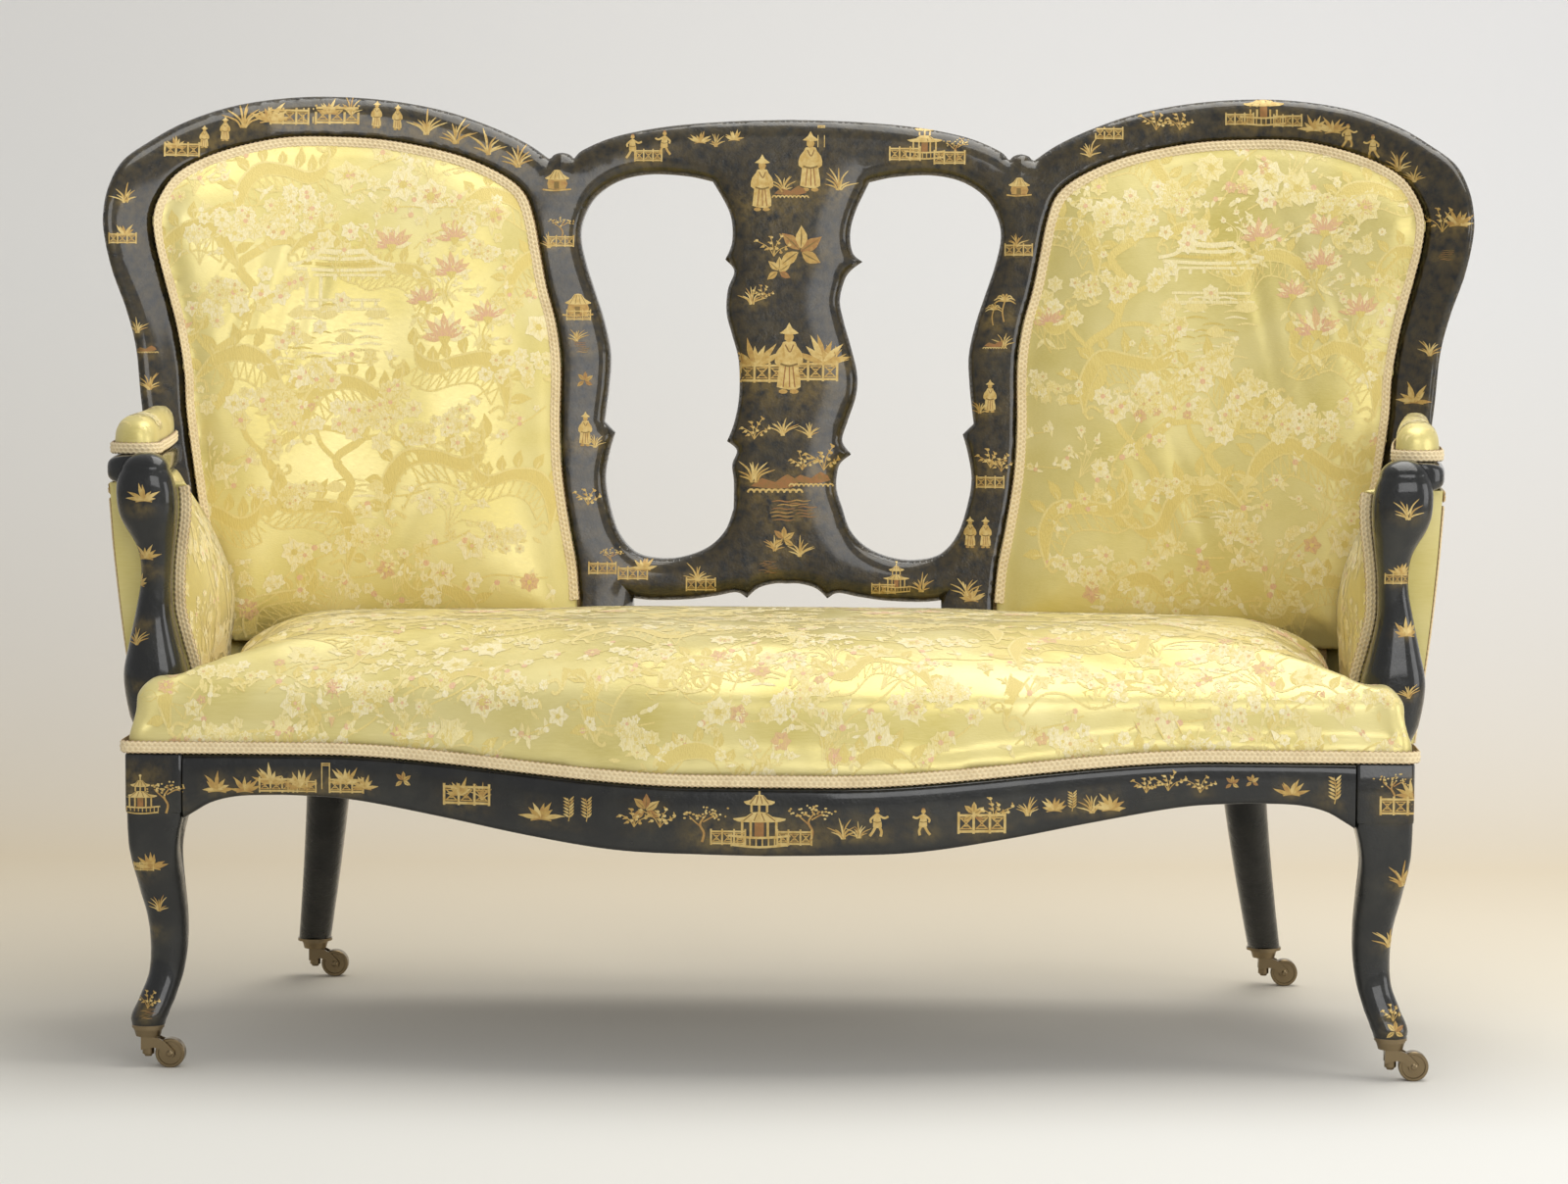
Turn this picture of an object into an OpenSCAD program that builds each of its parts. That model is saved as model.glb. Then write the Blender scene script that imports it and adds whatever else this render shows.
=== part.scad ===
// Two-seat settee: lacquered show-wood frame with two upholstered backs either side of an
// open carved centre, low scrolled arms, a sprung seat and four swivelling casters.
// X runs along the settee, -Y is its front, Z is up, and the floor is z = 0.

/* [Back frame] */
// Width over the two shoulders of the back
back_w = 1490; // [1420:10:1560]
// Height of the two side crests above the floor
back_h = 998; // [950:2:1040]
// Thickness of the boards that the back frame is cut from
back_t = 34; // [28:1:40]
// Backward lean of the back, in degrees
back_rake = 8; // [6:0.5:10]
// Plan radius of the middle of the back
back_mid_r = 4200; // [3800:50:4800]
// Plan radius of the rounded ends of the back
back_end_r = 500; // [480:5:540]
// Distance from the front caster axes to the face of the back, at the seat rails
back_set = 490; // [475:1:505]

/* [Seat frame] */
// Distance between the axes of the two front casters
front_span = 1258; // [1240:2:1270]
// Distance between the axes of the two rear casters
rear_span = 1080; // [1050:2:1110]
// Distance from the front caster axes to the rear ones
wheelbase = 580; // [560:1:600]
// Height of the top of the seat rails
rail_top = 322; // [310:1:340]
// Depth of the seat rails, top to bottom
rail_h = 60; // [54:1:66]
// Thickness of the front seat rail
front_rail_t = 38; // [32:1:44]
// Thickness of the back and side seat rails
rail_t = 40; // [36:1:44]
// How far the middle of the front rail stands forward of its ends
front_bow = 45; // [35:1:50]
// How far the top of the front rail dips in the middle
front_dip = 24; // [16:1:30]
// Width of the square block at the top of a front leg
leg_block = 59; // [54:1:64]
// Width of a rear leg where it meets the rails
rear_leg_w = 50; // [44:1:54]
// Length of the tenons on the seat rails
tenon_l = 18; // [12:1:22]
// Thickness of the tenons
tenon_t = 12; // [9:1:14]

/* [Arms] */
// Height of the underside of the arm rail
arm_z = 589; // [580:1:600]
// Thickness of the arm rail
arm_t = 29; // [25:1:32]
// Width of the arm rail at its front end
arm_w = 66; // [60:1:70]
// Height of the padded arm rest above the arm rail
arm_pad_h = 41; // [34:1:46]

/* [Upholstery] */
// Height of the front edge of the seat
seat_edge = 388; // [380:1:396]
// Height of the crown of the seat
seat_crown = 440; // [430:1:446]
// How far the back pads stand in front of the frame
back_pad_t = 34; // [28:1:38]
// Thickness of the covering cloth
cloth_t = 2; // [1.5:0.1:2.5]
// Width of the gimp braid
gimp_w = 12; // [9:0.5:14]
// Thickness of the gimp braid
gimp_t = 3; // [2:0.25:4]
// Width of the webbing straps
web_w = 50; // [44:1:56]
// Thickness of the webbing straps
web_t = 2; // [1.5:0.1:2.5]
// Height of the seat springs
spring_h = 76; // [70:1:80]
// Outside diameter of a seat spring at its ends
spring_d = 84; // [70:1:90]
// Gauge of the spring wire
wire = 3.5; // [3:0.1:4]

/* [Casters] */
// Diameter of a caster wheel
wheel_d = 30; // [28:0.5:32]
// Width of a caster wheel
wheel_w = 13; // [11:0.5:14]
// Distance from the swivel axis back to the wheel axle
trail = 23; // [22:0.5:25]
// Height of the top of a caster's cup above the floor
caster_h = 44; // [42:0.5:48]
// Diameter of a caster's cup
cup_d = 29; // [27:0.5:31]
// Diameter of the swivel pin
pintle_d = 6; // [5:0.25:6.5]
// Diameter of the axle rivet
axle_d = 4; // [3:0.25:4.5]
// Thickness of each cheek of the horn
cheek_t = 2.5; // [2:0.1:3]

/* [Hidden] */
$fn = 48;
seam = 0.3;         // clearance between soft pieces and what carries them
fit = 0.15;         // clearance of a tenon, dowel or screw in its hole
run_fit = 0.05;     // radial running clearance of a pin
lacquer = "#1b1c1a";
brocade = "#d8c565";
braid = "#e6cf96";
patina = "#5b4c30";
jute = "#b49a6c";

// The right shoulder of the back, drawn as [x, rise above the rails], gives the drawing's scale.
shoulder_points = [[652, 0], [668, 78], [686, 198], [698, 278], [706, 340], [712, 398], [722, 440],
    [736, 483], [744, 522], [745, 548], [740, 576], [727, 603], [702, 624], [671, 644], [630, 661],
    [586, 671], [536, 676], [480, 675], [428, 669], [382, 659], [336, 643], [298, 625], [273, 608]];
drawn_w = 2 * max([for (p = shoulder_points) p[0]]);
drawn_rise = max([for (p = shoulder_points) p[1]]);
leg_kick = 10.5;    // the foot's axis lies this far outside the axis of the leg block
rail_z = rail_top - rail_h;
leg_x = front_span / 2;
block_x = leg_x - leg_kick;
block_in = block_x - leg_block / 2;
block_out = block_x + leg_block / 2;
cover_proud = 3;    // the seat cover stands this far in front of the front rail
side_set = 6;       // the side rails stand this far inside the leg blocks' outer faces
side_in = block_out - side_set - rail_t;

// The origin is the middle of the depth from the seat's front to the top of the back.
crest_drop = 23;    // the centre crest is this much lower than the side crests
rear_most = back_set + (back_h - crest_drop - rail_top) * tan(back_rake) + back_t / cos(back_rake);
front_most = leg_kick - leg_block / 2 - front_bow - cover_proud - gimp_t;
leg_y = -(rear_most + front_most) / 2;
block_y = leg_y + leg_kick;
block_front = block_y - leg_block / 2;
block_back = block_y + leg_block / 2;
back_y = leg_y + back_set;

// General helpers
function clamp(v, lo, hi) = min(max(v, lo), hi);
function smooth(a, b, v) = let (t = clamp((v - a) / (b - a), 0, 1)) t * t * (3 - 2 * t);
function total(v, i = 0) = i < len(v) ? v[i] + total(v, i + 1) : 0;
function middle(ring) = [for (k = [0:2]) total([for (p = ring) p[k]]) / len(ring)];
function flip(pts) = [for (i = [len(pts) - 1:-1:0]) pts[i]];
function mirrored(pts) = [for (p = flip(pts)) [-p[0], p[1]]];

// Smooth curve through the points p, with n steps from each point to the next.
function curve(p, n = 3) = let (last = len(p) - 1) concat(
    [for (i = [0:last - 1], j = [0:n - 1])
        let (a = p[max(i - 1, 0)], b = p[i], c = p[i + 1], d = p[min(i + 2, last)], t = j / n)
        (2 * b + (c - a) * t + (2 * a - 5 * b + 4 * c - d) * t * t
            + (3 * b - a - 3 * c + d) * t * t * t) / 2],
    [p[last]]);

// Value at v of the smooth curve through the rows [v, value, ...] of a table.
function along(table, v, column = 1) = let (
    last = len(table) - 1,
    i = clamp(total([for (k = [1:last - 1]) v >= table[k][0] ? 1 : 0]), 0, last - 1),
    a = table[max(i - 1, 0)][column], b = table[i][column],
    c = table[i + 1][column], d = table[min(i + 2, last)][column],
    t = clamp((v - table[i][0]) / (table[i + 1][0] - table[i][0]), 0, 1)
) (2 * b + (c - a) * t + (2 * a - 5 * b + 4 * c - d) * t * t
    + (3 * b - a - 3 * c + d) * t * t * t) / 2;

function signed_pow(v, e) = sign(v) * pow(abs(v), e);
// Rounded rectangle of n points, counter-clockwise; a higher power gives squarer corners.
function section(w, d, n, power) = [for (i = [0:n - 1]) let (a = 360 * (i + 0.5) / n)
    [w / 2 * signed_pow(cos(a), 2 / power), d / 2 * signed_pow(sin(a), 2 / power)]];

// Closed skin over rings of points, counter-clockwise seen from the last ring. Its two ends close
// on their middles or, for a strip whose ring runs out and back, across the strip. The first
// crossed steps between rings have their quads split along the other diagonal.
module skin(rings, strip = false, crossed = 0) {
    n = len(rings[0]);
    m = len(rings);
    top = (m - 1) * n;
    points = concat([for (r = rings) each r], strip ? [] : [middle(rings[0]), middle(rings[m - 1])]);
    sides = [for (i = [0:m - 2], j = [0:n - 1]) let (a = i * n + j, b = i * n + (j + 1) % n)
        each i < crossed ? [[a, a + n, b], [b, a + n, b + n]] : [[a, b + n, b], [a, a + n, b + n]]];
    caps = strip
        ? [for (j = [0:n / 2 - 2]) let (k = n - 1 - j) each [[j, j + 1, k], [j + 1, k - 1, k],
            [top + j, top + k, top + j + 1], [top + j + 1, top + k, top + k - 1]]]
        : [for (j = [0:n - 1]) let (k = (j + 1) % n) each [[j, k, m * n], [top + k, top + j, m * n + 1]]];
    polyhedron(concat(points), concat(sides, caps), convexity = 6);
}

module both() {
    children();
    mirror([1, 0, 0]) children();
}

// The curved sheet that the back frame is cut from
mid_x = 430 * back_w / drawn_w;
mid_a = asin(mid_x / back_mid_r);
mid_drop = back_mid_r * (1 - cos(mid_a));
end_x = mid_x - back_end_r * sin(mid_a);
end_y = -mid_drop - back_end_r * cos(mid_a);
end_a = asin((back_w / 2 + 8 - end_x) / back_end_r);

// Plan of the sheet's face at a depth t behind it, from the middle to the right-hand end.
function plan_arc(t) = concat(
    [for (i = [0:5]) let (a = mid_a * i / 5)
        [(back_mid_r + t) * sin(a), (back_mid_r + t) * cos(a) - back_mid_r]],
    [for (i = [1:14]) let (a = mid_a + (end_a - mid_a) * i / 14)
        [end_x + (back_end_r + t) * sin(a), end_y + (back_end_r + t) * cos(a)]]);
function plan_full(t) = concat(mirrored(plan_arc(t)), [for (i = [1:19]) plan_arc(t)[i]]);
// How far the face at depth t lies behind the middle of the front face, at x.
function plan_y(x, t) = abs(x) < (back_mid_r + t) * sin(mid_a)
    ? sqrt(pow(back_mid_r + t, 2) - x * x) - back_mid_r
    : end_y + sqrt(max(pow(back_end_r + t, 2) - pow(abs(x) - end_x, 2), 0));
// Y of the leaning sheet at depth t, at x and at height z.
function sheet_y(x, z, t) = back_y + (plan_y(x, t) + (z - rail_top) * sin(back_rake)) / cos(back_rake);
function sheet_pt(x, z, t) = [x, sheet_y(x, z, t), z];

// Board cut from the sheet, between depths t0 and t1, by a front-view outline.
module cut_board(t0 = 0, t1 = back_t) {
    intersection() {
        translate([0, back_y, rail_top]) rotate([-back_rake, 0, 0]) translate([0, 0, -drawn_rise])
            linear_extrude(height = 3 * drawn_rise)
                polygon(concat(plan_full(t1), flip(plan_full(t0))));
        translate([0, back_y + 400, 0]) rotate([90, 0, 0])
            linear_extrude(height = 900) children();
    }
}

// Front-view outlines of the back, drawn as [x, rise above the rails]
function out(pts) = [for (p = pts)
    [p[0] * back_w / drawn_w, rail_top + p[1] * (back_h - rail_top) / drawn_rise]];
function rise(v) = rail_top + v * (back_h - rail_top) / drawn_rise;
function wide(x) = x * back_w / drawn_w;

shoulder_edge = curve(shoulder_points);
knob_edge = curve([[270, 609], [266, 613], [258, 615], [250, 613], [246, 609]]);
crest_edge = curve([[244, 609], [233, 619], [196, 634], [139, 645], [69, 651], [0, 653]]);
panel_points = [[606, 0], [622, 88], [640, 188], [652, 268], [660, 328], [663, 372], [671, 420], [684, 472],
        [693, 510], [696, 540], [690, 563], [674, 588], [645, 607], [604, 622], [558, 631], [508, 632],
        [455, 629], [403, 620], [360, 608], [320, 589], [297, 569], [286, 540], [279, 505], [271, 465],
        [260, 424], [254, 378], [254, 310], [251, 258], [242, 200], [234, 158], [230, 118]];
panel_edge = concat(curve(panel_points), [[230, 0]]);
opening_outer = curve([[88, 583], [117, 589], [158, 591], [192, 584], [218, 567], [232, 544], [236, 521],
    [230, 491], [218, 455], [208, 424], [201, 390], [202, 358], [205, 330], [207, 314]]);
opening_lower = curve([[195, 302], [201, 280], [205, 253], [201, 225], [190, 191], [171, 169],
    [145, 162], [117, 164], [89, 175], [70, 194], [61, 218]]);
// The two long edges of the splat were cut by eye and differ.
splat_right = concat(curve([[61, 218], [54, 240], [55, 260], [59, 270], [70, 279]], 2),
    curve([[70, 279], [60, 294], [66, 316], [75, 344], [76, 369], [69, 398], [60, 429], [56, 451],
        [61, 473], [68, 484], [81, 494]], 2),
    curve([[81, 494], [70, 504], [67, 526], [73, 551], [88, 583]], 2));
splat_left = concat(curve([[61, 218], [61, 247], [63, 267], [58, 283], [69, 293]], 2),
    curve([[69, 293], [61, 315], [56, 345], [57, 383], [65, 413], [71, 436], [70, 462], [63, 483],
        [73, 496]], 2),
    curve([[73, 496], [66, 514], [66, 537], [72, 556], [88, 583]], 2));
foot_edge = concat(curve([[0, 135], [14, 135], [32, 130], [45, 119]]),
    curve([[45, 119], [57, 125], [80, 121], [111, 117], [150, 116], [172, 118]]));

crest_joint = 553;      // rise of the joint between the splat and the centre crest
stile_joint = 493;      // rise of the joint between an outer stile and its crest rail
foot_joint = 198;       // rise of the joint between the splat and the lower rail
crest_split = 258;      // X of the joint between the centre crest and a side crest
lower_split = 170;      // X of the joint between the lower rail and an inner stile

module right_outline() {
    polygon(out(concat([[0, 0]], shoulder_edge, knob_edge, crest_edge)));
}
module opening(splat) {
    polygon(out(concat(opening_outer, opening_lower, splat)));
}
module window(x0, r0, x1, r1) {
    translate([wide(x0), rise(r0)]) square([wide(x1) - wide(x0), rise(r1) - rise(r0)]);
}
module back_outline(splat) {
    difference() {
        right_outline();
        polygon(out(panel_edge));
        opening(splat);
        polygon(out(concat([[-1, -1]], foot_edge, [[172, -1]])));
    }
}

// Tenon in the thickness of the sheet, with play all round it for its mortise.
module sheet_tenon(x0, r0, x1, r1, play = 0) {
    cut_board(back_t / 2 - tenon_t / 2 - play, back_t / 2 + tenon_t / 2 + play)
        offset(delta = play) window(x0, r0, x1, r1);
}
crest_tenon = [-40, crest_joint - 0.01, 40, crest_joint + 20];
foot_tenon = [-38, foot_joint - 20, 38, foot_joint + 0.01];
module splat_tenons(play = 0) {
    sheet_tenon(crest_tenon[0], crest_tenon[1], crest_tenon[2], crest_tenon[3], play);
    sheet_tenon(foot_tenon[0], foot_tenon[1], foot_tenon[2], foot_tenon[3], play);
}

dowel_d = 8;
dowel_l = 36;
// Dowels across the joints at the ends of the side crests, and into the lower rail.
module dowels(play = 0) {
    across = [[crest_split, 575], [crest_split, 597], [lower_split, 132], [lower_split, 155]];
    for (p = across)
        translate(sheet_pt(wide(p[0]), rise(p[1]), back_t / 2)) rotate([0, 90, 0])
            cylinder(d = dowel_d + 2 * play, h = dowel_l + 2 * play, center = true);
    for (x = [702, 724])
        translate(sheet_pt(wide(x), rise(stile_joint), back_t / 2)) rotate([-back_rake, 0, 0])
            cylinder(d = dowel_d + 2 * play, h = dowel_l + 2 * play, center = true);
}

module center_crest_rail() {
    color(lacquer) difference() {
        cut_board() union() {
            intersection() { back_outline(splat_right); window(0, crest_joint, crest_split, 700); }
            mirror([1, 0]) intersection() {
                back_outline(splat_left);
                window(0, crest_joint, crest_split, 700);
            }
        }
        splat_tenons(fit);
        both() dowels(fit);
    }
}
module side_crest_rail() {
    color(lacquer) difference() {
        cut_board() intersection() {
            back_outline(splat_right);
            union() {
                window(crest_split, crest_joint, 500, 700);
                window(499, stile_joint, 760, 700);
            }
        }
        dowels(fit);
    }
}
module inner_stile() {
    color(lacquer) difference() {
        cut_board() intersection() {
            back_outline(splat_right);
            window(lower_split, 0, 320, crest_joint);
        }
        dowels(fit);
        foot_screws(fit);
    }
}
module outer_stile() {
    color(lacquer) difference() {
        cut_board() intersection() {
            back_outline(splat_right);
            window(560, 0, 760, stile_joint);
        }
        dowels(fit);
        foot_screws(fit);
    }
}
module center_splat() {
    color(lacquer) {
        cut_board() union() {
            intersection() { back_outline(splat_right); window(0, foot_joint, 110, crest_joint); }
            mirror([1, 0]) intersection() {
                back_outline(splat_left);
                window(0, foot_joint, 110, crest_joint);
            }
        }
        splat_tenons();
    }
}
module lower_cross_rail() {
    color(lacquer) difference() {
        cut_board() union() {
            intersection() { back_outline(splat_right); window(0, 0, lower_split, foot_joint); }
            mirror([1, 0]) intersection() {
                back_outline(splat_left);
                window(0, 0, lower_split, foot_joint);
            }
        }
        splat_tenons(fit);
        both() dowels(fit);
    }
}

// Seat frame
// 1 in the middle of the front rail, 0 towards its ends.
function bow(x) = 1 - smooth(60, 455, abs(x));
function rail_front(x) = block_front - front_bow * bow(x);
rail_edge = curve([[0, -33], [60, -32], [149, -29], [237, -17], [325, -1], [413, 14], [467, 18],
    [500, 18.5], [534, 17], [560, 11], [578, 1], [589, -6]], 2);

module rail_plan() {
    xs = [for (i = [0:24]) block_in * i / 24];
    front = [for (x = xs) [x, rail_front(x)]];
    back = [for (x = flip(xs)) [x, rail_front(x) + front_rail_t]];
    polygon(concat(front, back));
}
module rail_side() {
    xs = [for (i = [0:20]) block_in * i / 20];
    top = [for (x = flip(xs)) [x, rail_top - front_dip * bow(x)]];
    polygon(concat([for (p = rail_edge) [p[0] * block_in / 589, rail_z + p[1]]], top));
}
// Tenon at the end of the front rail, which enters the leg block.
module front_tenon(play = 0) {
    translate([block_in - 0.01, block_front + front_rail_t / 2 - tenon_t / 2 - play, rail_z + 12 - play])
        cube([tenon_l + play, tenon_t + 2 * play, rail_h - 24 + 2 * play]);
}
// Tenon at the front end of a side rail, which enters the leg block from behind.
module side_tenon(play = 0) {
    translate([side_in + rail_t / 2 - tenon_t / 2 - play, block_back - tenon_l - play, rail_z + 12 - play])
        cube([tenon_t + 2 * play, tenon_l + play + 0.01, rail_h - 24 + 2 * play]);
}
module front_seat_rail() {
    color(lacquer) difference() {
        union() {
            intersection() {
                translate([0, 0, rail_z - 60]) linear_extrude(height = rail_h + 120) union() {
                    rail_plan();
                    mirror([1, 0]) rail_plan();
                }
                translate([0, block_front + 200, 0]) rotate([90, 0, 0]) linear_extrude(height = 400) union() {
                    rail_side();
                    mirror([1, 0]) rail_side();
                }
            }
            both() front_tenon();
        }
        both() block_screws(fit);
    }
}

rail_split = wide(470);         // X of the joint between the back rail and a side rail
rail_t0 = -4;                   // the rails' inner face, measured from the sheet's face
corner_a = asin((wide(628) - end_x) / back_end_r);
// Plan of a side rail's face: round the rear corner on the sheet's own arc, then forward.
function side_plan(t) = let (
    a0 = asin((rail_split - end_x) / (back_end_r + t)),
    arc = [for (i = [0:8]) let (a = a0 + (corner_a - a0) * i / 8)
        [end_x + (back_end_r + t) * sin(a), back_y + end_y + (back_end_r + t) * cos(a)]],
    inset = rail_t + rail_t0 - t,
    face = side_in + rail_t - inset
) concat(arc, curve([arc[8], [wide(660) - inset, leg_y + back_set * 0.62],
    [wide(661) - inset, leg_y + back_set * 0.42], [(face + wide(657) - inset) / 2, leg_y + back_set * 0.25],
    [face, block_back]], 4));
module side_rail_plan() {
    polygon(concat(side_plan(rail_t0 + rail_t), flip(side_plan(rail_t0))));
}
module side_seat_rail() {
    color(lacquer) difference() {
        union() {
            translate([0, 0, rail_z]) linear_extrude(height = rail_h) side_rail_plan();
            side_tenon();
        }
        rail_dowels(fit);
        rear_leg_dowel(fit);
        block_screws(fit);
        foot_screws(fit);
    }
}
module back_seat_rail() {
    color(lacquer) difference() {
        translate([0, back_y, rail_z]) linear_extrude(height = rail_h) intersection() {
            polygon(concat(plan_full(rail_t0 + rail_t), flip(plan_full(rail_t0))));
            square([2 * rail_split, 900], center = true);
        }
        both() rail_dowels(fit);
        both() foot_screws(fit);
    }
}
// Dowels that pin the back rail to the side rails.
module rail_dowels(play = 0) {
    for (z = [rail_z + 18, rail_top - 18])
        translate([rail_split, back_y + plan_y(rail_split, rail_t0 + rail_t / 2), z]) rotate([0, 90, 0])
            cylinder(d = dowel_d + 2 * play, h = dowel_l + 2 * play, center = true);
}
module frame_dowels() {
    color("tan") both() {
        dowels();
        rail_dowels();
        rear_leg_dowel();
    }
}

// Legs
// Front leg: [share of the height, outward offset of its axis from the foot, width].
leg_shape = [[0, -0.5, 33], [0.03, -1.5, 37], [0.09, -8, 36.5], [0.18, -16, 35], [0.28, -19, 37.5],
    [0.39, -18, 41], [0.51, -13, 47], [0.63, -8.5, 50], [0.7, -8.5, 53], [0.78, -10.5, 58]];
function leg_height(s) = caster_h + s * (rail_top - caster_h);
function leg_ring(s) = let (
    off = along(leg_shape, s, 1), w = along(leg_shape, s, 2) * leg_block / 59,
    kick = off * leg_kick / 10.5, power = 2.4 + 5 * smooth(0.5, 0.78, s)
) [for (p = section(w, w, 16, power)) [leg_x + kick + p[0], leg_y - kick + p[1], leg_height(s)]];
block_share = (rail_z - caster_h) / (rail_top - caster_h);
module front_leg() {
    color(lacquer) difference() {
        union() {
            skin([for (i = [0:20]) leg_ring(block_share * i / 20)]);
            translate([block_in, block_front, rail_z - 0.01]) cube([leg_block, leg_block, rail_h + 0.01]);
        }
        front_tenon(fit);
        side_tenon(fit);
        translate([leg_x, leg_y, 0]) cup_spike(fit);
    }
}
rear_top = [wide(507), back_y + plan_y(wide(507), rail_t0 + rail_t / 2)];
rear_foot = [rear_span / 2, leg_y + wheelbase];
module rear_leg_dowel(play = 0) {
    translate([rear_top[0], rear_top[1], rail_z - 22 - play]) cylinder(d = 14 + 2 * play, h = 52 + 2 * play);
}
// A rear leg leaves the rails upright and sweeps out and back to its foot.
module rear_leg() {
    color(lacquer) difference() {
        skin([for (i = [0:10]) let (s = i / 10, sweep = pow(1 - s, 1.25), w = 36 + (rear_leg_w - 36) * s)
            [for (p = section(w, w, 16, 2.6)) [
                rear_top[0] + (rear_foot[0] - rear_top[0]) * sweep + p[0],
                rear_top[1] + (rear_foot[1] - rear_top[1]) * sweep + p[1],
                caster_h + s * (rail_z - caster_h)]]]);
        translate([rear_foot[0], rear_foot[1], 0]) cup_spike(fit);
        rear_leg_dowel(fit);
    }
}

block_leg = 62;
// Glue blocks in the four corners of the seat frame, each let in round what it braces.
module front_block_plan() {
    face = block_front + front_rail_t;
    polygon([[block_in - block_leg, face + fit], [block_in - fit, face + fit],
        [block_in - fit, block_back + fit], [side_in - fit, block_back + fit],
        [side_in - fit, block_back + block_leg]]);
}
module rear_block_plan() {
    polygon(concat([for (i = [0:6]) let (x = wide(440) + i * wide(20))
        [x, back_y + plan_y(x, rail_t0) - 2 * fit]],
        [[wide(545), back_y + plan_y(wide(560), rail_t0) - 44]]));
}
module corner_blocks() {
    color("burlywood") difference() {
        both() translate([0, 0, rail_z + 22]) linear_extrude(height = rail_h - 32) difference() {
            union() {
                front_block_plan();
                rear_block_plan();
            }
            offset(delta = fit) side_rail_plan();
        }
        both() block_screws(fit);
    }
}

// Arms
arm_front = block_back + 35;            // the back of an arm support's head
// Plan of the arm rail's centreline, as [distance behind the front leg's axis, x].
arm_path = [[70, 652], [120, 659], [170, 664], [230, 668], [300, 674], [370, 681], [440, 689]];
arm_taper = 20;                         // the arm rail is this much narrower at the back
function arm_x(y) = let (k = clamp((y - leg_y) / back_set, 0, 1))
    along(arm_path, 490 * k) + (leg_x - 629) * (1 - k) + (back_w - drawn_w) / 2 * k;
// Arm support: [height, x of its inner edge, x of its outer edge, front, back].
support_shape = [[322, 604, 650, 66, 128], [350, 603, 662, 64, 130], [392, 603, 668, 64, 128],
    [425, 611, 662, 68, 124], [458, 618, 655, 72, 120], [494, 618, 649, 72, 116],
    [523, 617, 650, 68, 112], [555, 616, 660, 62, 110], [581, 619, 665, 60, 108],
    [600, 624, 664, 62, 105], [616, 632, 656, 70, 98], [621, 639, 650, 76, 92]];
function support_ring(z) = let (
    inner = along(support_shape, z, 1) - 629 + leg_x, outer = along(support_shape, z, 2) - 629 + leg_x,
    front = along(support_shape, z, 3), back = along(support_shape, z, 4)
) [for (p = section(outer - inner, back - front, 16, 2.8))
    [(inner + outer) / 2 + p[0], leg_y + (front + back) / 2 + p[1], z - 322 + rail_top]];
module arm_support() {
    color(lacquer) difference() {
        skin([for (z = [322, 334, 350, 370, 392, 410, 428, 446, 464, 482, 500, 518, 536, 552, 567, 581,
            592, 602, 611, 617, 621]) support_ring(z)]);
        arm_rail_solid(0.1);
        foot_screws(fit);
    }
}
function arm_ring(y, w, z0, h, power) = [for (p = section(w, h, 16, power))
    [arm_x(y) + p[0], y, z0 + h / 2 + p[1]]];
// Rings of an arm piece from the front end to the face of the stile, seen from behind.
function arm_rings(front, w, z0, h, power, nose) = let (
    rear = sheet_y(arm_x(leg_y + back_set * 0.84), z0 + h / 2, -seam), steps = 8
) concat(
    [for (s = [0.4, 0.75]) flip(arm_ring(front + nose * (1 - sqrt(1 - s * s)), w * s, z0, h, power))],
    [for (i = [0:steps])
        let (y = front + nose + (rear - front - nose) * i / steps, wi = w - arm_taper * i / steps)
        [for (p = flip(arm_ring(y, wi, z0, h, power)))
            i < steps ? p : [p[0], sheet_y(p[0], p[2], -seam), p[2]]]]);
module arm_rail_solid(play = 0) {
    skin(arm_rings(arm_front - play, arm_w + 2 * play, arm_z - play, arm_t + 2 * play, 5, 4));
}
module arm_rail() {
    color(lacquer) arm_rail_solid();
}

// Casters
wheel_z = wheel_d / 2;
horn_top = caster_h - 12.3;
boss_d = pintle_d + 6;
module cup_spike(play = 0) {
    translate([0, 0, caster_h - 0.5]) cylinder(d = 7 + 2 * play, h = 20.5 + play);
}
// Cup with its collar, the spike that enters the leg and the riveted swivel pin.
module caster_cup(collar = 4) {
    color(patina) {
        translate([0, 0, caster_h - 3]) cylinder(d = cup_d + collar, h = 3 - seam / 3);
        translate([0, 0, caster_h - 5]) cylinder(d = cup_d + 1, h = 2);
        translate([0, 0, horn_top + 0.3])
            cylinder(d1 = cup_d - 4, d2 = cup_d, h = caster_h - 5 - horn_top - 0.3);
        translate([0, 0, horn_top - 18.5]) cylinder(d = pintle_d, h = 19);
        translate([0, 0, horn_top - 20.6]) cylinder(d1 = pintle_d + 1, d2 = pintle_d + 3.5, h = 2.2);
        translate([0, 0, -0.3]) cup_spike();
    }
}
cheek_in = wheel_w / 2 + 0.6;
// Side view of a cheek: a strap that drops from the boss to the axle's eye.
module cheek_outline() {
    eye = 5;
    top = horn_top - wheel_z;
    polygon(concat(
        curve([[-boss_d / 2, top], [2, top], [trail * 0.42, top - 0.5], [trail * 0.75, top - 4],
            [trail * 0.97, 8], [trail + eye - 0.6, 2.4]], 4),
        [for (a = [20:-20:-180]) [trail + eye * cos(a), eye * sin(a)]],
        curve([[trail - eye, 0], [trail * 0.56, 4.2], [trail * 0.3, 6], [1, 5], [-boss_d / 2, 3.5]], 4)));
}
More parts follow.
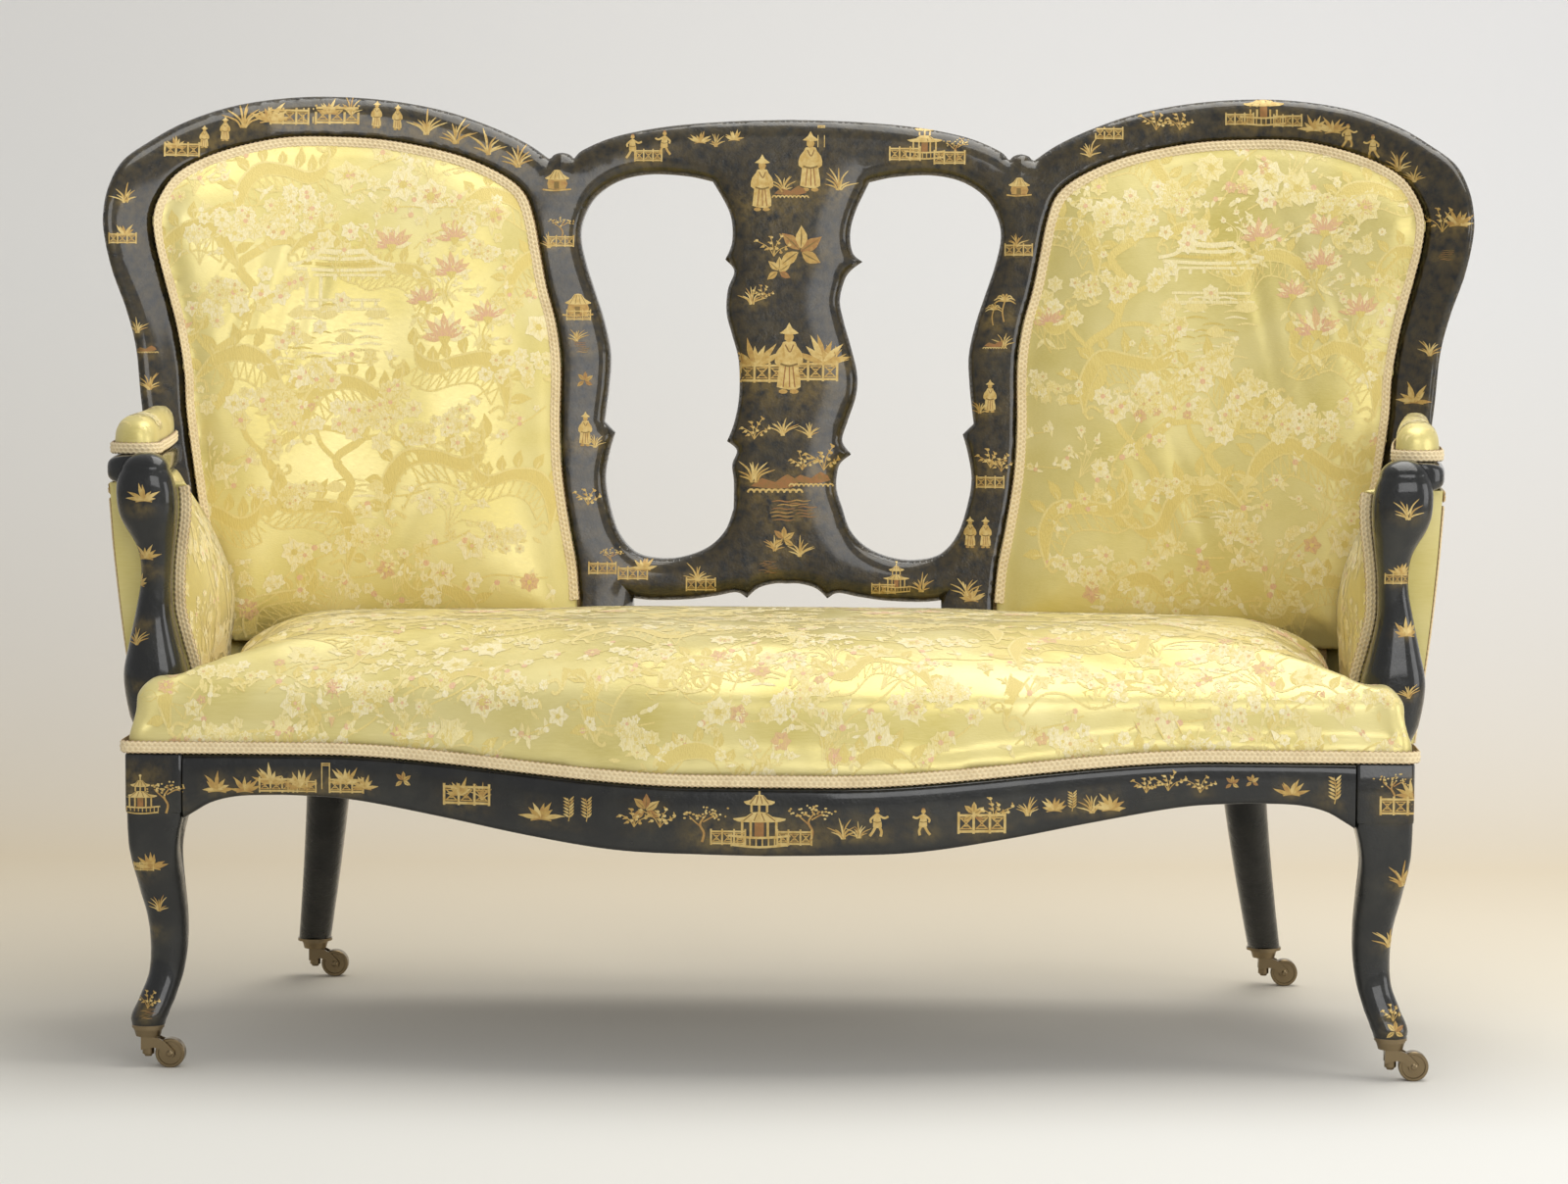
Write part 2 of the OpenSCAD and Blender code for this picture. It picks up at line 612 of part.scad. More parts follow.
// Horn: a bored boss with a web that carries two cheeks, one each side of the wheel.
module caster_horn() {
    color(patina) difference() {
        union() {
            translate([0, 0, horn_top - 18]) cylinder(d = boss_d, h = 18);
            for (s = [-1, 1]) translate([0, s * (cheek_in + cheek_t / 2) + cheek_t / 2, wheel_z])
                rotate([90, 0, 0]) linear_extrude(height = cheek_t) cheek_outline();
            translate([-boss_d / 2, -cheek_in - 0.01, horn_top - 6])
                cube([boss_d / 2 + trail - sqrt(pow(wheel_d / 2 + 1.2, 2) - pow(horn_top - 6 - wheel_z, 2)),
                    2 * cheek_in + 0.02, 6]);
        }
        translate([0, 0, horn_top - 19]) cylinder(d = pintle_d + 2 * run_fit, h = 20);
        translate([trail, 0, wheel_z]) rotate([90, 0, 0])
            cylinder(d = axle_d + 2 * run_fit, h = 4 * cheek_in, center = true);
    }
}
module caster_axle() {
    reach = cheek_in + cheek_t + 0.1;
    color("#8a6a38") translate([trail, 0, wheel_z]) rotate([90, 0, 0]) {
        cylinder(d = axle_d, h = 2 * reach + 0.2, center = true);
        for (s = [0, 180]) rotate([s, 0, 0]) translate([0, 0, reach])
            cylinder(d1 = axle_d + 3, d2 = axle_d, h = 1.4);
    }
}
module caster_wheel() {
    color("#6b5530") translate([trail, 0, wheel_z]) rotate([90, 0, 0]) difference() {
        rotate_extrude() polygon([[0, -wheel_w / 2 - 0.3], [5, -wheel_w / 2 - 0.3], [5.5, -wheel_w / 2 + 1],
            [wheel_d / 2 - 3.5, -wheel_w / 2 + 1], [wheel_d / 2 - 3, -wheel_w / 2],
            [wheel_d / 2 - 0.8, -wheel_w / 2], [wheel_d / 2, -wheel_w / 2 + 1],
            [wheel_d / 2, wheel_w / 2 - 1], [wheel_d / 2 - 0.8, wheel_w / 2], [wheel_d / 2 - 3, wheel_w / 2],
            [wheel_d / 2 - 3.5, wheel_w / 2 - 1], [5.5, wheel_w / 2 - 1], [5, wheel_w / 2 + 0.3],
            [0, wheel_w / 2 + 0.3]]);
        cylinder(d = axle_d + 2 * run_fit, h = 2 * wheel_w, center = true);
    }
}
rear_collar = 10;            // the rear cups' flanges are this much wider than the cups
module at_front_left() {
    translate([-leg_x, leg_y, 0]) children();
}
module at_front_right() {
    translate([leg_x, leg_y, 0]) children();
}
module at_rear_left() {
    translate([-rear_foot[0], rear_foot[1], 0]) children();
}
module at_rear_right() {
    translate([rear_foot[0], rear_foot[1], 0]) children();
}

// Seat upholstery

corner_r = 14;              // plan radius of the seat's front corners
foot_gap = 62;              // the arm supports' feet begin this far behind the front caster axes
seat_lean = 30;             // depth of the seat's rear edge in front of the frame, at the back pads
edge_lift = 26;             // the seat's rear edge is this much higher than its front edge
front_steps = 15;           // straight steps in each half of the seat's front edge
// Right half of the seat's plan at height z, from the middle of the front to that of the back.
function seat_half(gap, z) = let (
    x1 = block_out + cover_proud - gap, y1 = block_front - cover_proud + gap,
    sx = side_in - gap, foot = leg_y + foot_gap - gap
) concat(
    [for (i = [0:front_steps]) let (x = (x1 - corner_r) * i / front_steps)
        [x, rail_front(x) - cover_proud + gap]],
    [for (a = [-60, -30, 0]) [x1 - corner_r + corner_r * cos(a), y1 + corner_r + corner_r * sin(a)]],
    [[x1, max(foot - 20, y1 + corner_r + 2)], [x1 - 4, foot - 2], [sx + 14, foot], [sx, foot + 8]],
    [for (k = [0.26, 0.42, 0.56, 0.68]) [sx - 8 * smooth(0.5, 0.75, k), leg_y + back_set * k]],
    [for (x = [572, 540, 480, 400, 320, 276, 246, 230, 224, 120, 0])
        [wide(x) - gap * smooth(0, 572, x),
            sheet_y(wide(x), z, -1.5 - 7.5 * smooth(224, 230, x) - (seat_lean - 9) * smooth(236, 290, x)) - gap
            - 22 * smooth(540, 572, x)]]);
function seat_loop(gap, z) = let (half = seat_half(gap, z), last = len(half) - 1)
    concat(half, [for (i = [last - 1:-1:1]) [-half[i][0], half[i][1]]]);
// Spine that the seat's rings close on.
function seat_spine(p) = [clamp(p[0], -470, 470) * 0.97, leg_y + clamp(p[1] - leg_y, 190, 300)];
// Rings of the crown: [share of the way in to the spine, share of the rise to the crown].
crown_fine = [[0, 0], [0.03, 0.17], [0.09, 0.35], [0.2, 0.56], [0.36, 0.76], [0.58, 0.91], [0.8, 0.98],
    [0.93, 1]];
crown_coarse = [[0, 0], [0.09, 0.35], [0.36, 0.76], [0.93, 1]];
function seat_low(p) = rail_top - front_dip * bow(p[0]) * (1 - smooth(40, 90, p[1] - leg_y)) + seam;
function seat_high(p) = seat_edge + edge_lift * smooth(260, 400, p[1] - leg_y);
// A crowned block over the seat's plan, drawn in by gap and lowered by the same. In front of the
// arm supports, its rings close across the seat before they close towards the back.
function seat_rings(gap, crown) = let (
    full = seat_loop(0, seat_edge + edge_lift), top = seat_loop(gap, seat_edge + edge_lift)
) concat(
    [[for (p = seat_loop(gap, rail_top)) [p[0], p[1], seat_low(p)]]],
    [[for (p = seat_loop(gap, seat_edge)) [p[0], p[1], seat_high(p) - 9 - gap]]],
    [for (r = crown) [for (i = [0:len(full) - 1])
        let (f = full[i], p = top[i], q = seat_spine(f), lag = smooth(side_in - 12, side_in + 38, abs(f[0])))
        [p[0] + (q[0] - p[0]) * r[0], p[1] + (q[1] - p[1]) * pow(r[0], 1 + lag),
            seat_high(f) - gap + (seat_crown - seat_high(f)) * r[1]]]]);
// The cover's skin runs down its inner face from the crown and up again outside.
module seat_cover() {
    inner = seat_rings(cloth_t, crown_coarse);
    color(brocade) skin(concat(flip(inner), seat_rings(0, crown_fine)), crossed = len(inner) - 1);
}

web_z = rail_z + 22;
strap_t = 2 * web_t;
spring_z = web_z + strap_t;
hessian_z = spring_z + spring_h;
hessian_t = 1.5;
edge_roll = 30;             // thickness of the stuffing round the springs
// Stuffing over the springs, with a roll round them that stands on the rails.
module seat_stuffing() {
    chamber = seat_loop(edge_roll, rail_top);
    color("#c9b58a") skin(concat(
        [[for (p = chamber) [p[0], p[1], hessian_z + hessian_t]]],
        [[for (p = chamber) [p[0], p[1], seat_low(p)]]],
        seat_rings(cloth_t + 2 * seam, crown_coarse)));
}
module seat_hessian() {
    color(jute) translate([0, 0, hessian_z]) linear_extrude(height = hessian_t)
        polygon(seat_loop(edge_roll + seam, rail_top));
}

spring_gap = (side_in - 32) / 4;        // spacing of the springs along the seat
spring_row = back_set / 4.5;            // spacing of the springs from front to back
spring_xs = [for (i = [0:7]) (i - 3.5) * spring_gap];
spring_ys = [for (j = [1:3]) leg_y + j * spring_row];
function spring_r(z) = spring_d * (0.29 + 0.21 * pow(2 * z / spring_h - 1, 2));
// Each hourglass spring is a sleeve as thick as its wire.
module seat_springs() {
    steps = [for (i = [0:8]) spring_h * i / 8];
    color("silver") for (x = spring_xs, y = spring_ys)
        translate([x, y, spring_z]) rotate_extrude()
            polygon(concat([for (z = steps) [spring_r(z), z]],
                [for (z = flip(steps)) [spring_r(z) - wire, z]]));
}

// Right half of the well inside the seat rails, from its front to its back.
function well_half(gap) = concat(
    [for (i = [1:24]) let (x = block_in * i / 24) [x, rail_front(x) + front_rail_t + gap]],
    [[block_in - gap, block_back + gap]],
    flip(side_plan(rail_t0 - gap)),
    [for (p = flip(plan_arc(rail_t0 - gap))) if (p[0] > 0 && p[0] < rail_split) [p[0], back_y + p[1]]]);
module well(gap) {
    difference() {
        polygon(concat(well_half(gap), mirrored(well_half(gap))));
        for (s = [0, 1]) mirror([s, 0]) {
            offset(delta = 2 * fit) front_block_plan();
            offset(delta = 2 * fit) rear_block_plan();
        }
    }
}
// Straps are turned up where they meet a rail and tacked to its inner face.
turn_up = 22;
module strap_row(z) {
    translate([0, 0, z]) linear_extrude(height = web_t) intersection() {
        well(fit);
        children();
    }
    translate([0, 0, z]) linear_extrude(height = turn_up) intersection() {
        difference() {
            well(fit);
            offset(delta = -web_t) well(fit);
        }
        children();
    }
}
module seat_webbing() {
    color(jute) {
        strap_row(web_z) for (y = spring_ys) translate([-back_w / 2, y - web_w / 2]) square([back_w, web_w]);
        strap_row(web_z + web_t) for (x = spring_xs)
            translate([x - web_w / 2, leg_y - 200]) square([web_w, 900]);
    }
}
lining_t = 1.5;
module dust_cover() {
    color("#262321") translate([0, 0, web_z - lining_t]) linear_extrude(height = lining_t) well(fit);
}

// Back upholstery, drawn for the right-hand panel
module panel() {
    polygon(out(panel_edge));
}
module inset_panel(gap) {
    offset(delta = -gap) panel();
}
border = 13;                // flat edge of a back pad, under its braid
border_t = 4.5;             // height of that edge in front of the frame
// Height of a back pad's face in front of the frame, at a distance inside its edge.
function pad_face(u) = u < border ? border_t
    : border_t + (back_pad_t - border_t) * (1 - exp(-(u - border) / 30));
// Unit normal to the left of the step from a to b.
function left_of(a, b) = [a[1] - b[1], b[0] - a[0]] / norm(b - a);
// Mitred steps into a loop drawn counter-clockwise, for an offset of 1.
function inward(loop) = let (n = len(loop)) [for (i = [0:n - 1])
    let (v = left_of(loop[(i + n - 1) % n], loop[i]), w = left_of(loop[i], loop[(i + 1) % n]))
        (v + w) / (1 + v * w)];
function shrink(loop, d) = let (v = inward(loop)) [for (i = [0:len(loop) - 1]) loop[i] + d * v[i]];
pad_foot = 73;              // rise of the lower edge of a back pad above the rails
pad_loop = out(concat([for (p = curve(panel_points, 2)) if (p[1] > pad_foot + 4) p],
    [for (i = [0:5]) [231 + (617 - 231) * i / 5, pad_foot]]));
function pad_spine(p) = [clamp(p[0], wide(430), wide(480)), clamp(p[1], rise(250), rise(430))];
function pad_ring(s) = let (base = shrink(pad_loop, border)) [for (p = base)
    let (q = pad_spine(p), r = p + (q - p) * s)
        sheet_pt(r[0], r[1], -pad_face(border + norm(q - p) * s))];
function pad_edge_ring(inset, t) = [for (p = shrink(pad_loop, inset)) sheet_pt(p[0], p[1], t)];
module back_pad() {
    color(brocade) skin(concat(
        [pad_edge_ring(1, 6), pad_edge_ring(1, 1 - border_t)],
        [for (s = [0, 0.06, 0.18, 0.36, 0.62, 0.92]) pad_ring(s)]));
}
module back_gimp() {
    color(braid) cut_board(-border_t - seam - gimp_t, -border_t - seam) intersection() {
        difference() {
            inset_panel(0.6);
            inset_panel(0.6 + gimp_w);
        }
        window(200, pad_foot + 2, 760, 700);
    }
}
module back_straps() {
    for (x = [300, 390, 480, 570, 645])
        cut_board(6 + seam, 6 + seam + web_t) intersection() {
            inset_panel(seam);
            window(x - web_w / 2, 2, x + web_w / 2, 700);
        }
    for (r = [130, 240, 350, 460, 570])
        cut_board(6 + seam + web_t, 6 + seam + strap_t) intersection() {
            inset_panel(seam);
            window(200, r - web_w / 2, 760, r + web_w / 2);
        }
}
module back_webbing() {
    color(jute) both() back_straps();
}
module outside_back() {
    color(brocade) cut_board(back_t - 8, back_t - 8 + cloth_t) intersection() {
        inset_panel(seam);
        window(200, 0.5, 760, 700);
    }
}

// Arm upholstery, drawn for the right-hand arm
swell = [[322, 604], [365, 603.5], [400, 604], [440, 600], [490, 600], [540, 608], [575, 621], [589, 626]];
stile_face = [for (i = [0:5]) [rise(panel_points[i][1]), wide(panel_points[i][0])]];
// Height on the settee of a height drawn for rails at 322 and 589.
function level(z) = rail_top + (z - 322) * (arm_z - rail_top) / 267;
arm_low = rail_top + seam;
arm_high = arm_z - seam;
// Y of the back of an arm support at a height.
function support_back(z) = leg_y + 2 * seam
    + along(support_shape, 322 + (z - rail_top) * 267 / (arm_z - rail_top), 4);
// Y where the arm's cloth meets the back, in front of the pad and its braid.
function arm_end(x, z) = let (u = along(stile_face, z) - x)
    sheet_y(x, z, u < -20 ? -seam : -pad_face(max(u, 0)) - gimp_t - 3 * seam);
function inner_face(k, z) = let (
    y = leg_y + back_set * (0.24 + 0.55 * k), drawn = 322 + (z - rail_top) * 267 / (arm_z - rail_top),
    top = arm_x(y) - arm_width(k) / 2 + 2
) along(swell, drawn) - 629 + leg_x + (top - 626 + 629 - leg_x) * smooth(430, 589, drawn)
    - 9 * sin(180 * k) * sin(180 * clamp((drawn - 400) / 189, 0, 1));
function outer_face(k, z) = let (
    y = leg_y + back_set * (0.24 + 0.55 * k), share = clamp((z - rail_top) / (arm_z - rail_top), 0, 1),
    top = arm_x(y) + arm_width(k) / 2 - 3, foot = block_out + 12 - 6 * k
) foot + (top - foot) * (share + 0.12 * sin(180 * share));
function arm_width(k) = arm_w - 20 * k;
stuff_t = 25;               // thickness of an arm's inner padding
support_levels = [336, 350, 370, 392, 410, 428, 446, 464, 482, 500, 518, 536, 552, 567];
arm_levels = concat(arm_low, [for (z = support_levels) level(z)], arm_high);
shares = [0, 0.12, 0.3, 0.5, 0.7, 0.88, 1];
function arm_pt(x, z, k) = let (a = support_back(z)) [x, a + (arm_end(x, z) - a) * k, z];
module inside_arm() {
    color(brocade) skin([for (k = shares) concat(
        [for (z = arm_levels) arm_pt(inner_face(k, z), z, k)],
        [for (z = flip(arm_levels)) arm_pt(inner_face(k, z) + stuff_t, z, k)])], strip = true);
}
// The outside cloth runs along the arm and turns in behind its support.
function outside_path(z, t) = concat(
    [for (x = [inner_face(0, z) + stuff_t + seam, outer_face(0, z) - t]) [x, support_back(z) + t, z]],
    [for (i = [1:len(shares) - 1]) arm_pt(outer_face(shares[i], z) - t, z, shares[i])]);
module outside_arm() {
    color(brocade)
        skin([for (z = arm_levels) concat(outside_path(z, 0), flip(outside_path(z, cloth_t)))],
            strip = true);
}

pad_front = arm_front + 24;
rest_nose = 26;             // length of the rounded front end of an arm's rest
rest_taper = 14;            // the rest is this much narrower at the back
// Rings of an arm's padded rest, flat beneath and domed above.
function rest_ring(y, w, h) = [for (i = [0:13]) let (a = 180 * i / 11)
    i < 12 ? [arm_x(y) + w / 2 * signed_pow(cos(a), 0.7), y,
        arm_z + arm_t + seam + h * (0.25 + 0.75 * pow(sin(a), 0.8))]
    : [arm_x(y) + (i == 12 ? -w / 2 : w / 2), y, arm_z + arm_t + seam]];
function rest_rear() = sheet_y(arm_x(leg_y + back_set * 0.84), arm_z + arm_t + arm_pad_h / 2, -seam);
rest_w = arm_w - 2 * gimp_t - 3;
module arm_pad() {
    nose = rest_nose;
    steps = 7;
    rear = rest_rear();
    color(brocade) skin(concat(
        [for (s = [0.35, 0.7, 0.9]) flip(rest_ring(pad_front + nose * (1 - sqrt(1 - s * s)), rest_w * s,
            arm_pad_h * (0.55 + 0.4 * s)))],
        [for (i = [0:steps])
            let (k = i / steps, y = pad_front + nose + (rear - pad_front - nose) * k, w = rest_w - rest_taper * k)
            [for (p = flip(rest_ring(y, w, arm_pad_h)))
                i < steps ? p : [p[0], sheet_y(p[0], p[2], -seam), p[2]]]]));
}

// Flat braid along a path of [point, across, outward] rows.
module braid_strip(rows, w = gimp_w) {
    skin([for (r = rows) [r[0] - r[1] * w / 2, r[0] + r[1] * w / 2,
        r[0] + r[1] * w / 2 + r[2] * gimp_t, r[0] - r[1] * w / 2 + r[2] * gimp_t]]);
}
module seat_gimp() {
    half = seat_half(-seam, rail_top);
    ends = front_steps + 4;
    path = concat([for (i = [ends:-1:1]) [-half[i][0], half[i][1]]], [for (i = [0:ends]) half[i]]);
    n = len(path);
    color(braid) braid_strip([for (i = [0:n - 1])
        let (d = path[min(i + 1, n - 1)] - path[max(i - 1, 0)], z = seat_low(path[i]) + 1 + gimp_w / 2)
        [[path[i][0], path[i][1], z], [0, 0, 1], [d[1], -d[0], 0] / norm(d)]]);
}
module rest_gimp_plan(grow) {
    rear = rest_rear();
    y0 = pad_front + rest_nose;
    edge = function(s) [for (i = [0:7]) let (y = y0 + (rear - y0) * i / 7,
        x = arm_x(y) + s * ((rest_w - rest_taper * i / 7) / 2 + grow))
        [x, i < 7 ? y : sheet_y(x, arm_z + arm_t, -seam)]];
    polygon(concat(edge(1), flip(edge(-1)),
        [for (a = [175:-10:5]) let (y = y0 - rest_nose * sin(a))
            [arm_x(y) + (rest_w / 2 + grow) * cos(a), y - grow * sin(a)]]));
}
module arm_braids() {
    translate([0, 0, arm_z + arm_t + seam]) linear_extrude(height = gimp_w) difference() {
        rest_gimp_plan(seam + gimp_t);
        rest_gimp_plan(seam);
    }
    braid_strip([for (k = [0.06, 0.2, 0.4, 0.6, 0.8, 0.94])
        let (z = arm_high - 1 - gimp_w / 2, p = arm_pt(outer_face(k, z), z, k))
            [[p[0] + 1.2, p[1], z], [0, 0, 1], [1, 0, 0]]]);
    heights = [for (h = [370, 420, 470, 520, 550]) level(h)];
    braid_strip([for (z = concat(arm_low + 4, heights, arm_high - gimp_w - 3))
        let (x = outer_face(0.03, z)) [[x + 1, support_back(z) + gimp_w / 2, z], [0, -1, 0], [1, 0, 0]]]);
    braid_strip([for (z = [seat_edge + 30, level(450), level(480), level(510), level(540), level(570)])
        [[inner_face(0.02, z) - 1, support_back(z) + gimp_w / 2 + 1, z], [0, 1, 0], [-1, 0, 0]]]);
}
module arm_gimps() {
    color(braid) both() arm_braids();
}

// Screws through the corner blocks, and up through the rails into what stands on them
screw_d = 4.5;
// Wood screw along +Z with its countersunk head at the origin.
module screw(l, play = 0) {
    cylinder(d = screw_d + 2 * play, h = l + play);
    translate([0, 0, -play]) cylinder(d1 = 2 * screw_d + 2 * play, d2 = screw_d + 2 * play, h = 3.2);
}
block_z = rail_z + rail_h / 2;
module block_screws(play = 0) {
    translate([block_in - 34, block_front + front_rail_t + 40, block_z]) rotate([90, 0, 0]) screw(58, play);
    translate([side_in - 40, block_back + 34, block_z]) rotate([0, 90, 0]) screw(58, play);
    translate([wide(520), back_y + plan_y(wide(520), rail_t0) - 34, block_z]) rotate([-90, 0, 0])
        screw(54, play);
}
module foot_screws(play = 0) {
    for (x = [[wide(628), 17], [wide(201), 17]])
        translate([x[0], sheet_y(x[0], rail_top + 14, x[1]), rail_z]) screw(rail_h + 32, play);
    translate([leg_x - 2, leg_y + 97, rail_z]) screw(rail_h + 36, play);
}
module frame_screws() {
    color("gray") both() {
        block_screws();
        foot_screws();
    }
}

module left() {
    mirror([1, 0, 0]) children();
}
front_seat_rail();
back_seat_rail();
left() side_seat_rail();  // left_seat_rail
side_seat_rail();  // right_seat_rail
left() front_leg();  // front_left_leg
front_leg();  // front_right_leg
left() rear_leg();  // rear_left_leg
rear_leg();  // rear_right_leg
corner_blocks();
left() outer_stile();  // left_outer_stile
outer_stile();  // right_outer_stile
left() side_crest_rail();  // left_crest_rail
side_crest_rail();  // right_crest_rail
center_crest_rail();
left() inner_stile();  // left_inner_stile
inner_stile();  // right_inner_stile
center_splat();
lower_cross_rail();
left() arm_support();  // left_arm_support
arm_support();  // right_arm_support
left() arm_rail();  // left_arm_rail
arm_rail();  // right_arm_rail
frame_dowels();
frame_screws();
at_front_left() caster_cup();  // front_left_caster_cup
at_front_left() caster_horn();  // front_left_caster_horn
at_front_left() caster_wheel();  // front_left_caster_wheel
at_front_left() caster_axle();  // front_left_caster_axle
at_front_right() caster_cup();  // front_right_caster_cup
at_front_right() caster_horn();  // front_right_caster_horn
at_front_right() caster_wheel();  // front_right_caster_wheel
at_front_right() caster_axle();  // front_right_caster_axle
at_rear_left() caster_cup(rear_collar);  // rear_left_caster_cup
at_rear_left() caster_horn();  // rear_left_caster_horn
at_rear_left() caster_wheel();  // rear_left_caster_wheel
at_rear_left() caster_axle();  // rear_left_caster_axle
at_rear_right() caster_cup(rear_collar);  // rear_right_caster_cup
at_rear_right() caster_horn();  // rear_right_caster_horn
at_rear_right() caster_wheel();  // rear_right_caster_wheel
at_rear_right() caster_axle();  // rear_right_caster_axle
dust_cover();
seat_webbing();
seat_springs();
seat_hessian();
seat_stuffing();
seat_cover();
seat_gimp();
left() back_pad();  // left_back_pad
back_pad();  // right_back_pad
left() outside_back();  // left_outside_back
outside_back();  // right_outside_back
back_webbing();
both() back_gimp();  // back_gimps
left() inside_arm();  // left_inside_arm
inside_arm();  // right_inside_arm
left() outside_arm();  // left_outside_arm
outside_arm();  // right_outside_arm
left() arm_pad();  // left_arm_pad
arm_pad();  // right_arm_pad
arm_gimps();
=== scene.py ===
"""Looks of a lacquered two-seat settee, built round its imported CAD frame.

X runs along the settee, -Y is its front and Z is up. Shapes are worked out in millimetres, in the
frame's own coordinates, and turned to metres where a mesh is made.
"""
import logging
import math
from dataclasses import dataclass, field
from enum import Enum
from functools import partial
from typing import Callable, Iterable, Sequence

import bpy
import mathutils
import numpy as np
from bpy.types import Material, Mesh, Node, NodeSocket, NodeTree, Object
from mathutils.geometry import delaunay_2d_cdt
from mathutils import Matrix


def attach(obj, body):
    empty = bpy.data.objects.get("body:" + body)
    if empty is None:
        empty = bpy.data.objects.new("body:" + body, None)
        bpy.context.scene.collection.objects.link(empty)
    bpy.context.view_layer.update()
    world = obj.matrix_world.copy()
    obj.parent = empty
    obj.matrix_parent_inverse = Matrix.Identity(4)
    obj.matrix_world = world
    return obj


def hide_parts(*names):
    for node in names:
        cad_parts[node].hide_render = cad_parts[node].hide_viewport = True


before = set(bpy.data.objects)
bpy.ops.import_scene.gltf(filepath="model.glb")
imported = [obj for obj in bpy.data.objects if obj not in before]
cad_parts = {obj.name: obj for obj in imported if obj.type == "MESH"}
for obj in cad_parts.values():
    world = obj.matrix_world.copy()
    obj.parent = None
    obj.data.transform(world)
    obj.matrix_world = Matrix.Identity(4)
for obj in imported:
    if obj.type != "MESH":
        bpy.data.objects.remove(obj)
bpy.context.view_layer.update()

LOG = logging.getLogger("settee")
MM = 0.001
Array = np.ndarray
Point = Sequence[float]
Line = Sequence[Point]
Field = Callable[[Array], Array]


# Curves and small sums

def spline(points: Line, steps: int = 8) -> Array:
    """Smooth curve through points: between two of them, the Catmull-Rom cubic of their neighbours.

    Args:
        points: rows of coordinates, in order.
        steps: samples from each point to the next.
    Returns:
        Rows along the curve, both ends among them.
    """
    p = np.asarray(points, float)
    i = np.arange(len(p) - 1)
    a, b, c, d = (p[np.clip(i + k, 0, len(p) - 1)][:, None] for k in (-1, 0, 1, 2))
    t = (np.arange(steps) / steps)[None, :, None]
    rows = (2 * b + (c - a) * t + (2 * a - 5 * b + 4 * c - d) * t**2 + (3 * b - a - 3 * c + d) * t**3) / 2
    return np.vstack([rows.reshape(-1, p.shape[1]), p[-1:]])


def along(table: Line, at: Array, column: int) -> Array:
    """Value of one column of a table at any place in its first column, by the same cubic as spline."""
    rows = np.asarray(table, float)
    at = np.asarray(at, float)
    i = np.clip(np.searchsorted(rows[:, 0], at, side="right") - 1, 0, len(rows) - 2)
    a, b, c, d = (rows[np.clip(i + k, 0, len(rows) - 1), column] for k in (-1, 0, 1, 2))
    t = np.clip((at - rows[i, 0]) / (rows[i + 1, 0] - rows[i, 0]), 0, 1)
    return (2 * b + (c - a) * t + (2 * a - 5 * b + 4 * c - d) * t**2 + (3 * b - a - 3 * c + d) * t**3) / 2


def smooth(low: float, high: float, v: Array) -> Array:
    """0 below low, 1 above high, and 3t^2 - 2t^3 between them."""
    t = np.clip((np.asarray(v, float) - low) / (high - low), 0, 1)
    return t * t * (3 - 2 * t)


def rolled(d: Array, width: float, depth: float) -> Array:
    """How far an edge is rolled over at d from it: a quarter-round that wide, cut that deep."""
    return depth * (1 - np.sqrt(np.clip(1 - (1 - np.minimum(d, width) / width) ** 2, 0, 1)))


def turn(v: Array) -> Array:
    """Vectors of the plane turned a quarter turn to their left."""
    return np.stack([-v[..., 1], v[..., 0]], -1)


def unit(v: Array) -> Array:
    """Vectors scaled to length 1."""
    return v / np.maximum(np.linalg.norm(v, axis=-1, keepdims=True), 1e-9)


def spaced(path: Array, step: float = 1.0, count: int = 0) -> Array:
    """The same path sampled evenly by arc length, about one step apart or at count points."""
    run = np.concatenate([[0], np.cumsum(np.linalg.norm(np.diff(path, axis=0), axis=1))])
    at = np.linspace(0, run[-1], count or max(2, int(round(run[-1] / step)) + 1))
    return np.stack([np.interp(at, run, path[:, k]) for k in range(path.shape[1])], -1)


def rounded_rectangle(width: Array, depth: Array, count: int, power: Array) -> Array:
    """Superellipse x = w/2 sgn(cos a)|cos a|^(2/p), y the same with sin a.

    Args:
        width, depth, power: numbers or arrays of one number for each ring.
        count: points round a ring.
    Returns:
        Array of rings, points and the two coordinates, counter-clockwise.
    """
    a = 2 * math.pi * (np.arange(count) + 0.5) / count
    w, d, e = (np.atleast_1d(np.asarray(v, float))[:, None] for v in (width, depth, 2 / np.asarray(power, float)))
    x = w / 2 * np.sign(np.cos(a)) * np.abs(np.cos(a)) ** e
    y = d / 2 * np.sign(np.sin(a)) * np.abs(np.sin(a)) ** e
    return np.stack(np.broadcast_arrays(x, y), -1)


def edge_distance(points: Array, paths: Iterable[Array]) -> Array:
    """Shortest distance from each point to any of some open or closed paths of the plane.

    For each straight step it is the distance to the nearest point of the step, whose share along
    it is the dot product clipped to 0..1.
    """
    starts = np.vstack([p[:-1] for p in paths])
    steps = np.vstack([np.diff(p, axis=0) for p in paths])
    square = np.maximum((steps**2).sum(1), 1e-12)
    found = []
    for block in np.array_split(points, max(1, len(points) * len(starts) // 4_000_000 + 1)):
        gap = block[:, None] - starts
        share = np.clip((gap * steps).sum(-1) / square, 0, 1)
        found.append(np.sqrt(((gap - share[..., None] * steps) ** 2).sum(-1).min(1)))
    return np.concatenate(found)


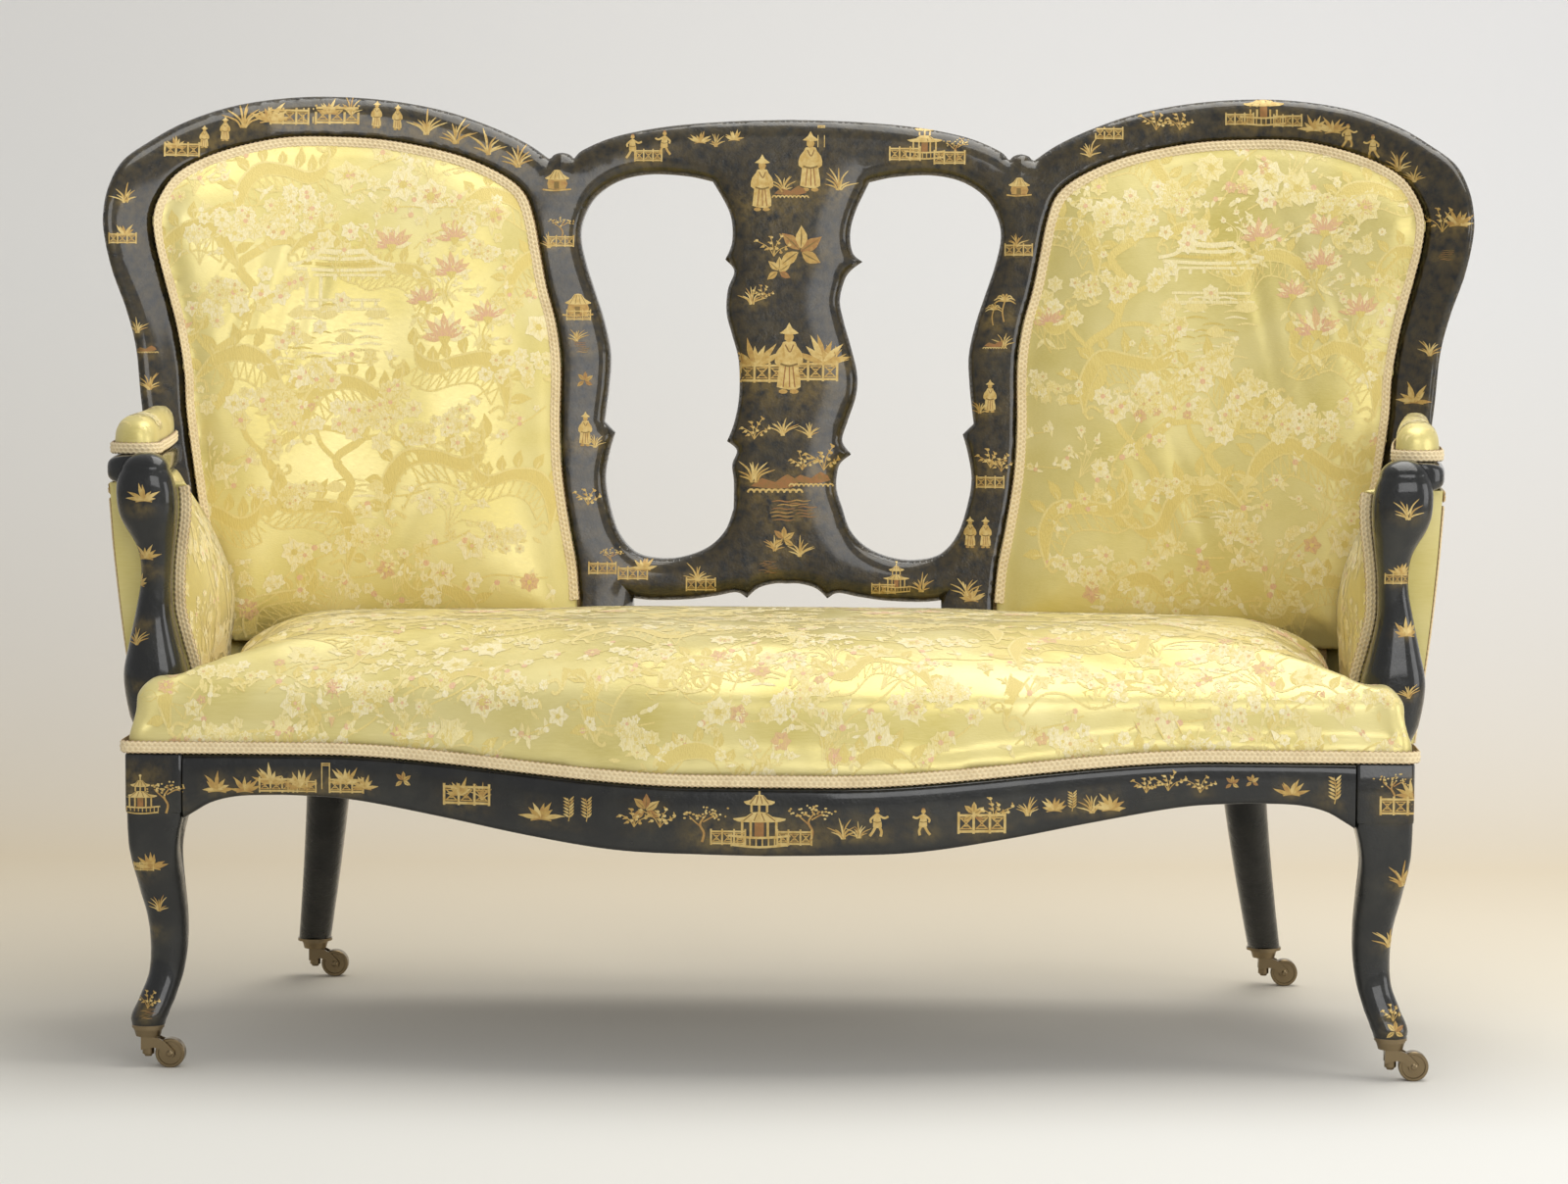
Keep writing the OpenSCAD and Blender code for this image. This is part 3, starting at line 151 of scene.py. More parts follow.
def inside(points: Array, loop: Array) -> Array:
    """True where a point lies inside a closed loop, by the parity of crossings to its right."""
    a, b = loop, np.roll(loop, -1, 0)
    found = np.zeros(len(points), bool)
    for part in np.array_split(np.arange(len(points)), max(1, len(points) * len(loop) // 8_000_000 + 1)):
        x, y = points[part, 0, None], points[part, 1, None]
        spans = (a[:, 1] > y) != (b[:, 1] > y)
        rise = np.where(b[:, 1] == a[:, 1], 1e-12, b[:, 1] - a[:, 1])
        cross = x < a[:, 0] + (y - a[:, 1]) * (b[:, 0] - a[:, 0]) / rise
        found[part] = (spans & cross).sum(1) % 2 == 1
    return found


# Meshes

@dataclass
class Surface:
    """Vertices in millimetres with faces of three or four of their numbers."""
    points: Array
    faces: list[list[int]]
    values: dict[str, Array] = field(default_factory=dict)

    def plus(self, other: "Surface") -> "Surface":
        """Both surfaces as one."""
        n = len(self.points)
        values = {k: np.concatenate([v, other.values[k]]) for k, v in self.values.items()}
        return Surface(np.vstack([self.points, other.points]), self.faces + [[i + n for i in f] for f in other.faces],
                       values)

    def mirrored(self) -> "Surface":
        """The surface on the other side of the settee, with its faces turned to point outwards."""
        return Surface(self.points * [-1, 1, 1], [f[::-1] for f in self.faces], dict(self.values))


def grid_faces(rows: int, columns: int, closed: bool = False) -> list[list[int]]:
    """Quads between neighbouring rows and columns of a grid, whose columns may close on themselves."""
    i, j = np.meshgrid(np.arange(rows - 1), np.arange(columns if closed else columns - 1), indexing="ij")
    k = (j + 1) % columns
    quads = [i * columns + j, i * columns + k, (i + 1) * columns + k, (i + 1) * columns + j]
    return np.stack(quads, -1).reshape(-1, 4).tolist()


def tube(rings: Array, capped: tuple[bool, bool] = (True, True)) -> Surface:
    """Closed skin over rings of points, counter-clockwise seen from the last ring, with fanned ends."""
    m, n = rings.shape[:2]
    points, faces = rings.reshape(-1, 3), grid_faces(m, n, closed=True)
    j = np.arange(n)
    for on, ring, flipped in ((capped[0], 0, True), (capped[1], m - 1, False)):
        if on:
            fan = np.stack([ring * n + j, ring * n + (j + 1) % n, np.full(n, len(points))], -1)
            faces += (fan[:, ::-1] if flipped else fan).tolist()
            points = np.vstack([points, rings[ring].mean(0)])
    return Surface(points, faces)


def build(name: str, surface: Surface, material: Material, body: str = "frame", slot: str | None = None,
          replaces: Sequence[str] = (), sharp: float = 50, shown: bool = True) -> Object:
    """Makes a surface a mesh object that rides on a body of the frame.

    Args:
        name: the piece's name.
        surface: its points in millimetres, its faces, and a number at each point for each named value.
        material: its finish.
        body: the CAD body that it moves with.
        slot: the record's material slot; not used.
        replaces: CAD nodes that it stands for.
        sharp: angle in degrees above which an edge stays crisp.
        shown: False for a shape that is only worked with.
    Returns:
        The new object.
    """
    mesh = bpy.data.meshes.new(name)
    mesh.from_pydata((surface.points * MM).tolist(), [], surface.faces)
    mesh.polygons.foreach_set("use_smooth", np.ones(len(mesh.polygons), bool))
    mesh.set_sharp_from_angle(angle=math.radians(sharp))
    for key, value in surface.values.items():
        mesh.attributes.new(key, "FLOAT", "POINT").data.foreach_set("value", np.asarray(value, np.float32))
    mesh.update()
    piece = bpy.data.objects.new(name, mesh)
    bpy.context.scene.collection.objects.link(piece)
    mesh.materials.append(material)
    if shown:
        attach(piece, body)
        if replaces:
            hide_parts(*replaces)
        LOG.info("%s: %d faces", name, len(mesh.polygons))
    return piece


def coordinates(mesh: Mesh) -> Array:
    """A mesh's vertices in millimetres."""
    co = np.empty(len(mesh.vertices) * 3, np.float32)
    mesh.vertices.foreach_get("co", co)
    return co.reshape(-1, 3).astype(float) / MM


def numbers(mesh: Mesh, key: str) -> Array:
    """A named value at each of a mesh's vertices."""
    found = np.empty(len(mesh.vertices), np.float32)
    mesh.attributes[key].data.foreach_get("value", found)
    return found


def surface_of(mesh: Mesh) -> Surface:
    """A mesh's points and faces as a Surface."""
    counts, corners = np.empty(len(mesh.polygons), np.int32), np.empty(len(mesh.loops), np.int32)
    mesh.polygons.foreach_get("loop_total", counts)
    mesh.loops.foreach_get("vertex_index", corners)
    return Surface(coordinates(mesh), [f.tolist() for f in np.split(corners, np.cumsum(counts)[:-1])])


def evaluated(piece: Object) -> Mesh:
    """A copy of a piece's mesh with its modifiers applied."""
    graph = bpy.context.evaluated_depsgraph_get()
    return bpy.data.meshes.new_from_object(piece.evaluated_get(graph))


def fill(loop: Array, holes: Sequence[Array], extra: Array, cuts: Sequence[Array] = ()) -> tuple[Array, Array]:
    """Triangles over a region of the plane, with its loops, cuts and extra points all kept.

    Args:
        loop: the region's outline, closed.
        holes: outlines that are left out.
        extra: points inside, which set how fine the triangles are.
        cuts: open lines that no triangle crosses.
    Returns:
        The points, and rows of three of their numbers, counter-clockwise.
    """
    points, edges = [], []
    for path, closed in [(loop, True), *((h, True) for h in holes), *((c, False) for c in cuts)]:
        first, n = sum(map(len, points)), len(path)
        edges += [(first + i, first + (i + 1) % n) for i in range(n if closed else n - 1)]
        points.append(path)
    flat = np.vstack([*points, extra])
    found = delaunay_2d_cdt([mathutils.Vector(p) for p in flat.tolist()], edges, [], 0, 1e-4)
    spots, faces = np.array([tuple(v) for v in found[0]]), np.array(found[2])
    a, b, c = (spots[faces[:, k]] for k in range(3))
    faces = np.where((((b - a) * turn(c - a)).sum(1) > 0)[:, None], faces[:, ::-1], faces)
    middle = (a + b + c) / 3
    keep = inside(middle, loop)
    for hole in holes:
        keep &= ~inside(middle, hole)
    return spots, faces[keep]


def slab(front: Array, back: Array, faces: Array) -> Surface:
    """Closed shape of two sheets with the same triangles, and a rim along their open edges."""
    n = len(front)
    edges = np.vstack([faces[:, [0, 1]], faces[:, [1, 2]], faces[:, [2, 0]]]).tolist()
    lone = {tuple(e) for e in edges} - {(b, a) for a, b in edges}
    rim = [[b, a, a + n, b + n] for a, b in lone]
    return Surface(np.vstack([front, back]), faces.tolist() + (faces[:, ::-1] + n).tolist() + rim)


def offset_points(paths: Sequence[Array], distances: Sequence[float], step: float) -> Array:
    """Points at set distances to both sides of some paths, kept only where no path is nearer."""
    found, want = [], []
    for path in paths:
        even = spaced(path, step)
        side = turn(unit(np.gradient(even, axis=0)))
        for nth, d in [(1, d) for d in distances] + [(2, d) for d in distances[-2:]]:
            found += [even[::nth] + s * d * side[::nth] for s in (-1, 1)]
            want += [np.full(len(even[::nth]), d)] * 2
    points = np.vstack(found)
    return points[edge_distance(points, paths) > 0.97 * np.concatenate(want)]


# Finishes

Adder = Callable[..., Node]
PLAIN = (1, 1, 1)


def linear(code: str) -> tuple[float, float, float, float]:
    """A colour written as sRGB hex, turned to linear light."""
    parts = [int(code[i:i + 2], 16) / 255 for i in (1, 3, 5)]
    return (*[c / 12.92 if c <= 0.04045 else ((c + 0.055) / 1.055) ** 2.4 for c in parts], 1.0)


def output(source: Node | NodeSocket) -> NodeSocket:
    """A node's first output in use; a socket is returned as it is."""
    return next(socket for socket in source.outputs if socket.enabled) if isinstance(source, Node) else source


def add(tree: NodeTree, kind: str, links: dict | None = None, stops: Sequence[tuple[float, str]] = (),
        **settings: object) -> Node:
    """Adds a node to a tree.

    Args:
        tree: where it goes.
        kind: its type's name after ShaderNode.
        links: for each of its inputs, by name or number, a node or socket to link or a value to set.
        stops: places and sRGB colours, where it is a colour ramp.
        settings: its own properties.
    Returns:
        The node.
    """
    made = tree.nodes.new("ShaderNode" + kind)
    for key, value in settings.items():
        setattr(made, key, value)
    for key, value in (links or {}).items():
        if isinstance(value, (Node, NodeSocket)):
            tree.links.new(output(value), made.inputs[key])
        else:
            made.inputs[key].default_value = value
    if stops:
        points = made.color_ramp.elements
        while len(points) < len(stops):
            points.new(0.5)
        for point, (place, code) in zip(points, stops):
            point.position, point.color = place, linear(code)
    return made


def patches(node: Adder, place: NodeSocket, size: float, detail: float = 3, stretch: Point = PLAIN,
            spread: Point = ()) -> Node:
    """Soft noise in patches.

    Args:
        node: adds a node to the finish's own tree.
        place: coordinates in metres.
        size: width of a patch in millimetres.
        detail: octaves of finer noise.
        stretch: how many times longer a patch is along each axis.
        spread: the noise's values that are drawn out to 0 and 1, or to the two numbers after them.
    Returns:
        The last node.
    """
    scaled = node("Mapping", {"Vector": place, "Scale": [1000 / size / s for s in stretch]})
    made = node("TexNoise", {"Vector": scaled, "Scale": 1.0, "Detail": detail})
    return node("MapRange", dict(enumerate((made, *spread)))) if spread else made


@dataclass(frozen=True)
class Finish:
    """What every finish has: a name, and constants set on the shader's own sockets."""
    name: str
    roughness: float = 0.5
    metallic: float = 0.0
    sheen: float = 0.0
    coat: float = 0.0
    coat_roughness: float = 0.03
    specular: float = 0.5

    def painted(self, node: Adder, place: NodeSocket) -> dict[str, Node]:
        """What is led to the shader's sockets, by their names."""
        raise NotImplementedError

    def made(self) -> Material:
        """The material, made the first time it is asked for."""
        known = bpy.data.materials.get(self.name)
        if known:
            return known
        material = bpy.data.materials.new(self.name)
        material.use_nodes = True
        tree = material.node_tree
        tree.nodes.clear()
        node = partial(add, tree)
        shader = node("BsdfPrincipled", {
            "Roughness": self.roughness, "Metallic": self.metallic, "Sheen Weight": self.sheen,
            "Coat Weight": self.coat, "Coat Roughness": self.coat_roughness, "Specular IOR Level": self.specular})
        for key, source in self.painted(node, node("TexCoord").outputs["Object"]).items():
            tree.links.new(output(source), shader.inputs[key])
        node("OutputMaterial", {"Surface": shader})
        return material


@dataclass(frozen=True)
class Lacquer(Finish):
    """Japanned black lacquer on wood, brushed on by hand in many coats.

    The brushed coats leave a soft ripple, so reflections wander, age has dulled it to grey-brown in
    places, and dusted gold has left an olive mist round the ornament.
    """
    ground: str = "#0f100e"
    worn: str = "#25251f"
    dusted: str = "#645327"

    def painted(self, node: Adder, place: NodeSocket) -> dict[str, Node]:
        """Worn patches on the ground, under a mist that comes from the piece's own attribute."""
        worn = patches(node, place, 38, 6, spread=(0.46, 0.75))
        ground = node("Mix", {0: worn, 6: linear(self.ground), 7: linear(self.worn)}, data_type="RGBA")
        mist = node("Attribute", attribute_name="mist").outputs["Fac"]
        cloud = node("Math", {0: mist, 1: patches(node, place, 9, 5, spread=(0.3, 0.62))}, operation="MULTIPLY")
        rubbed = (0.35, 0.7, self.roughness - 0.07, self.roughness + 0.12)
        ripple = node("Mix", {0: 0.3, 2: patches(node, place, 13, 2), 3: patches(node, place, 2.6, 4)},
                      data_type="FLOAT")
        return {"Base Color": node("Mix", {0: cloud, 6: ground, 7: linear(self.dusted)}, data_type="RGBA"),
                "Roughness": patches(node, place, 14, 6, (3, 1, 1), rubbed),
                "Normal": node("Bump", {"Height": ripple, "Distance": 1.5 * MM})}


@dataclass(frozen=True)
class Gilding(Finish):
    """Gold powder and leaf laid over size, rubbed thin, so that it glows softly and never mirrors."""
    bright: str = "#dcc585"
    mid: str = "#bb9a54"
    dull: str = "#7d6734"
    ruddy: str = "#96683a"

    def painted(self, node: Adder, place: NodeSocket) -> dict[str, Node]:
        """Gold by the strokes' own tone, duller in worn patches."""
        tone = node("Attribute", attribute_name="tone").outputs["Fac"]
        worn = node("Math", {0: patches(node, place, 5, 5, spread=(0.4, 0.7)), 1: 0.22}, operation="MULTIPLY")
        shade = node("Math", {0: tone, 1: worn}, operation="ADD")
        stops = [(0.0, self.bright), (0.35, self.mid), (0.7, self.ruddy), (1.0, self.dull)]
        return {"Base Color": node("ValToRGB", {"Fac": shade}, stops),
                "Normal": node("Bump", {"Height": patches(node, place, 1.2, 2), "Distance": 0.1 * MM})}


@dataclass(frozen=True)
class SilkSatin(Finish):
    """Silk satin ground: long floats of warp that shine along the thread and dull across it."""
    light: str = "#ecdf9f"
    deep: str = "#d0bf68"

    def painted(self, node: Adder, place: NodeSocket) -> dict[str, Node]:
        """Broad shades and slubbed threads 1.6 mm apart, as coarse as they need to be to show."""
        shade = patches(node, place, 90, 2, spread=(0.2, 0.8))
        slub = patches(node, place, 1.6, 3, (9, 1, 1), (0.35, 0.7))
        colour = node("Mix", {0: shade, 6: linear(self.deep), 7: linear(self.light)}, data_type="RGBA")
        threads = node("Math", {0: slub, 1: 0.22}, operation="MULTIPLY")
        return {"Base Color": node("Mix", {0: threads, 6: colour, 7: linear(self.light)}, data_type="RGBA"),
                "Roughness": node("MapRange", {0: slub, 3: self.roughness - 0.04, 4: self.roughness + 0.06}),
                "Normal": node("Bump", {"Height": patches(node, place, 0.9, 2, (6, 1, 1)), "Distance": 0.12 * MM})}


@dataclass(frozen=True)
class BrocadeThread(Finish):
    """Brocading weft: soft floss laid over the satin, which scatters light and stands a little proud."""
    straw: str = "#dfcc7c"

    def painted(self, node: Adder, place: NodeSocket) -> dict[str, Node]:
        """The figure's own tone, from near-white through straw to rose, under a coarse weave."""
        tone = node("Attribute", attribute_name="tone").outputs["Fac"]
        ground = node("ValToRGB", {"Fac": tone}, [(0.0, "#f8eecb"), (0.22, "#f0e1a4"), (0.42, "#e4cf7e"),
                                                  (0.6, "#cdb55c"), (0.78, "#e6b596"), (1.0, "#bd8470")])
        weave = patches(node, place, 1.3, 2, (1, 1, 4), (0.3, 0.7))
        share = node("Math", {0: weave, 1: 0.55}, operation="MULTIPLY")
        return {"Base Color": node("Mix", {0: share, 6: ground, 7: linear(self.straw)}, data_type="RGBA"),
                "Normal": node("Bump", {"Height": weave, "Distance": 0.25 * MM})}


@dataclass(frozen=True)
class GimpBraid(Finish):
    """Woven gimp: cream cotton wound round a core, matt, with painted shade in its hollows and grubby patches of dirt.
    """
    raised: str = "#f2dfb4"
    # dark colour, used both for painted shade in the braid's hollows and for its grubby patches of dirt
    hollow: str = "#a98a5c"

    def painted(self, node: Adder, place: NodeSocket) -> dict[str, Node]:
        """Darker where the braid's own height is low, as painted shade, and in grubby patches of dirt."""
        height = node("Attribute", attribute_name="height").outputs["Fac"]
        grubby = node("Math", {0: patches(node, place, 30, 4, spread=(0.5, 0.8)), 1: 0.35}, operation="MULTIPLY")
        # painted shade: where the braid's relief is low it is mixed towards the dark colour
        top = node("MapRange", {0: height, 1: 0.1, 2: 0.75})
        clean = node("Mix", {0: top, 6: linear(self.hollow), 7: linear(self.raised)}, data_type="RGBA")
        return {"Base Color": node("Mix", {0: grubby, 6: clean, 7: linear(self.hollow)}, data_type="RGBA"),
                "Normal": node("Bump", {"Height": patches(node, place, 0.9, 2), "Distance": 0.3 * MM})}


@dataclass(frozen=True)
class AgedBrass(Finish):
    """Cast brass gone brown, bright only where it has been rubbed."""
    dark: str = "#1f1812"
    rubbed: str = "#57432b"

    def painted(self, node: Adder, place: NodeSocket) -> dict[str, Node]:
        """Rubbed patches, brighter and smoother than the rest."""
        wear = patches(node, place, 7, 6, spread=(0.45, 0.68))
        return {"Base Color": node("Mix", {0: wear, 6: linear(self.dark), 7: linear(self.rubbed)}, data_type="RGBA"),
                "Roughness": node("MapRange", {0: wear, 3: self.roughness + 0.12, 4: self.roughness - 0.08}),
                "Normal": node("Bump", {"Height": patches(node, place, 1.4, 4), "Distance": 0.25 * MM})}


@dataclass(frozen=True)
class Hidden(Finish):
    """Plain working materials that the upholstery hides: wood, jute, steel, stuffing or cambric."""
    base: str = "#b49a6c"
    second: str = "#8c744a"
    grain: float = 3.0
    run: tuple[float, float, float] = (8, 1, 1)

    def painted(self, node: Adder, place: NodeSocket) -> dict[str, Node]:
        """Streaks of the finish's own grain."""
        streak = patches(node, place, self.grain, 4, self.run, (0.35, 0.68))
        return {"Base Color": node("Mix", {0: streak, 6: linear(self.base), 7: linear(self.second)}, data_type="RGBA"),
                "Normal": node("Bump", {"Height": streak, "Distance": 0.3 * MM})}


@dataclass(frozen=True)
class Paint(Finish):
    """Matt studio paint: cool white in front, then warm beige and grey-white, brighter up the wall as painted light and
    darker to the left as painted shade, and open from behind.
    """

    def painted(self, node: Adder, place: NodeSocket) -> dict[str, Node]:
        """Bands by depth, the last of them lightening the wall as painted light, times a painted shade that darkens
        from right to left.
        """
        part = node("SeparateXYZ", {0: place})
        depth = node("MapRange", {0: part.outputs["Y"], 1: -2.5, 2: 4.0})
        side = node("MapRange", {0: part.outputs["X"], 1: -1.2, 2: 1.4})
        # colour bands by depth; the stops from 0.78 on lighten the cove's curve and wall as painted light
        bands = node("ValToRGB", {"Fac": depth}, [(0.0, "#efefec"), (0.3, "#ecebe6"), (0.42, "#e6dfd0"),
                                                  (0.58, "#e2d5bd"), (0.78, "#ebe7e0"), (0.9, "#f4f4f3"),
                                                  (1.0, "#fcfcfd")])
        # painted shade: the left side is made darker than the right, where less light falls
        side_shade = node("ValToRGB", {"Fac": side}, [(0.0, "#f2f1ee"), (1.0, "#fdfdfd")])
        return {"Base Color": node("Mix", {0: 1.0, 6: bands, 7: side_shade}, data_type="RGBA", blend_type="MULTIPLY"),
                "Normal": node("Bump", {"Height": patches(node, place, 40), "Distance": 0.2 * MM})}

    def one_sided(self) -> Material:
        """The same paint, which a camera behind it looks through."""
        material = self.made()
        node, sockets = partial(add, material.node_tree), material.node_tree.nodes
        behind = node("Math", {0: node("NewGeometry").outputs["Backfacing"], 1: node("LightPath")},
                      operation="MULTIPLY")
        seen = node("MixShader", {0: behind, 1: sockets["Principled BSDF"], 2: node("BsdfTransparent")})
        material.node_tree.links.new(output(seen), sockets["Material Output"].inputs["Surface"])
        return material


class Look(Enum):
    """Every finish on the settee."""
    LACQUER = Lacquer("japanned_lacquer", roughness=0.34, coat=0.75, coat_roughness=0.09, specular=0.25)
    GILDING = Gilding("rubbed_gilding", roughness=0.45, metallic=0.25)
    SATIN = SilkSatin("silk_satin", roughness=0.38, metallic=0.36, sheen=0.1)
    FLOSS = BrocadeThread("brocade_floss", roughness=0.62, sheen=0.25)
    GIMP = GimpBraid("woven_gimp", roughness=0.82, sheen=0.2)
    BRASS = AgedBrass("aged_brass", roughness=0.42, metallic=0.85)
    BEECH = Hidden("beech", 0.6, base="#c39a66", second="#9c7343")
    JUTE = Hidden("jute_webbing", 0.9, base="#b49a6c", second="#866c42", grain=1.6)
    STUFFING = Hidden("horsehair_stuffing", 0.9, base="#b7a173", second="#7d6845", grain=2.0)
    STEEL = Hidden("coppered_spring_steel", 0.35, metallic=0.9, base="#9a8a7a", second="#6d5f50", grain=4.0)
    CAMBRIC = Hidden("black_cambric", 0.85, base="#2a2724", second="#1a1816", grain=1.2, run=PLAIN)

    def made(self) -> Material:
        """This finish's material."""
        return self.value.made()


# Wooden frame

@dataclass(frozen=True)
class CurvedSheet:
    """The leaning sheet that the back is cut from: a wide arc in plan, with a tighter one at each end."""
    mid_r: float = 4200
    end_r: float = 500
    end_x: float = 378.81
    end_y: float = -519.44
    mid_a: float = math.asin(430 / 4200)
    face_y: float = 216.946
    lean: float = math.radians(8)

    def plan(self, x: Array, t: Array) -> Array:
        """Setback of the layer at depth t: the wide arc out to its end, then the tighter one."""
        x, t = np.broadcast_arrays(np.abs(np.asarray(x, float)), np.asarray(t, float))
        wide = np.sqrt((self.mid_r + t) ** 2 - np.minimum(x, 700) ** 2) - self.mid_r
        tight = self.end_y + np.sqrt(np.maximum((self.end_r + t) ** 2 - (x - self.end_x) ** 2, 0))
        return np.where(x < (self.mid_r + t) * math.sin(self.mid_a), wide, tight)

    def y(self, x: Array, z: Array, t: Array) -> Array:
        """Y of the layer at depth t behind the face, at x and at height z."""
        rise = np.asarray(z) - RAIL_TOP
        return self.face_y + (self.plan(x, t) + rise * math.sin(self.lean)) / math.cos(self.lean)

    def at(self, flat: Array, t: Array) -> Array:
        """Points of space from rows of [x, rise above the rails] and depths."""
        z = flat[..., 1] + RAIL_TOP
        return np.stack([flat[..., 0], self.y(flat[..., 0], z, t), z], -1)


RAIL_TOP = 322.0
RAIL_H = 60.0
LEG_X, LEG_Y = 629.0, -273.054
BLOCK = 59.0
BLOCK_FRONT, BLOCK_BACK = -292.054, -233.054
SIDE_IN = 602.0
BACK_SET = 490.0
RAIL_DIP, RAIL_BULGE = 24.0, 45.0
REAR_SPLIT = 470.0
CLEAR = 0.3
GIMP_W, GIMP_STEP = 12.0, 0.8
SHEET = CurvedSheet()


def bow(x: Array) -> Array:
    """1 in the middle of the front rail, falling smoothly to 0 from 60 to 455 mm out."""
    return 1 - smooth(60, 455, np.abs(x))


def rail_front(x: Array) -> Array:
    """Y of the front rail's face, which bulges forward in the middle."""
    return BLOCK_FRONT - RAIL_BULGE * bow(x)


@dataclass
class BackFrame:
    """Show-wood of the back: crests, stiles, splat and lower rail, carved from the curved sheet."""
    thickness: float = 34.0
    shoulder: Line = (
        (652, 0), (668, 78), (686, 198), (698, 278), (706, 340), (712, 398), (722, 440), (736, 483), (744, 522),
        (745, 548), (740, 576), (727, 603), (702, 624), (671, 644), (630, 661), (586, 671), (536, 676), (480, 675),
        (428, 669), (382, 659), (336, 643), (298, 625), (273, 608))
    knob: Line = ((270, 609), (266, 613), (258, 615), (250, 613), (246, 609))
    crest: Line = ((244, 609), (233, 619), (196, 634), (139, 645), (69, 651), (0, 653))
    panel: Line = (
        (606, 0), (622, 88), (640, 188), (652, 268), (660, 328), (663, 372), (671, 420), (684, 472), (693, 510),
        (696, 540), (690, 563), (674, 588), (645, 607), (604, 622), (558, 631), (508, 632), (455, 629), (403, 620),
        (360, 608), (320, 589), (297, 569), (286, 540), (279, 505), (271, 465), (260, 424), (254, 378), (254, 310),
        (251, 258), (242, 200), (234, 158), (230, 118))
    opening_outer: Line = (
        (88, 583), (117, 589), (158, 591), (192, 584), (218, 567), (232, 544), (236, 521), (230, 491), (218, 455),
        (208, 424), (201, 390), (202, 358), (205, 330), (207, 314))
    opening_lower: Line = (
        (195, 302), (201, 280), (205, 253), (201, 225), (190, 191), (171, 169), (145, 162), (117, 164), (89, 175),
        (70, 194), (61, 218))
    splat_right: Sequence[Line] = (
        ((61, 218), (54, 240), (55, 260), (59, 270), (70, 279)),
        ((70, 279), (60, 294), (66, 316), (75, 344), (76, 369), (69, 398), (60, 429), (56, 451), (61, 473),
         (68, 484), (81, 494)),
        ((81, 494), (70, 504), (67, 526), (73, 551), (88, 583)))
    splat_left: Sequence[Line] = (
        ((61, 218), (61, 247), (63, 267), (58, 283), (69, 293)),
        ((69, 293), (61, 315), (56, 345), (57, 383), (65, 413), (71, 436), (70, 462), (63, 483), (73, 496)),
        ((73, 496), (66, 514), (66, 537), (72, 556), (88, 583)))
    foot: Line = ((45, 119), (57, 125), (80, 121), (111, 117), (150, 116), (172, 118))
    foot_middle: Line = ((0, 135), (14, 135), (32, 130), (45, 119))
    crest_x: float = 258.0
    crest_foot: float = 553.0
    stile_x: float = 499.0
    stile_top: float = 493.0
    splat_x: float = 110.0
    cross_x: float = 170.0
    cross_top: float = 198.0

    def panel_line(self) -> Array:
        """Edge of the right-hand upholstered panel, from its foot at the arm round to its inner foot."""
        return np.vstack([spline(self.panel, 10), [(230, 60), (230, 0)]])

    def outer_line(self) -> Array:
        """Right half of the outer edge, from the arm's foot to the middle of the crest."""
        return np.vstack([spline(self.shoulder, 10), spline(self.knob, 5), spline(self.crest, 10)])

    def foot_line(self) -> Array:
        """Right half of the lower rail's edge, from the middle outwards."""
        return np.vstack([spline(self.foot_middle, 8), spline(self.foot, 8)[1:]])

    def opening(self, side: int) -> Array:
        """Closed outline of the right (1) or left (-1) opening beside the splat."""
        splat = self.splat_right if side > 0 else self.splat_left
        loop = np.vstack([spline(self.opening_outer, 8), spline(self.opening_lower, 8),
                          *[spline(part, 8)[1:] for part in splat]])[:-1]
        return loop * [side, 1]

    def outline(self) -> Array:
        """Closed outline of the whole back, panels left out."""
        half = np.vstack([self.foot_line(), [(172, 60), (172, 0), (230, 0)], self.panel_line()[::-1][1:],
                          [(652, 0)], self.outer_line()[1:]])
        left = half[1:-1][::-1] * [-1, 1]
        return np.vstack([half, left])

    def joints(self) -> list[Array]:
        """Lines where the pieces of wood meet."""
        lines = [((-self.splat_x, self.crest_foot), (self.splat_x, self.crest_foot)),
                 ((-100, self.cross_top), (100, self.cross_top))]
        for s in (-1, 1):
            lines += [((s * self.crest_x, 480), (s * self.crest_x, 700)),
                      ((s * 180, self.crest_foot), (s * 320, self.crest_foot)),
                      ((s * 640, self.stile_top), (s * 760, self.stile_top)),
                      ((s * self.cross_x, 100), (s * self.cross_x, 176))]
        return [np.linspace(a, b, 61) for a, b in lines]

    def node_of(self, middle: Array) -> Array:
        """Name of the node that each place belongs to, by the same windows as the joints."""
        x, r = np.abs(middle[:, 0]), middle[:, 1]
        right = middle[:, 0] > 0
        side = np.where(right, "right_", "left_")
        crest = (r > self.crest_foot) & (x > self.crest_x) | (r > self.stile_top) & (x > self.stile_x)
        names = np.where(crest, np.char.add(side, "crest_rail"), np.char.add(side, "inner_stile"))
        names = np.where((x > self.stile_x) & (r <= self.stile_top), np.char.add(side, "outer_stile"), names)
        names = np.where((r > self.crest_foot) & (x <= self.crest_x), "center_crest_rail", names)
        names = np.where((x < self.splat_x) & (r <= self.crest_foot) & (r > self.cross_top), "center_splat", names)
        return np.where((x < self.cross_x) & (r <= self.cross_top), "lower_cross_rail", names)

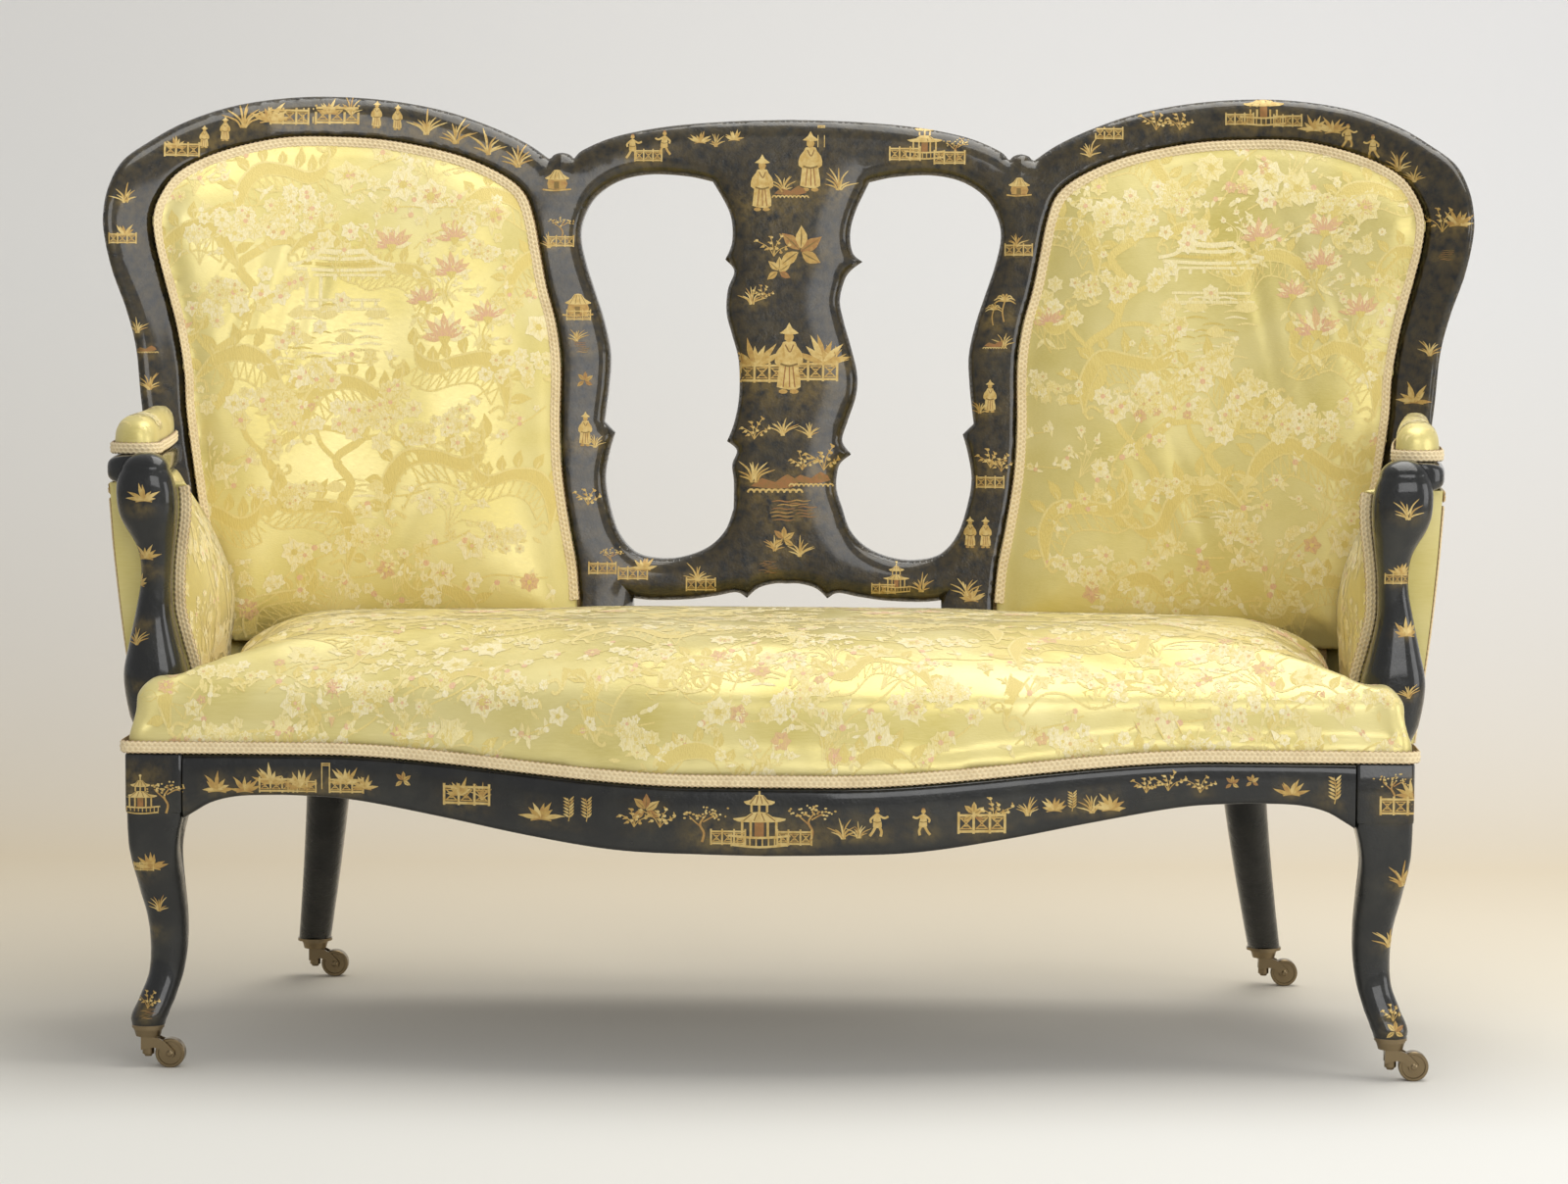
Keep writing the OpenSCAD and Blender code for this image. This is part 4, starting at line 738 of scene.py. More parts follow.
    def mesh(self, mist: Field) -> dict[str, Surface]:
        """Solid of each piece of wood.

        The face is rolled over by a quarter-round of 18 mm at the outer and opening edges, cut 12 mm
        deep, and by one of 5 mm cut 3 mm deep beside the panels, on a face crowned by
        2(1 - d/45)^2 mm. The back's edges are eased by 4 mm.

        Args:
            mist: how strongly gold dust clouds the lacquer at rows of [x, rise].
        Returns:
            A surface for each CAD node's name.
        """
        loop = self.outline()
        holes = [self.opening(1), self.opening(-1)]
        closed = [np.vstack([p, p[:1]]) for p in (loop, *holes)]
        panel = [self.panel_line() * [s, 1] for s in (-1, 1)]
        hard = [line * [s, 1] for line in (self.outer_line(), self.foot_line()) for s in (-1, 1)] + closed[1:]
        cuts = self.joints()
        extra = offset_points(closed, (0.7, 2, 4, 7, 10.5, 14.5, 19), 6.5)
        gx, gy = np.meshgrid(np.arange(-744, 745, 12.0), np.arange(4, 676, 12.0))
        extra = np.vstack([extra, np.stack([gx + 6 * (np.round(gy / 12) % 2), gy], -1).reshape(-1, 2)])
        far = edge_distance(extra, closed)
        keep = inside(extra, loop) & (far > 0.5) & (edge_distance(extra, cuts) > 1.2)
        grid = np.arange(len(extra)) >= len(extra) - gx.size
        keep &= ~(grid & (far < 22))
        for hole in holes:
            keep &= ~inside(extra, hole)
        points, faces = fill(loop, holes, extra[keep], cuts)
        d_hard, d_panel = (np.minimum(edge_distance(points, p), 60) for p in (hard, panel))
        crown = 2 * (1 - np.minimum(d_hard, 45) / 45) ** 2
        front = np.maximum(rolled(d_hard, 18, 12), rolled(d_panel, 5, 3)) + crown
        behind = self.thickness - rolled(np.minimum(d_hard, d_panel), 4, 4)
        clouds = mist(points)
        middle = points[faces].mean(1)
        names = self.node_of(middle)
        made = {}
        for name in np.unique(names):
            mine = faces[names == name]
            used, renumbered = np.unique(mine, return_inverse=True)
            mine = renumbered.reshape(-1, 3)
            piece = slab(SHEET.at(points[used], front[used]), SHEET.at(points[used], behind[used]), mine)
            piece.values["mist"] = np.concatenate([clouds[used], 0.15 * clouds[used]])
            made[str(name)] = piece
        return made


@dataclass
class SeatFrame:
    """Seat rails and the four legs."""
    leg: Line = (
        (0, -0.5, 33), (0.03, -1.5, 37), (0.09, -8, 36.5), (0.18, -16, 35), (0.28, -19, 37.5), (0.39, -18, 41),
        (0.51, -13, 47), (0.63, -8.5, 50), (0.7, -8.5, 53), (0.78, -10.5, 58))
    rail_edge: Line = (
        (0, -33), (60, -32), (149, -29), (237, -17), (325, -1), (413, 14), (467, 18), (500, 18.5), (534, 17), (560, 11),
        (578, 1), (589, -6))
    caster_h: float = 44.0
    rail_depth: float = 38.0

    def front_rail(self) -> Surface:
        """Serpentine rail: a squared ring carried from end to end between its own top and lower edge."""
        x = np.linspace(-589, 589, 181)
        edge = spline(self.rail_edge, 10)
        low = RAIL_TOP - RAIL_H + np.interp(np.abs(x), edge[:, 0], edge[:, 1])
        high = RAIL_TOP - RAIL_DIP * bow(x)
        ring = rounded_rectangle(self.rail_depth, high - low, 40, np.full(len(x), 7.0))
        belly = 1.2 * np.cos(ring[..., 1] / (high - low)[:, None] * math.pi) * (ring[..., 0] < 0)
        y = rail_front(x)[:, None] + self.rail_depth / 2 + ring[..., 0] - belly
        rows = np.stack([np.broadcast_to(x[:, None], y.shape), y, (low + high)[:, None] / 2 + ring[..., 1]], -1)
        return tube(rows)

    def side_path(self, t: float) -> Array:
        """Plan of a side rail at depth t: the sheet's end arc round the corner, then forward to the leg."""
        r = SHEET.end_r + t
        a = np.linspace(math.asin((REAR_SPLIT - SHEET.end_x) / r), math.asin((628 - SHEET.end_x) / SHEET.end_r), 17)
        arc = np.stack([SHEET.end_x + r * np.sin(a), SHEET.face_y + SHEET.end_y + r * np.cos(a)], -1)
        inset = 36 - t
        face = SIDE_IN + 40 - inset
        rest = [arc[-1], (660 - inset, LEG_Y + BACK_SET * 0.62), (661 - inset, LEG_Y + BACK_SET * 0.42),
                ((face + 657 - inset) / 2, LEG_Y + BACK_SET * 0.25), (face, BLOCK_BACK)]
        return np.vstack([arc[:-1], spline(rest, 8)])

    def carried(self, inner: Array, outer: Array) -> Surface:
        """A rail between two lines of its plan, as squared rings from one to the other."""
        ring = rounded_rectangle(1, RAIL_H, 32, 9)[0]
        share = (ring[:, 0] + 0.5)[None, :, None]
        flat = inner[:, None] * (1 - share) + outer[:, None] * share
        z = np.broadcast_to(RAIL_TOP - RAIL_H / 2 + ring[:, 1], flat.shape[:2])
        return tube(np.concatenate([flat, z[..., None]], -1))

    def side_rail(self) -> Surface:
        """Right-hand side rail."""
        return self.carried(self.side_path(36)[::-1], self.side_path(-4)[::-1])

    def back_rail(self) -> Surface:
        """Rail under the back, on the sheet's own arc."""
        x = np.linspace(-REAR_SPLIT, REAR_SPLIT, 97)
        lines = [np.stack([x, SHEET.face_y + SHEET.plan(x, t)], -1) for t in (-4, 36)]
        return self.carried(lines[0], lines[1])

    def front_leg(self, mist: Field) -> Surface:
        """Right-hand cabriole leg: superellipse rings up its bent axis, squaring off into the block."""
        share = (RAIL_TOP - RAIL_H - self.caster_h) / (RAIL_TOP - self.caster_h)
        s = np.linspace(0, share, 70)
        off, w = along(self.leg, s, 1), along(self.leg, s, 2)
        power = 2.4 + 5 * smooth(0.5, 0.78, s)
        z = self.caster_h + s * (RAIL_TOP - self.caster_h)
        top = np.array([262.5, 266, 290, 320.5, 322])
        off = np.concatenate([off, np.full(5, -10.5)])
        w = np.concatenate([w, [BLOCK, BLOCK, BLOCK, BLOCK, BLOCK - 1.5]])
        power = np.concatenate([power, [10, 14, 16, 16, 16]])
        z = np.concatenate([z, top])
        ring = rounded_rectangle(w, w, 56, power)
        rows = np.stack([LEG_X + off[:, None] + ring[..., 0], LEG_Y - off[:, None] + ring[..., 1],
                         np.broadcast_to(z[:, None], ring.shape[:2])], -1)
        made = tube(rows)
        made.values["mist"] = mist(made.points[:, [0, 2]] - [0, RAIL_TOP])
        return made

    def rear_leg(self) -> Surface:
        """Right-hand rear leg: round-sided rings that sweep back by (1 - s)^1.25 to the foot."""
        s = np.linspace(0, 1, 40)
        sweep = (1 - s) ** 1.25
        w = 36 + 14 * s
        top = np.array([507, SHEET.face_y + float(SHEET.plan(507, 16))])
        axis = top + (np.array([540, 306.946]) - top) * sweep[:, None]
        ring = rounded_rectangle(w, w, 40, 2.6) + axis[:, None]
        z = self.caster_h + s * (RAIL_TOP - RAIL_H - self.caster_h)
        return tube(np.concatenate([ring, np.broadcast_to(z[:, None, None], (*ring.shape[:2], 1))], -1))


@dataclass
class Arms:
    """Arm supports and arm rails, drawn for the right."""
    support: Line = (
        (322, 604, 650, 66, 128), (350, 603, 662, 64, 130), (392, 603, 668, 64, 128), (425, 611, 662, 68, 124),
        (458, 618, 655, 72, 120), (494, 618, 649, 72, 116), (523, 615, 652, 68, 112), (555, 611, 668, 58, 110),
        (581, 611, 672, 56, 108), (600, 616, 669, 58, 105), (616, 626, 658, 68, 98), (621, 634, 650, 76, 92))
    path: Line = ((70, 652), (120, 659), (170, 664), (230, 668), (300, 674), (370, 681), (440, 689))
    front: float = BLOCK_BACK + 35
    z: float = 589.0
    height: float = 29.0
    width: float = 58.0
    taper: float = 12.0

    def axis(self, y: Array) -> Array:
        """X of the arm's centreline at y."""
        return along(self.path, np.clip(np.asarray(y, float) - LEG_Y, 0, BACK_SET), 1)

    def rear(self, z: float) -> float:
        """Y where a part on the arm's line ends, a hair in front of the sheet, at height z."""
        return float(SHEET.y(self.axis(LEG_Y + BACK_SET * 0.84), z, -CLEAR))

    def support_back(self, z: Array) -> Array:
        """Y of the back of the support at height z."""
        return LEG_Y + along(self.support, z, 4) + 0.6

    def support_surface(self, mist: Field) -> Surface:
        """Support: superellipse rings between its drawn edges, closed by a small dome."""
        z = np.concatenate([np.linspace(322, 600, 80), 600 + 21 * np.sin(np.linspace(0.08, 1, 16) * math.pi / 2)])
        inner, outer, front, back = (along(self.support, z, k) for k in (1, 2, 3, 4))
        tip = np.sqrt(np.clip(1 - ((z - 604) / 17.6) ** 2, 0.02, 1))
        tip = np.where(z > 604, tip, 1.0)
        below = [along(self.support, np.minimum(z, 604), k) for k in (1, 2, 3, 4)]
        ring = rounded_rectangle((below[1] - below[0]) * tip, (below[3] - below[2]) * tip, 48, 2.6)
        rows = np.stack([(inner + outer)[:, None] / 2 + ring[..., 0],
                         LEG_Y + (front + back)[:, None] / 2 + ring[..., 1],
                         np.broadcast_to(z[:, None], ring.shape[:2])], -1)
        made = tube(rows)
        made.values["mist"] = mist(made.points[:, [0, 2]] - [0, RAIL_TOP])
        return made

    def rings(self, front: float, width: float, z: float, height: float, taper: float, nose: float, power: float,
              count: int, steps: int) -> Array:
        """Rings of a rail along the arm, counter-clockwise seen from the front, ending on the sheet.

        The nose is a quarter circle in plan; behind it the width falls evenly by taper.
        """
        rear = self.rear(z + height / 2)
        s = np.sin(np.linspace(0.15, 1, 6)[:-1] * math.pi / 2)
        y = np.concatenate([front + nose * (1 - np.sqrt(1 - s * s)), np.linspace(front + nose, rear, steps)])
        w = np.concatenate([width * (0.3 + 0.7 * s), width - taper * np.linspace(0, 1, steps)])
        ring = rounded_rectangle(w, np.full(len(w), height), count, power)
        rows = np.stack([self.axis(y)[:, None] + ring[..., 0], np.broadcast_to(y[:, None], ring.shape[:2]),
                         z + height / 2 + ring[..., 1]], -1)
        rows[-1, :, 1] = SHEET.y(rows[-1, :, 0], rows[-1, :, 2], -CLEAR)
        return rows[::-1]

    def rail_surface(self) -> Surface:
        """Arm rail, a soft-cornered bar that narrows to the back."""
        return tube(self.rings(self.front, self.width, self.z, self.height, self.taper, 14, 3.4, 40, 24))


# Upholstery

def pad_face(u: Array) -> Array:
    """Height of a back pad in front of the frame at u inside its edge: flat for 13 mm, then swelling."""
    return 4.5 + 29.5 * (1 - np.exp(-np.maximum(u - 13, 0) / 30))


def plump(name: str, surface: Surface, voxel: float, cap: float, held: Field) -> Surface:
    """Fills a closed shape like stuffed cloth: evens its mesh, then blows it up by a cloth simulation.

    Each point moves by what the cloth moved it, shortened to the cap, and less the more it is held.

    Args:
        name: name for the working object.
        surface: the shape, a little smaller than the finished piece.
        voxel: spacing of the even mesh.
        cap: the furthest that a point may move.
        held: for rows of points, 1 where the cloth is tacked down and 0 where it is free.
    Returns:
        The filled shape.
    """
    work = build(name + "_work", surface, Look.STUFFING.made(), shown=False)
    even = work.modifiers.new("even", "REMESH")
    even.mode, even.voxel_size, even.adaptivity = "VOXEL", voxel * MM, 0
    ease = work.modifiers.new("ease", "SMOOTH")
    ease.factor, ease.iterations = 0.5, 5
    work.data = evaluated(work)
    work.modifiers.clear()
    start = coordinates(work.data)
    grip = np.clip(held(start), 0, 1)
    tacked = work.vertex_groups.new(name="tacked")
    tacked.add(np.flatnonzero(grip > 0.9).tolist(), 1.0, "REPLACE")
    cloth = work.modifiers.new("cloth", "CLOTH")
    cloth.settings.quality = 4
    cloth.settings.mass = 0.3
    cloth.settings.tension_stiffness = cloth.settings.compression_stiffness = 18
    cloth.settings.bending_stiffness = 1.5
    cloth.settings.use_pressure = True
    cloth.settings.uniform_pressure_force = 4
    cloth.settings.vertex_group_mass = "tacked"
    cloth.settings.effector_weights.gravity = 0
    first, last = 1, 20
    cloth.point_cache.frame_start, cloth.point_cache.frame_end = first, last
    for frame_number in range(first, last + 1):
        bpy.context.scene.frame_set(frame_number)
    moved = coordinates(evaluated(work)) - start
    far = np.linalg.norm(moved, axis=1, keepdims=True)
    moved *= np.minimum(1, cap / np.maximum(far, 1e-6)) * (1 - grip)[:, None]
    filled = surface_of(work.data)
    bpy.data.objects.remove(work)
    bpy.context.scene.frame_set(first)
    LOG.info("%s: filled, %d points", name, len(filled.points))
    return Surface(filled.points + moved, filled.faces)


def upholstered(name: str, surface: Surface, replaced: Sequence[str]) -> Object:
    """A filled piece covered in satin, which stands for its CAD nodes.

    Args:
        name: the piece's name.
        surface: its filled shape.
        replaced: the CAD nodes that it stands for.
    Returns:
        The piece.
    """
    piece = build(name, surface, Look.SATIN.made(), slot="silk_brocade", replaces=replaced, sharp=180)
    soft = piece.modifiers.new("subdivision", "SUBSURF")
    soft.levels = soft.render_levels = 1
    return piece


def braid(path: Array, across: Array, out: Array, width: float, closed: bool = False, rise: float = 3.0,
          pitch: float = 5.6) -> Surface:
    """Woven gimp along a path, as a grid with its own relief.

    Over its width the height follows |sin| of three plaited cords with a picot edge, and along it
    the cords are notched by a cosine of the pitch, shifted by half a pitch at each cord.

    Args:
        path: points along the middle of the braid's underside, 0.8 mm apart or so.
        across: unit rows across it.
        out: unit rows away from what it lies on.
        width: its width.
        closed: whether its end meets its start.
        rise: its full thickness.
        pitch: length of one wrap of thread.
    Returns:
        The surface, with its relief as the value height.
    """
    run = np.concatenate([[0], np.cumsum(np.linalg.norm(np.diff(path, axis=0), axis=1))])[:, None]
    share = np.linspace(-1, 1, 15)[None, :]
    cord = np.abs(np.sin(share * 1.5 * math.pi + math.pi / 2)) ** 0.6
    phase = np.round((share + 1) * 1.5) * math.pi
    wrap = 0.5 + 0.5 * np.cos(2 * math.pi * run / pitch + phase)
    body = np.sqrt(np.clip(1 - share**4, 0, 1))
    height = body * (0.4 + 0.2 * cord + 0.4 * wrap * cord)
    edge = 1 + 0.09 * np.cos(2 * math.pi * run / pitch) * (np.abs(share) > 0.9)
    path, across, out = path[:, None], across[:, None], out[:, None]
    rows = path + across * (share * edge * width / 2)[..., None] + out * (height * rise)[..., None]
    low = path + across * np.array([0.93, -0.93])[None, :, None] * width / 2 + out * 0.1
    ring = np.concatenate([rows, low], 1)
    if closed:
        m, n = ring.shape[:2]
        faces = grid_faces(m + 1, n, closed=True)
        made = Surface(ring.reshape(-1, 3), [[i % (m * n) for i in f] for f in faces])
    else:
        made = tube(ring)
    values = np.concatenate([height, np.zeros((len(path), 2))], 1).reshape(-1)
    made.values["height"] = np.concatenate([values, np.zeros(len(made.points) - len(values))])
    return made


def frames(path: Array, out: Array) -> tuple[Array, Array]:
    """Unit rows across a path and square to it, from directions that point roughly outwards."""
    ahead = unit(np.gradient(path, axis=0))
    side = unit(np.cross(ahead, out))
    return side, unit(np.cross(side, ahead))


@dataclass
class BackUpholstery:
    """The two upholstered panels, with their braid and outside cloths."""
    wood: BackFrame
    foot: float = 73.0

    def loop(self) -> Array:
        """Closed outline of the right-hand pad."""
        line = self.wood.panel_line()
        side = line[line[:, 1] > self.foot]
        bottom = np.linspace((230, self.foot), (side[0, 0], self.foot), 30)[:-1]
        return np.vstack([side, [(230, self.foot + 1)], bottom])

    def pad(self) -> Surface:
        """Right-hand pad: over the panel's outline a face at pad_face of the distance to its edge."""
        loop = self.loop()
        closed = [np.vstack([loop, loop[:1]])]
        extra = offset_points(closed, (1.5, 5, 10, 14, 19, 26, 34), 8)
        gx, gy = np.meshgrid(np.arange(230, 700, 12.0), np.arange(74, 634, 12.0))
        grid = np.stack([gx, gy], -1).reshape(-1, 2)
        extra = np.vstack([extra, grid[edge_distance(grid, closed) > 40]])
        extra = extra[inside(extra, loop)]
        points, faces = fill(loop, [], extra)
        d = edge_distance(points, closed)
        front = SHEET.at(points, -pad_face(d) * (1 - 0.12 * smooth(13, 60, d)))
        return slab(front, SHEET.at(points, np.full(len(points), 6.0)), faces)

    def held(self, points: Array) -> Array:
        """How firmly a pad is tacked: wholly at its edge and behind, not at all from 30 mm in."""
        flat = points[:, [0, 2]] - [0, RAIL_TOP]
        loop = self.loop()
        d = edge_distance(flat, [np.vstack([loop, loop[:1]])]) * np.where(inside(flat, loop), 1, 0)
        depth = points[:, 1] - SHEET.y(points[:, 0], points[:, 2], 0)
        return np.maximum(1 - smooth(12, 30, d), smooth(-3, 1, depth))

    def gimp(self) -> Surface:
        """Right-hand braid, laid on the pad's flat edge all round from foot to foot."""
        line = self.wood.panel_line()
        line = line[line[:, 1] > self.foot + 2]
        inner = spaced(line, GIMP_STEP)
        side = turn(unit(np.gradient(inner, axis=0)))
        middle = inner + side * 6.8
        on = np.full(len(middle), -4.6)
        path = SHEET.at(middle, on)
        ahead = SHEET.at(middle + side, on) - path
        out = SHEET.at(middle, on - 1) - path
        return braid(path, -unit(ahead), unit(out), GIMP_W)

    def outside(self) -> Surface:
        """Right-hand outside cloth: a thin skin over the panel, drawn in by 3 mm in its middle."""
        line = self.wood.panel_line()
        line = line[line[:, 1] > 0.5]
        loop = np.vstack([line, np.linspace((230, 0.5), (606, 0.5), 30)])
        closed = [np.vstack([loop, loop[:1]])]
        gx, gy = np.meshgrid(np.arange(230, 700, 12.0), np.arange(4, 634, 12.0))
        grid = np.stack([gx, gy], -1).reshape(-1, 2)
        d = edge_distance(grid, closed)
        points, faces = fill(loop, [], grid[inside(grid, loop) & (d > 4)])
        dip = 3 * smooth(0, 120, edge_distance(points, closed))
        return slab(SHEET.at(points, 26 - dip), SHEET.at(points, 28 - dip), faces)


@dataclass
class SeatUpholstery:
    """The sprung seat and its braid."""
    edge: float = 388.0
    crown: float = 440.0
    lift: float = 26.0
    spine_x: float = 470.0
    rise: Line = (
        (0, 0), (0.03, 0.17), (0.09, 0.35), (0.2, 0.56), (0.36, 0.76), (0.58, 0.91), (0.8, 0.98), (0.93, 1))

    def half(self, gap: float, z: float, count: int = 90) -> Array:
        """Right half of the seat's plan, drawn in by gap, from the middle of its front to the back."""
        x1, y1 = 651 - gap, BLOCK_FRONT - 3 + gap
        sx, foot = SIDE_IN - gap, LEG_Y + 62 - gap
        x = np.linspace(0, x1 - 14, count)
        a = np.radians(np.linspace(-80, 0, 7))
        side = [(x1, foot - 22), (x1 - 4, foot - 2), (sx + 14, foot), (sx, foot + 8)]
        side += [(sx - 8 * float(smooth(0.5, 0.75, k)), LEG_Y + BACK_SET * k) for k in (0.26, 0.42, 0.56, 0.68)]
        xr = np.array([572, 540, 480, 400, 320, 276, 246, 230, 224, 120, 0.0])
        lean = -1.5 - 7.5 * smooth(224, 230, xr) - 21 * smooth(236, 290, xr)
        yr = SHEET.y(xr, z, lean) - gap - 22 * smooth(540, 572, xr)
        rear = np.stack([xr - gap * smooth(0, 572, xr), yr], -1)
        front = np.stack([x, rail_front(x) - 3 + gap], -1)
        corner = np.stack([x1 - 14 + 14 * np.cos(a), y1 + 14 + 14 * np.sin(a)], -1)
        return np.vstack([front, corner[1:], spaced(np.vstack([side, rear]), count=count + 50)])

    def rail(self, p: Array) -> Array:
        """Height of the rails under the seat's edge, with the dip of the front one."""
        return RAIL_TOP - RAIL_DIP * bow(p[:, 0]) * (1 - smooth(40, 90, p[:, 1] - LEG_Y))

    def low(self, p: Array) -> Array:
        """Height of the seat's lower edge, a hair above the rails."""
        return self.rail(p) + CLEAR

    def loop(self, gap: float, z: float) -> Array:
        """Closed plan of the seat."""
        half = self.half(gap, z)
        return np.vstack([half, half[1:-1][::-1] * [-1, 1]])

    def surface(self, gap: float = 4.0) -> Surface:
        """The seat: walls up to its edge, then rings that close on a line while they rise to the crown."""
        full, top = self.loop(0, self.edge + self.lift), self.loop(gap, self.edge + self.lift)
        high = self.edge + self.lift * smooth(260, 400, full[:, 1] - LEG_Y)
        low = self.loop(gap, RAIL_TOP)
        lag = smooth(SIDE_IN - 12, SIDE_IN + 38, np.abs(full[:, 0]))
        spine = np.stack([np.clip(full[:, 0], -self.spine_x, self.spine_x) * 0.97,
                          LEG_Y + np.clip(full[:, 1] - LEG_Y, 190, 300)], -1)
        rows = [np.column_stack([low, self.low(full)]), np.column_stack([low, self.low(full) + 18])]
        wall = self.loop(gap, self.edge)
        rows += [np.column_stack([wall, high - 30]), np.column_stack([wall, high - 9 - gap])]
        curve = spline(self.rise, 3)
        closed = np.vstack([top, top[:1]])
        for inward, _ in curve:
            flat = top + (spine - top) * np.column_stack([np.full(len(top), inward), inward ** (1 + lag)])
            base = self.edge + self.lift * smooth(260, 400, flat[:, 1] - LEG_Y)
            up = along(self.rise, np.minimum(edge_distance(flat, [closed]) / 200, 0.93), 1)
            rows.append(np.column_stack([flat, base - gap + (self.crown - base) * up]))
        return tube(np.array(rows))

    def held(self, points: Array) -> Array:
        """How firmly the seat is tacked: at its lower edge, beneath, and where it meets the back and arms."""
        rear = smooth(30, 8, SHEET.y(points[:, 0], points[:, 2], -30) - points[:, 1])
        return np.maximum(1 - smooth(14, 30, points[:, 2] - self.rail(points)), rear)

    def gimp(self) -> Surface:
        """Braid along the lower edge, from one arm support round the front to the other."""
        half = self.half(-0.6, RAIL_TOP, 300)
        stop = int(np.argmin(np.linalg.norm(half - [648, LEG_Y + 60], axis=1)))
        plan = np.vstack([half[1:stop + 1][::-1] * [-1, 1], half[:stop + 1]])
        path = spaced(np.column_stack([plan, self.low(plan) + 7]), GIMP_STEP)
        ahead = unit(np.gradient(path[:, :2], axis=0))
        out = np.column_stack([ahead[:, 1], -ahead[:, 0], np.zeros(len(path))])
        return braid(path, np.tile([0.0, 0.0, -1.0], (len(path), 1)), out, GIMP_W + 0.5)


@dataclass
class ArmUpholstery:
    """Inside and outside cloths of the right arm, its padded rest, and their braids."""
    arms: Arms
    padding: float = 25.0
    swell: Line = (
        (322, 604), (365, 603.5), (400, 604), (440, 600), (490, 600), (540, 608), (575, 621), (589, 626))
    rest_h: float = 41.0
    rest_nose: float = 26.0

    def end(self, x: Array, z: Array) -> Array:
        """Y where the arm's cloth meets the back, in front of the pad and its braid."""
        face = np.array([(322, 606), (410, 622), (510, 640), (590, 652), (650, 660), (694, 663)], float)
        u = along(face, z, 1) - x
        return SHEET.y(x, z, np.where(u < -20, -0.3, -pad_face(np.maximum(u, 0)) - 3.9))

    def course(self, k: Array) -> Array:
        """Y at k of the way back along the arm."""
        return LEG_Y + BACK_SET * (0.24 + 0.55 * k)

    def inner(self, k: Array, z: Array) -> Array:
        """X of the inside face, k of the way back: from the support into the drawn swell, hollowed by 9 mm."""
        top = self.arms.axis(self.course(k)) - (66 - 20 * k) / 2 + 2
        hollow = 9 * np.sin(math.pi * k) * np.sin(math.pi * np.clip((z - 400) / 189, 0, 1))
        swell = along(self.swell, z, 1) + (top - 626) * smooth(430, 589, z) - hollow
        start = along(self.arms.support, z, 1) - 10
        return start + (swell - start) * smooth(0, 0.3, k)

    def outer(self, k: Array, z: Array) -> Array:
        """X of the outside face, k of the way back: from the rail out to the arm, bowed by an eighth."""
        share = np.clip((z - RAIL_TOP) / (self.arms.z - RAIL_TOP), 0, 1)
        top = self.arms.axis(self.course(k)) + (self.arms.width - self.arms.taper * k) / 2 - 3
        foot = 660 - 6 * k
        return foot + (top - foot) * (share + 0.12 * np.sin(math.pi * share))

    def at(self, x: Array, z: Array, k: Array) -> Array:
        """Point k of the way from the support to the back."""
        start = self.arms.support_back(z)
        return np.stack(np.broadcast_arrays(x, start + (self.end(x, z) - start) * k, z), -1)

    def inside_pad(self, drawn_in: float = 2.0) -> Surface:
        """Inside padding: a slab between the inside face and one 25 mm behind it."""
        z = np.linspace(RAIL_TOP + CLEAR, self.arms.z - CLEAR, 40)
        k, z = np.meshgrid(np.linspace(0, 1, 40), z, indexing="ij")
        near = self.at(self.inner(k, z) + drawn_in, z, k)
        far = self.at(self.inner(k, z) + self.padding, z, k)
        rings = np.concatenate([near, far[:, ::-1]], 1)
        m, n = rings.shape[:2]
        faces = grid_faces(m, n, closed=True)
        j = np.arange(n // 2 - 1)
        first = np.stack([j, j + 1, n - 2 - j, n - 1 - j], -1)
        faces += first.tolist() + (first[:, ::-1] + (m - 1) * n).tolist()
        return Surface(rings.reshape(-1, 3), [f[::-1] for f in faces])

    def inside_held(self, points: Array) -> Array:
        """How firmly the inside padding is tacked: round its rim and behind."""
        y0, y1 = self.arms.support_back(points[:, 2]), self.end(points[:, 0], points[:, 2])
        k = np.clip((points[:, 1] - y0) / (y1 - y0), 0, 1)
        depth = points[:, 0] - self.inner(k, points[:, 2])
        rim = np.minimum.reduce([points[:, 1] - y0, y1 - points[:, 1], points[:, 2] - RAIL_TOP,
                                 self.arms.z - points[:, 2]])
        return np.maximum(1 - smooth(4, 26, rim), smooth(10, 16, depth))

    def outside_cloth(self, t: float = 2.0) -> Surface:
        """Outside cloth: a thin skin over the outside face that turns in behind the support."""
        z = np.linspace(RAIL_TOP + CLEAR, self.arms.z - CLEAR, 50)
        k = np.linspace(0, 1, 50)

        def line(d: float) -> Array:
            kk, zz = np.meshgrid(k, z, indexing="ij")
            face = self.at(self.outer(kk, zz) - d, zz, kk)
            x0, x1 = self.inner(np.zeros(50), z) + self.padding + 0.3, self.outer(np.zeros(50), z) - d
            share = np.linspace(0, 1, 8)[:-1, None]
            back = np.stack([x0 + (x1 - x0) * share, np.broadcast_to(self.arms.support_back(z) + d, (7, 50)),
                             np.broadcast_to(z, (7, 50))], -1)
            return np.concatenate([back, np.concatenate([face[:1] + [0, d, 0], face[1:]])], 0)

        rings = np.concatenate([line(0.0), line(t)[::-1]], 0).transpose(1, 0, 2)
        m, n = rings.shape[:2]
        faces = grid_faces(m, n, closed=True)
        j = np.arange(n // 2 - 1)
        first = np.stack([n - 1 - j, n - 2 - j, j + 1, j], -1)
        faces += first.tolist() + (first[:, ::-1] + (m - 1) * n).tolist()
        return Surface(rings.reshape(-1, 3), faces)

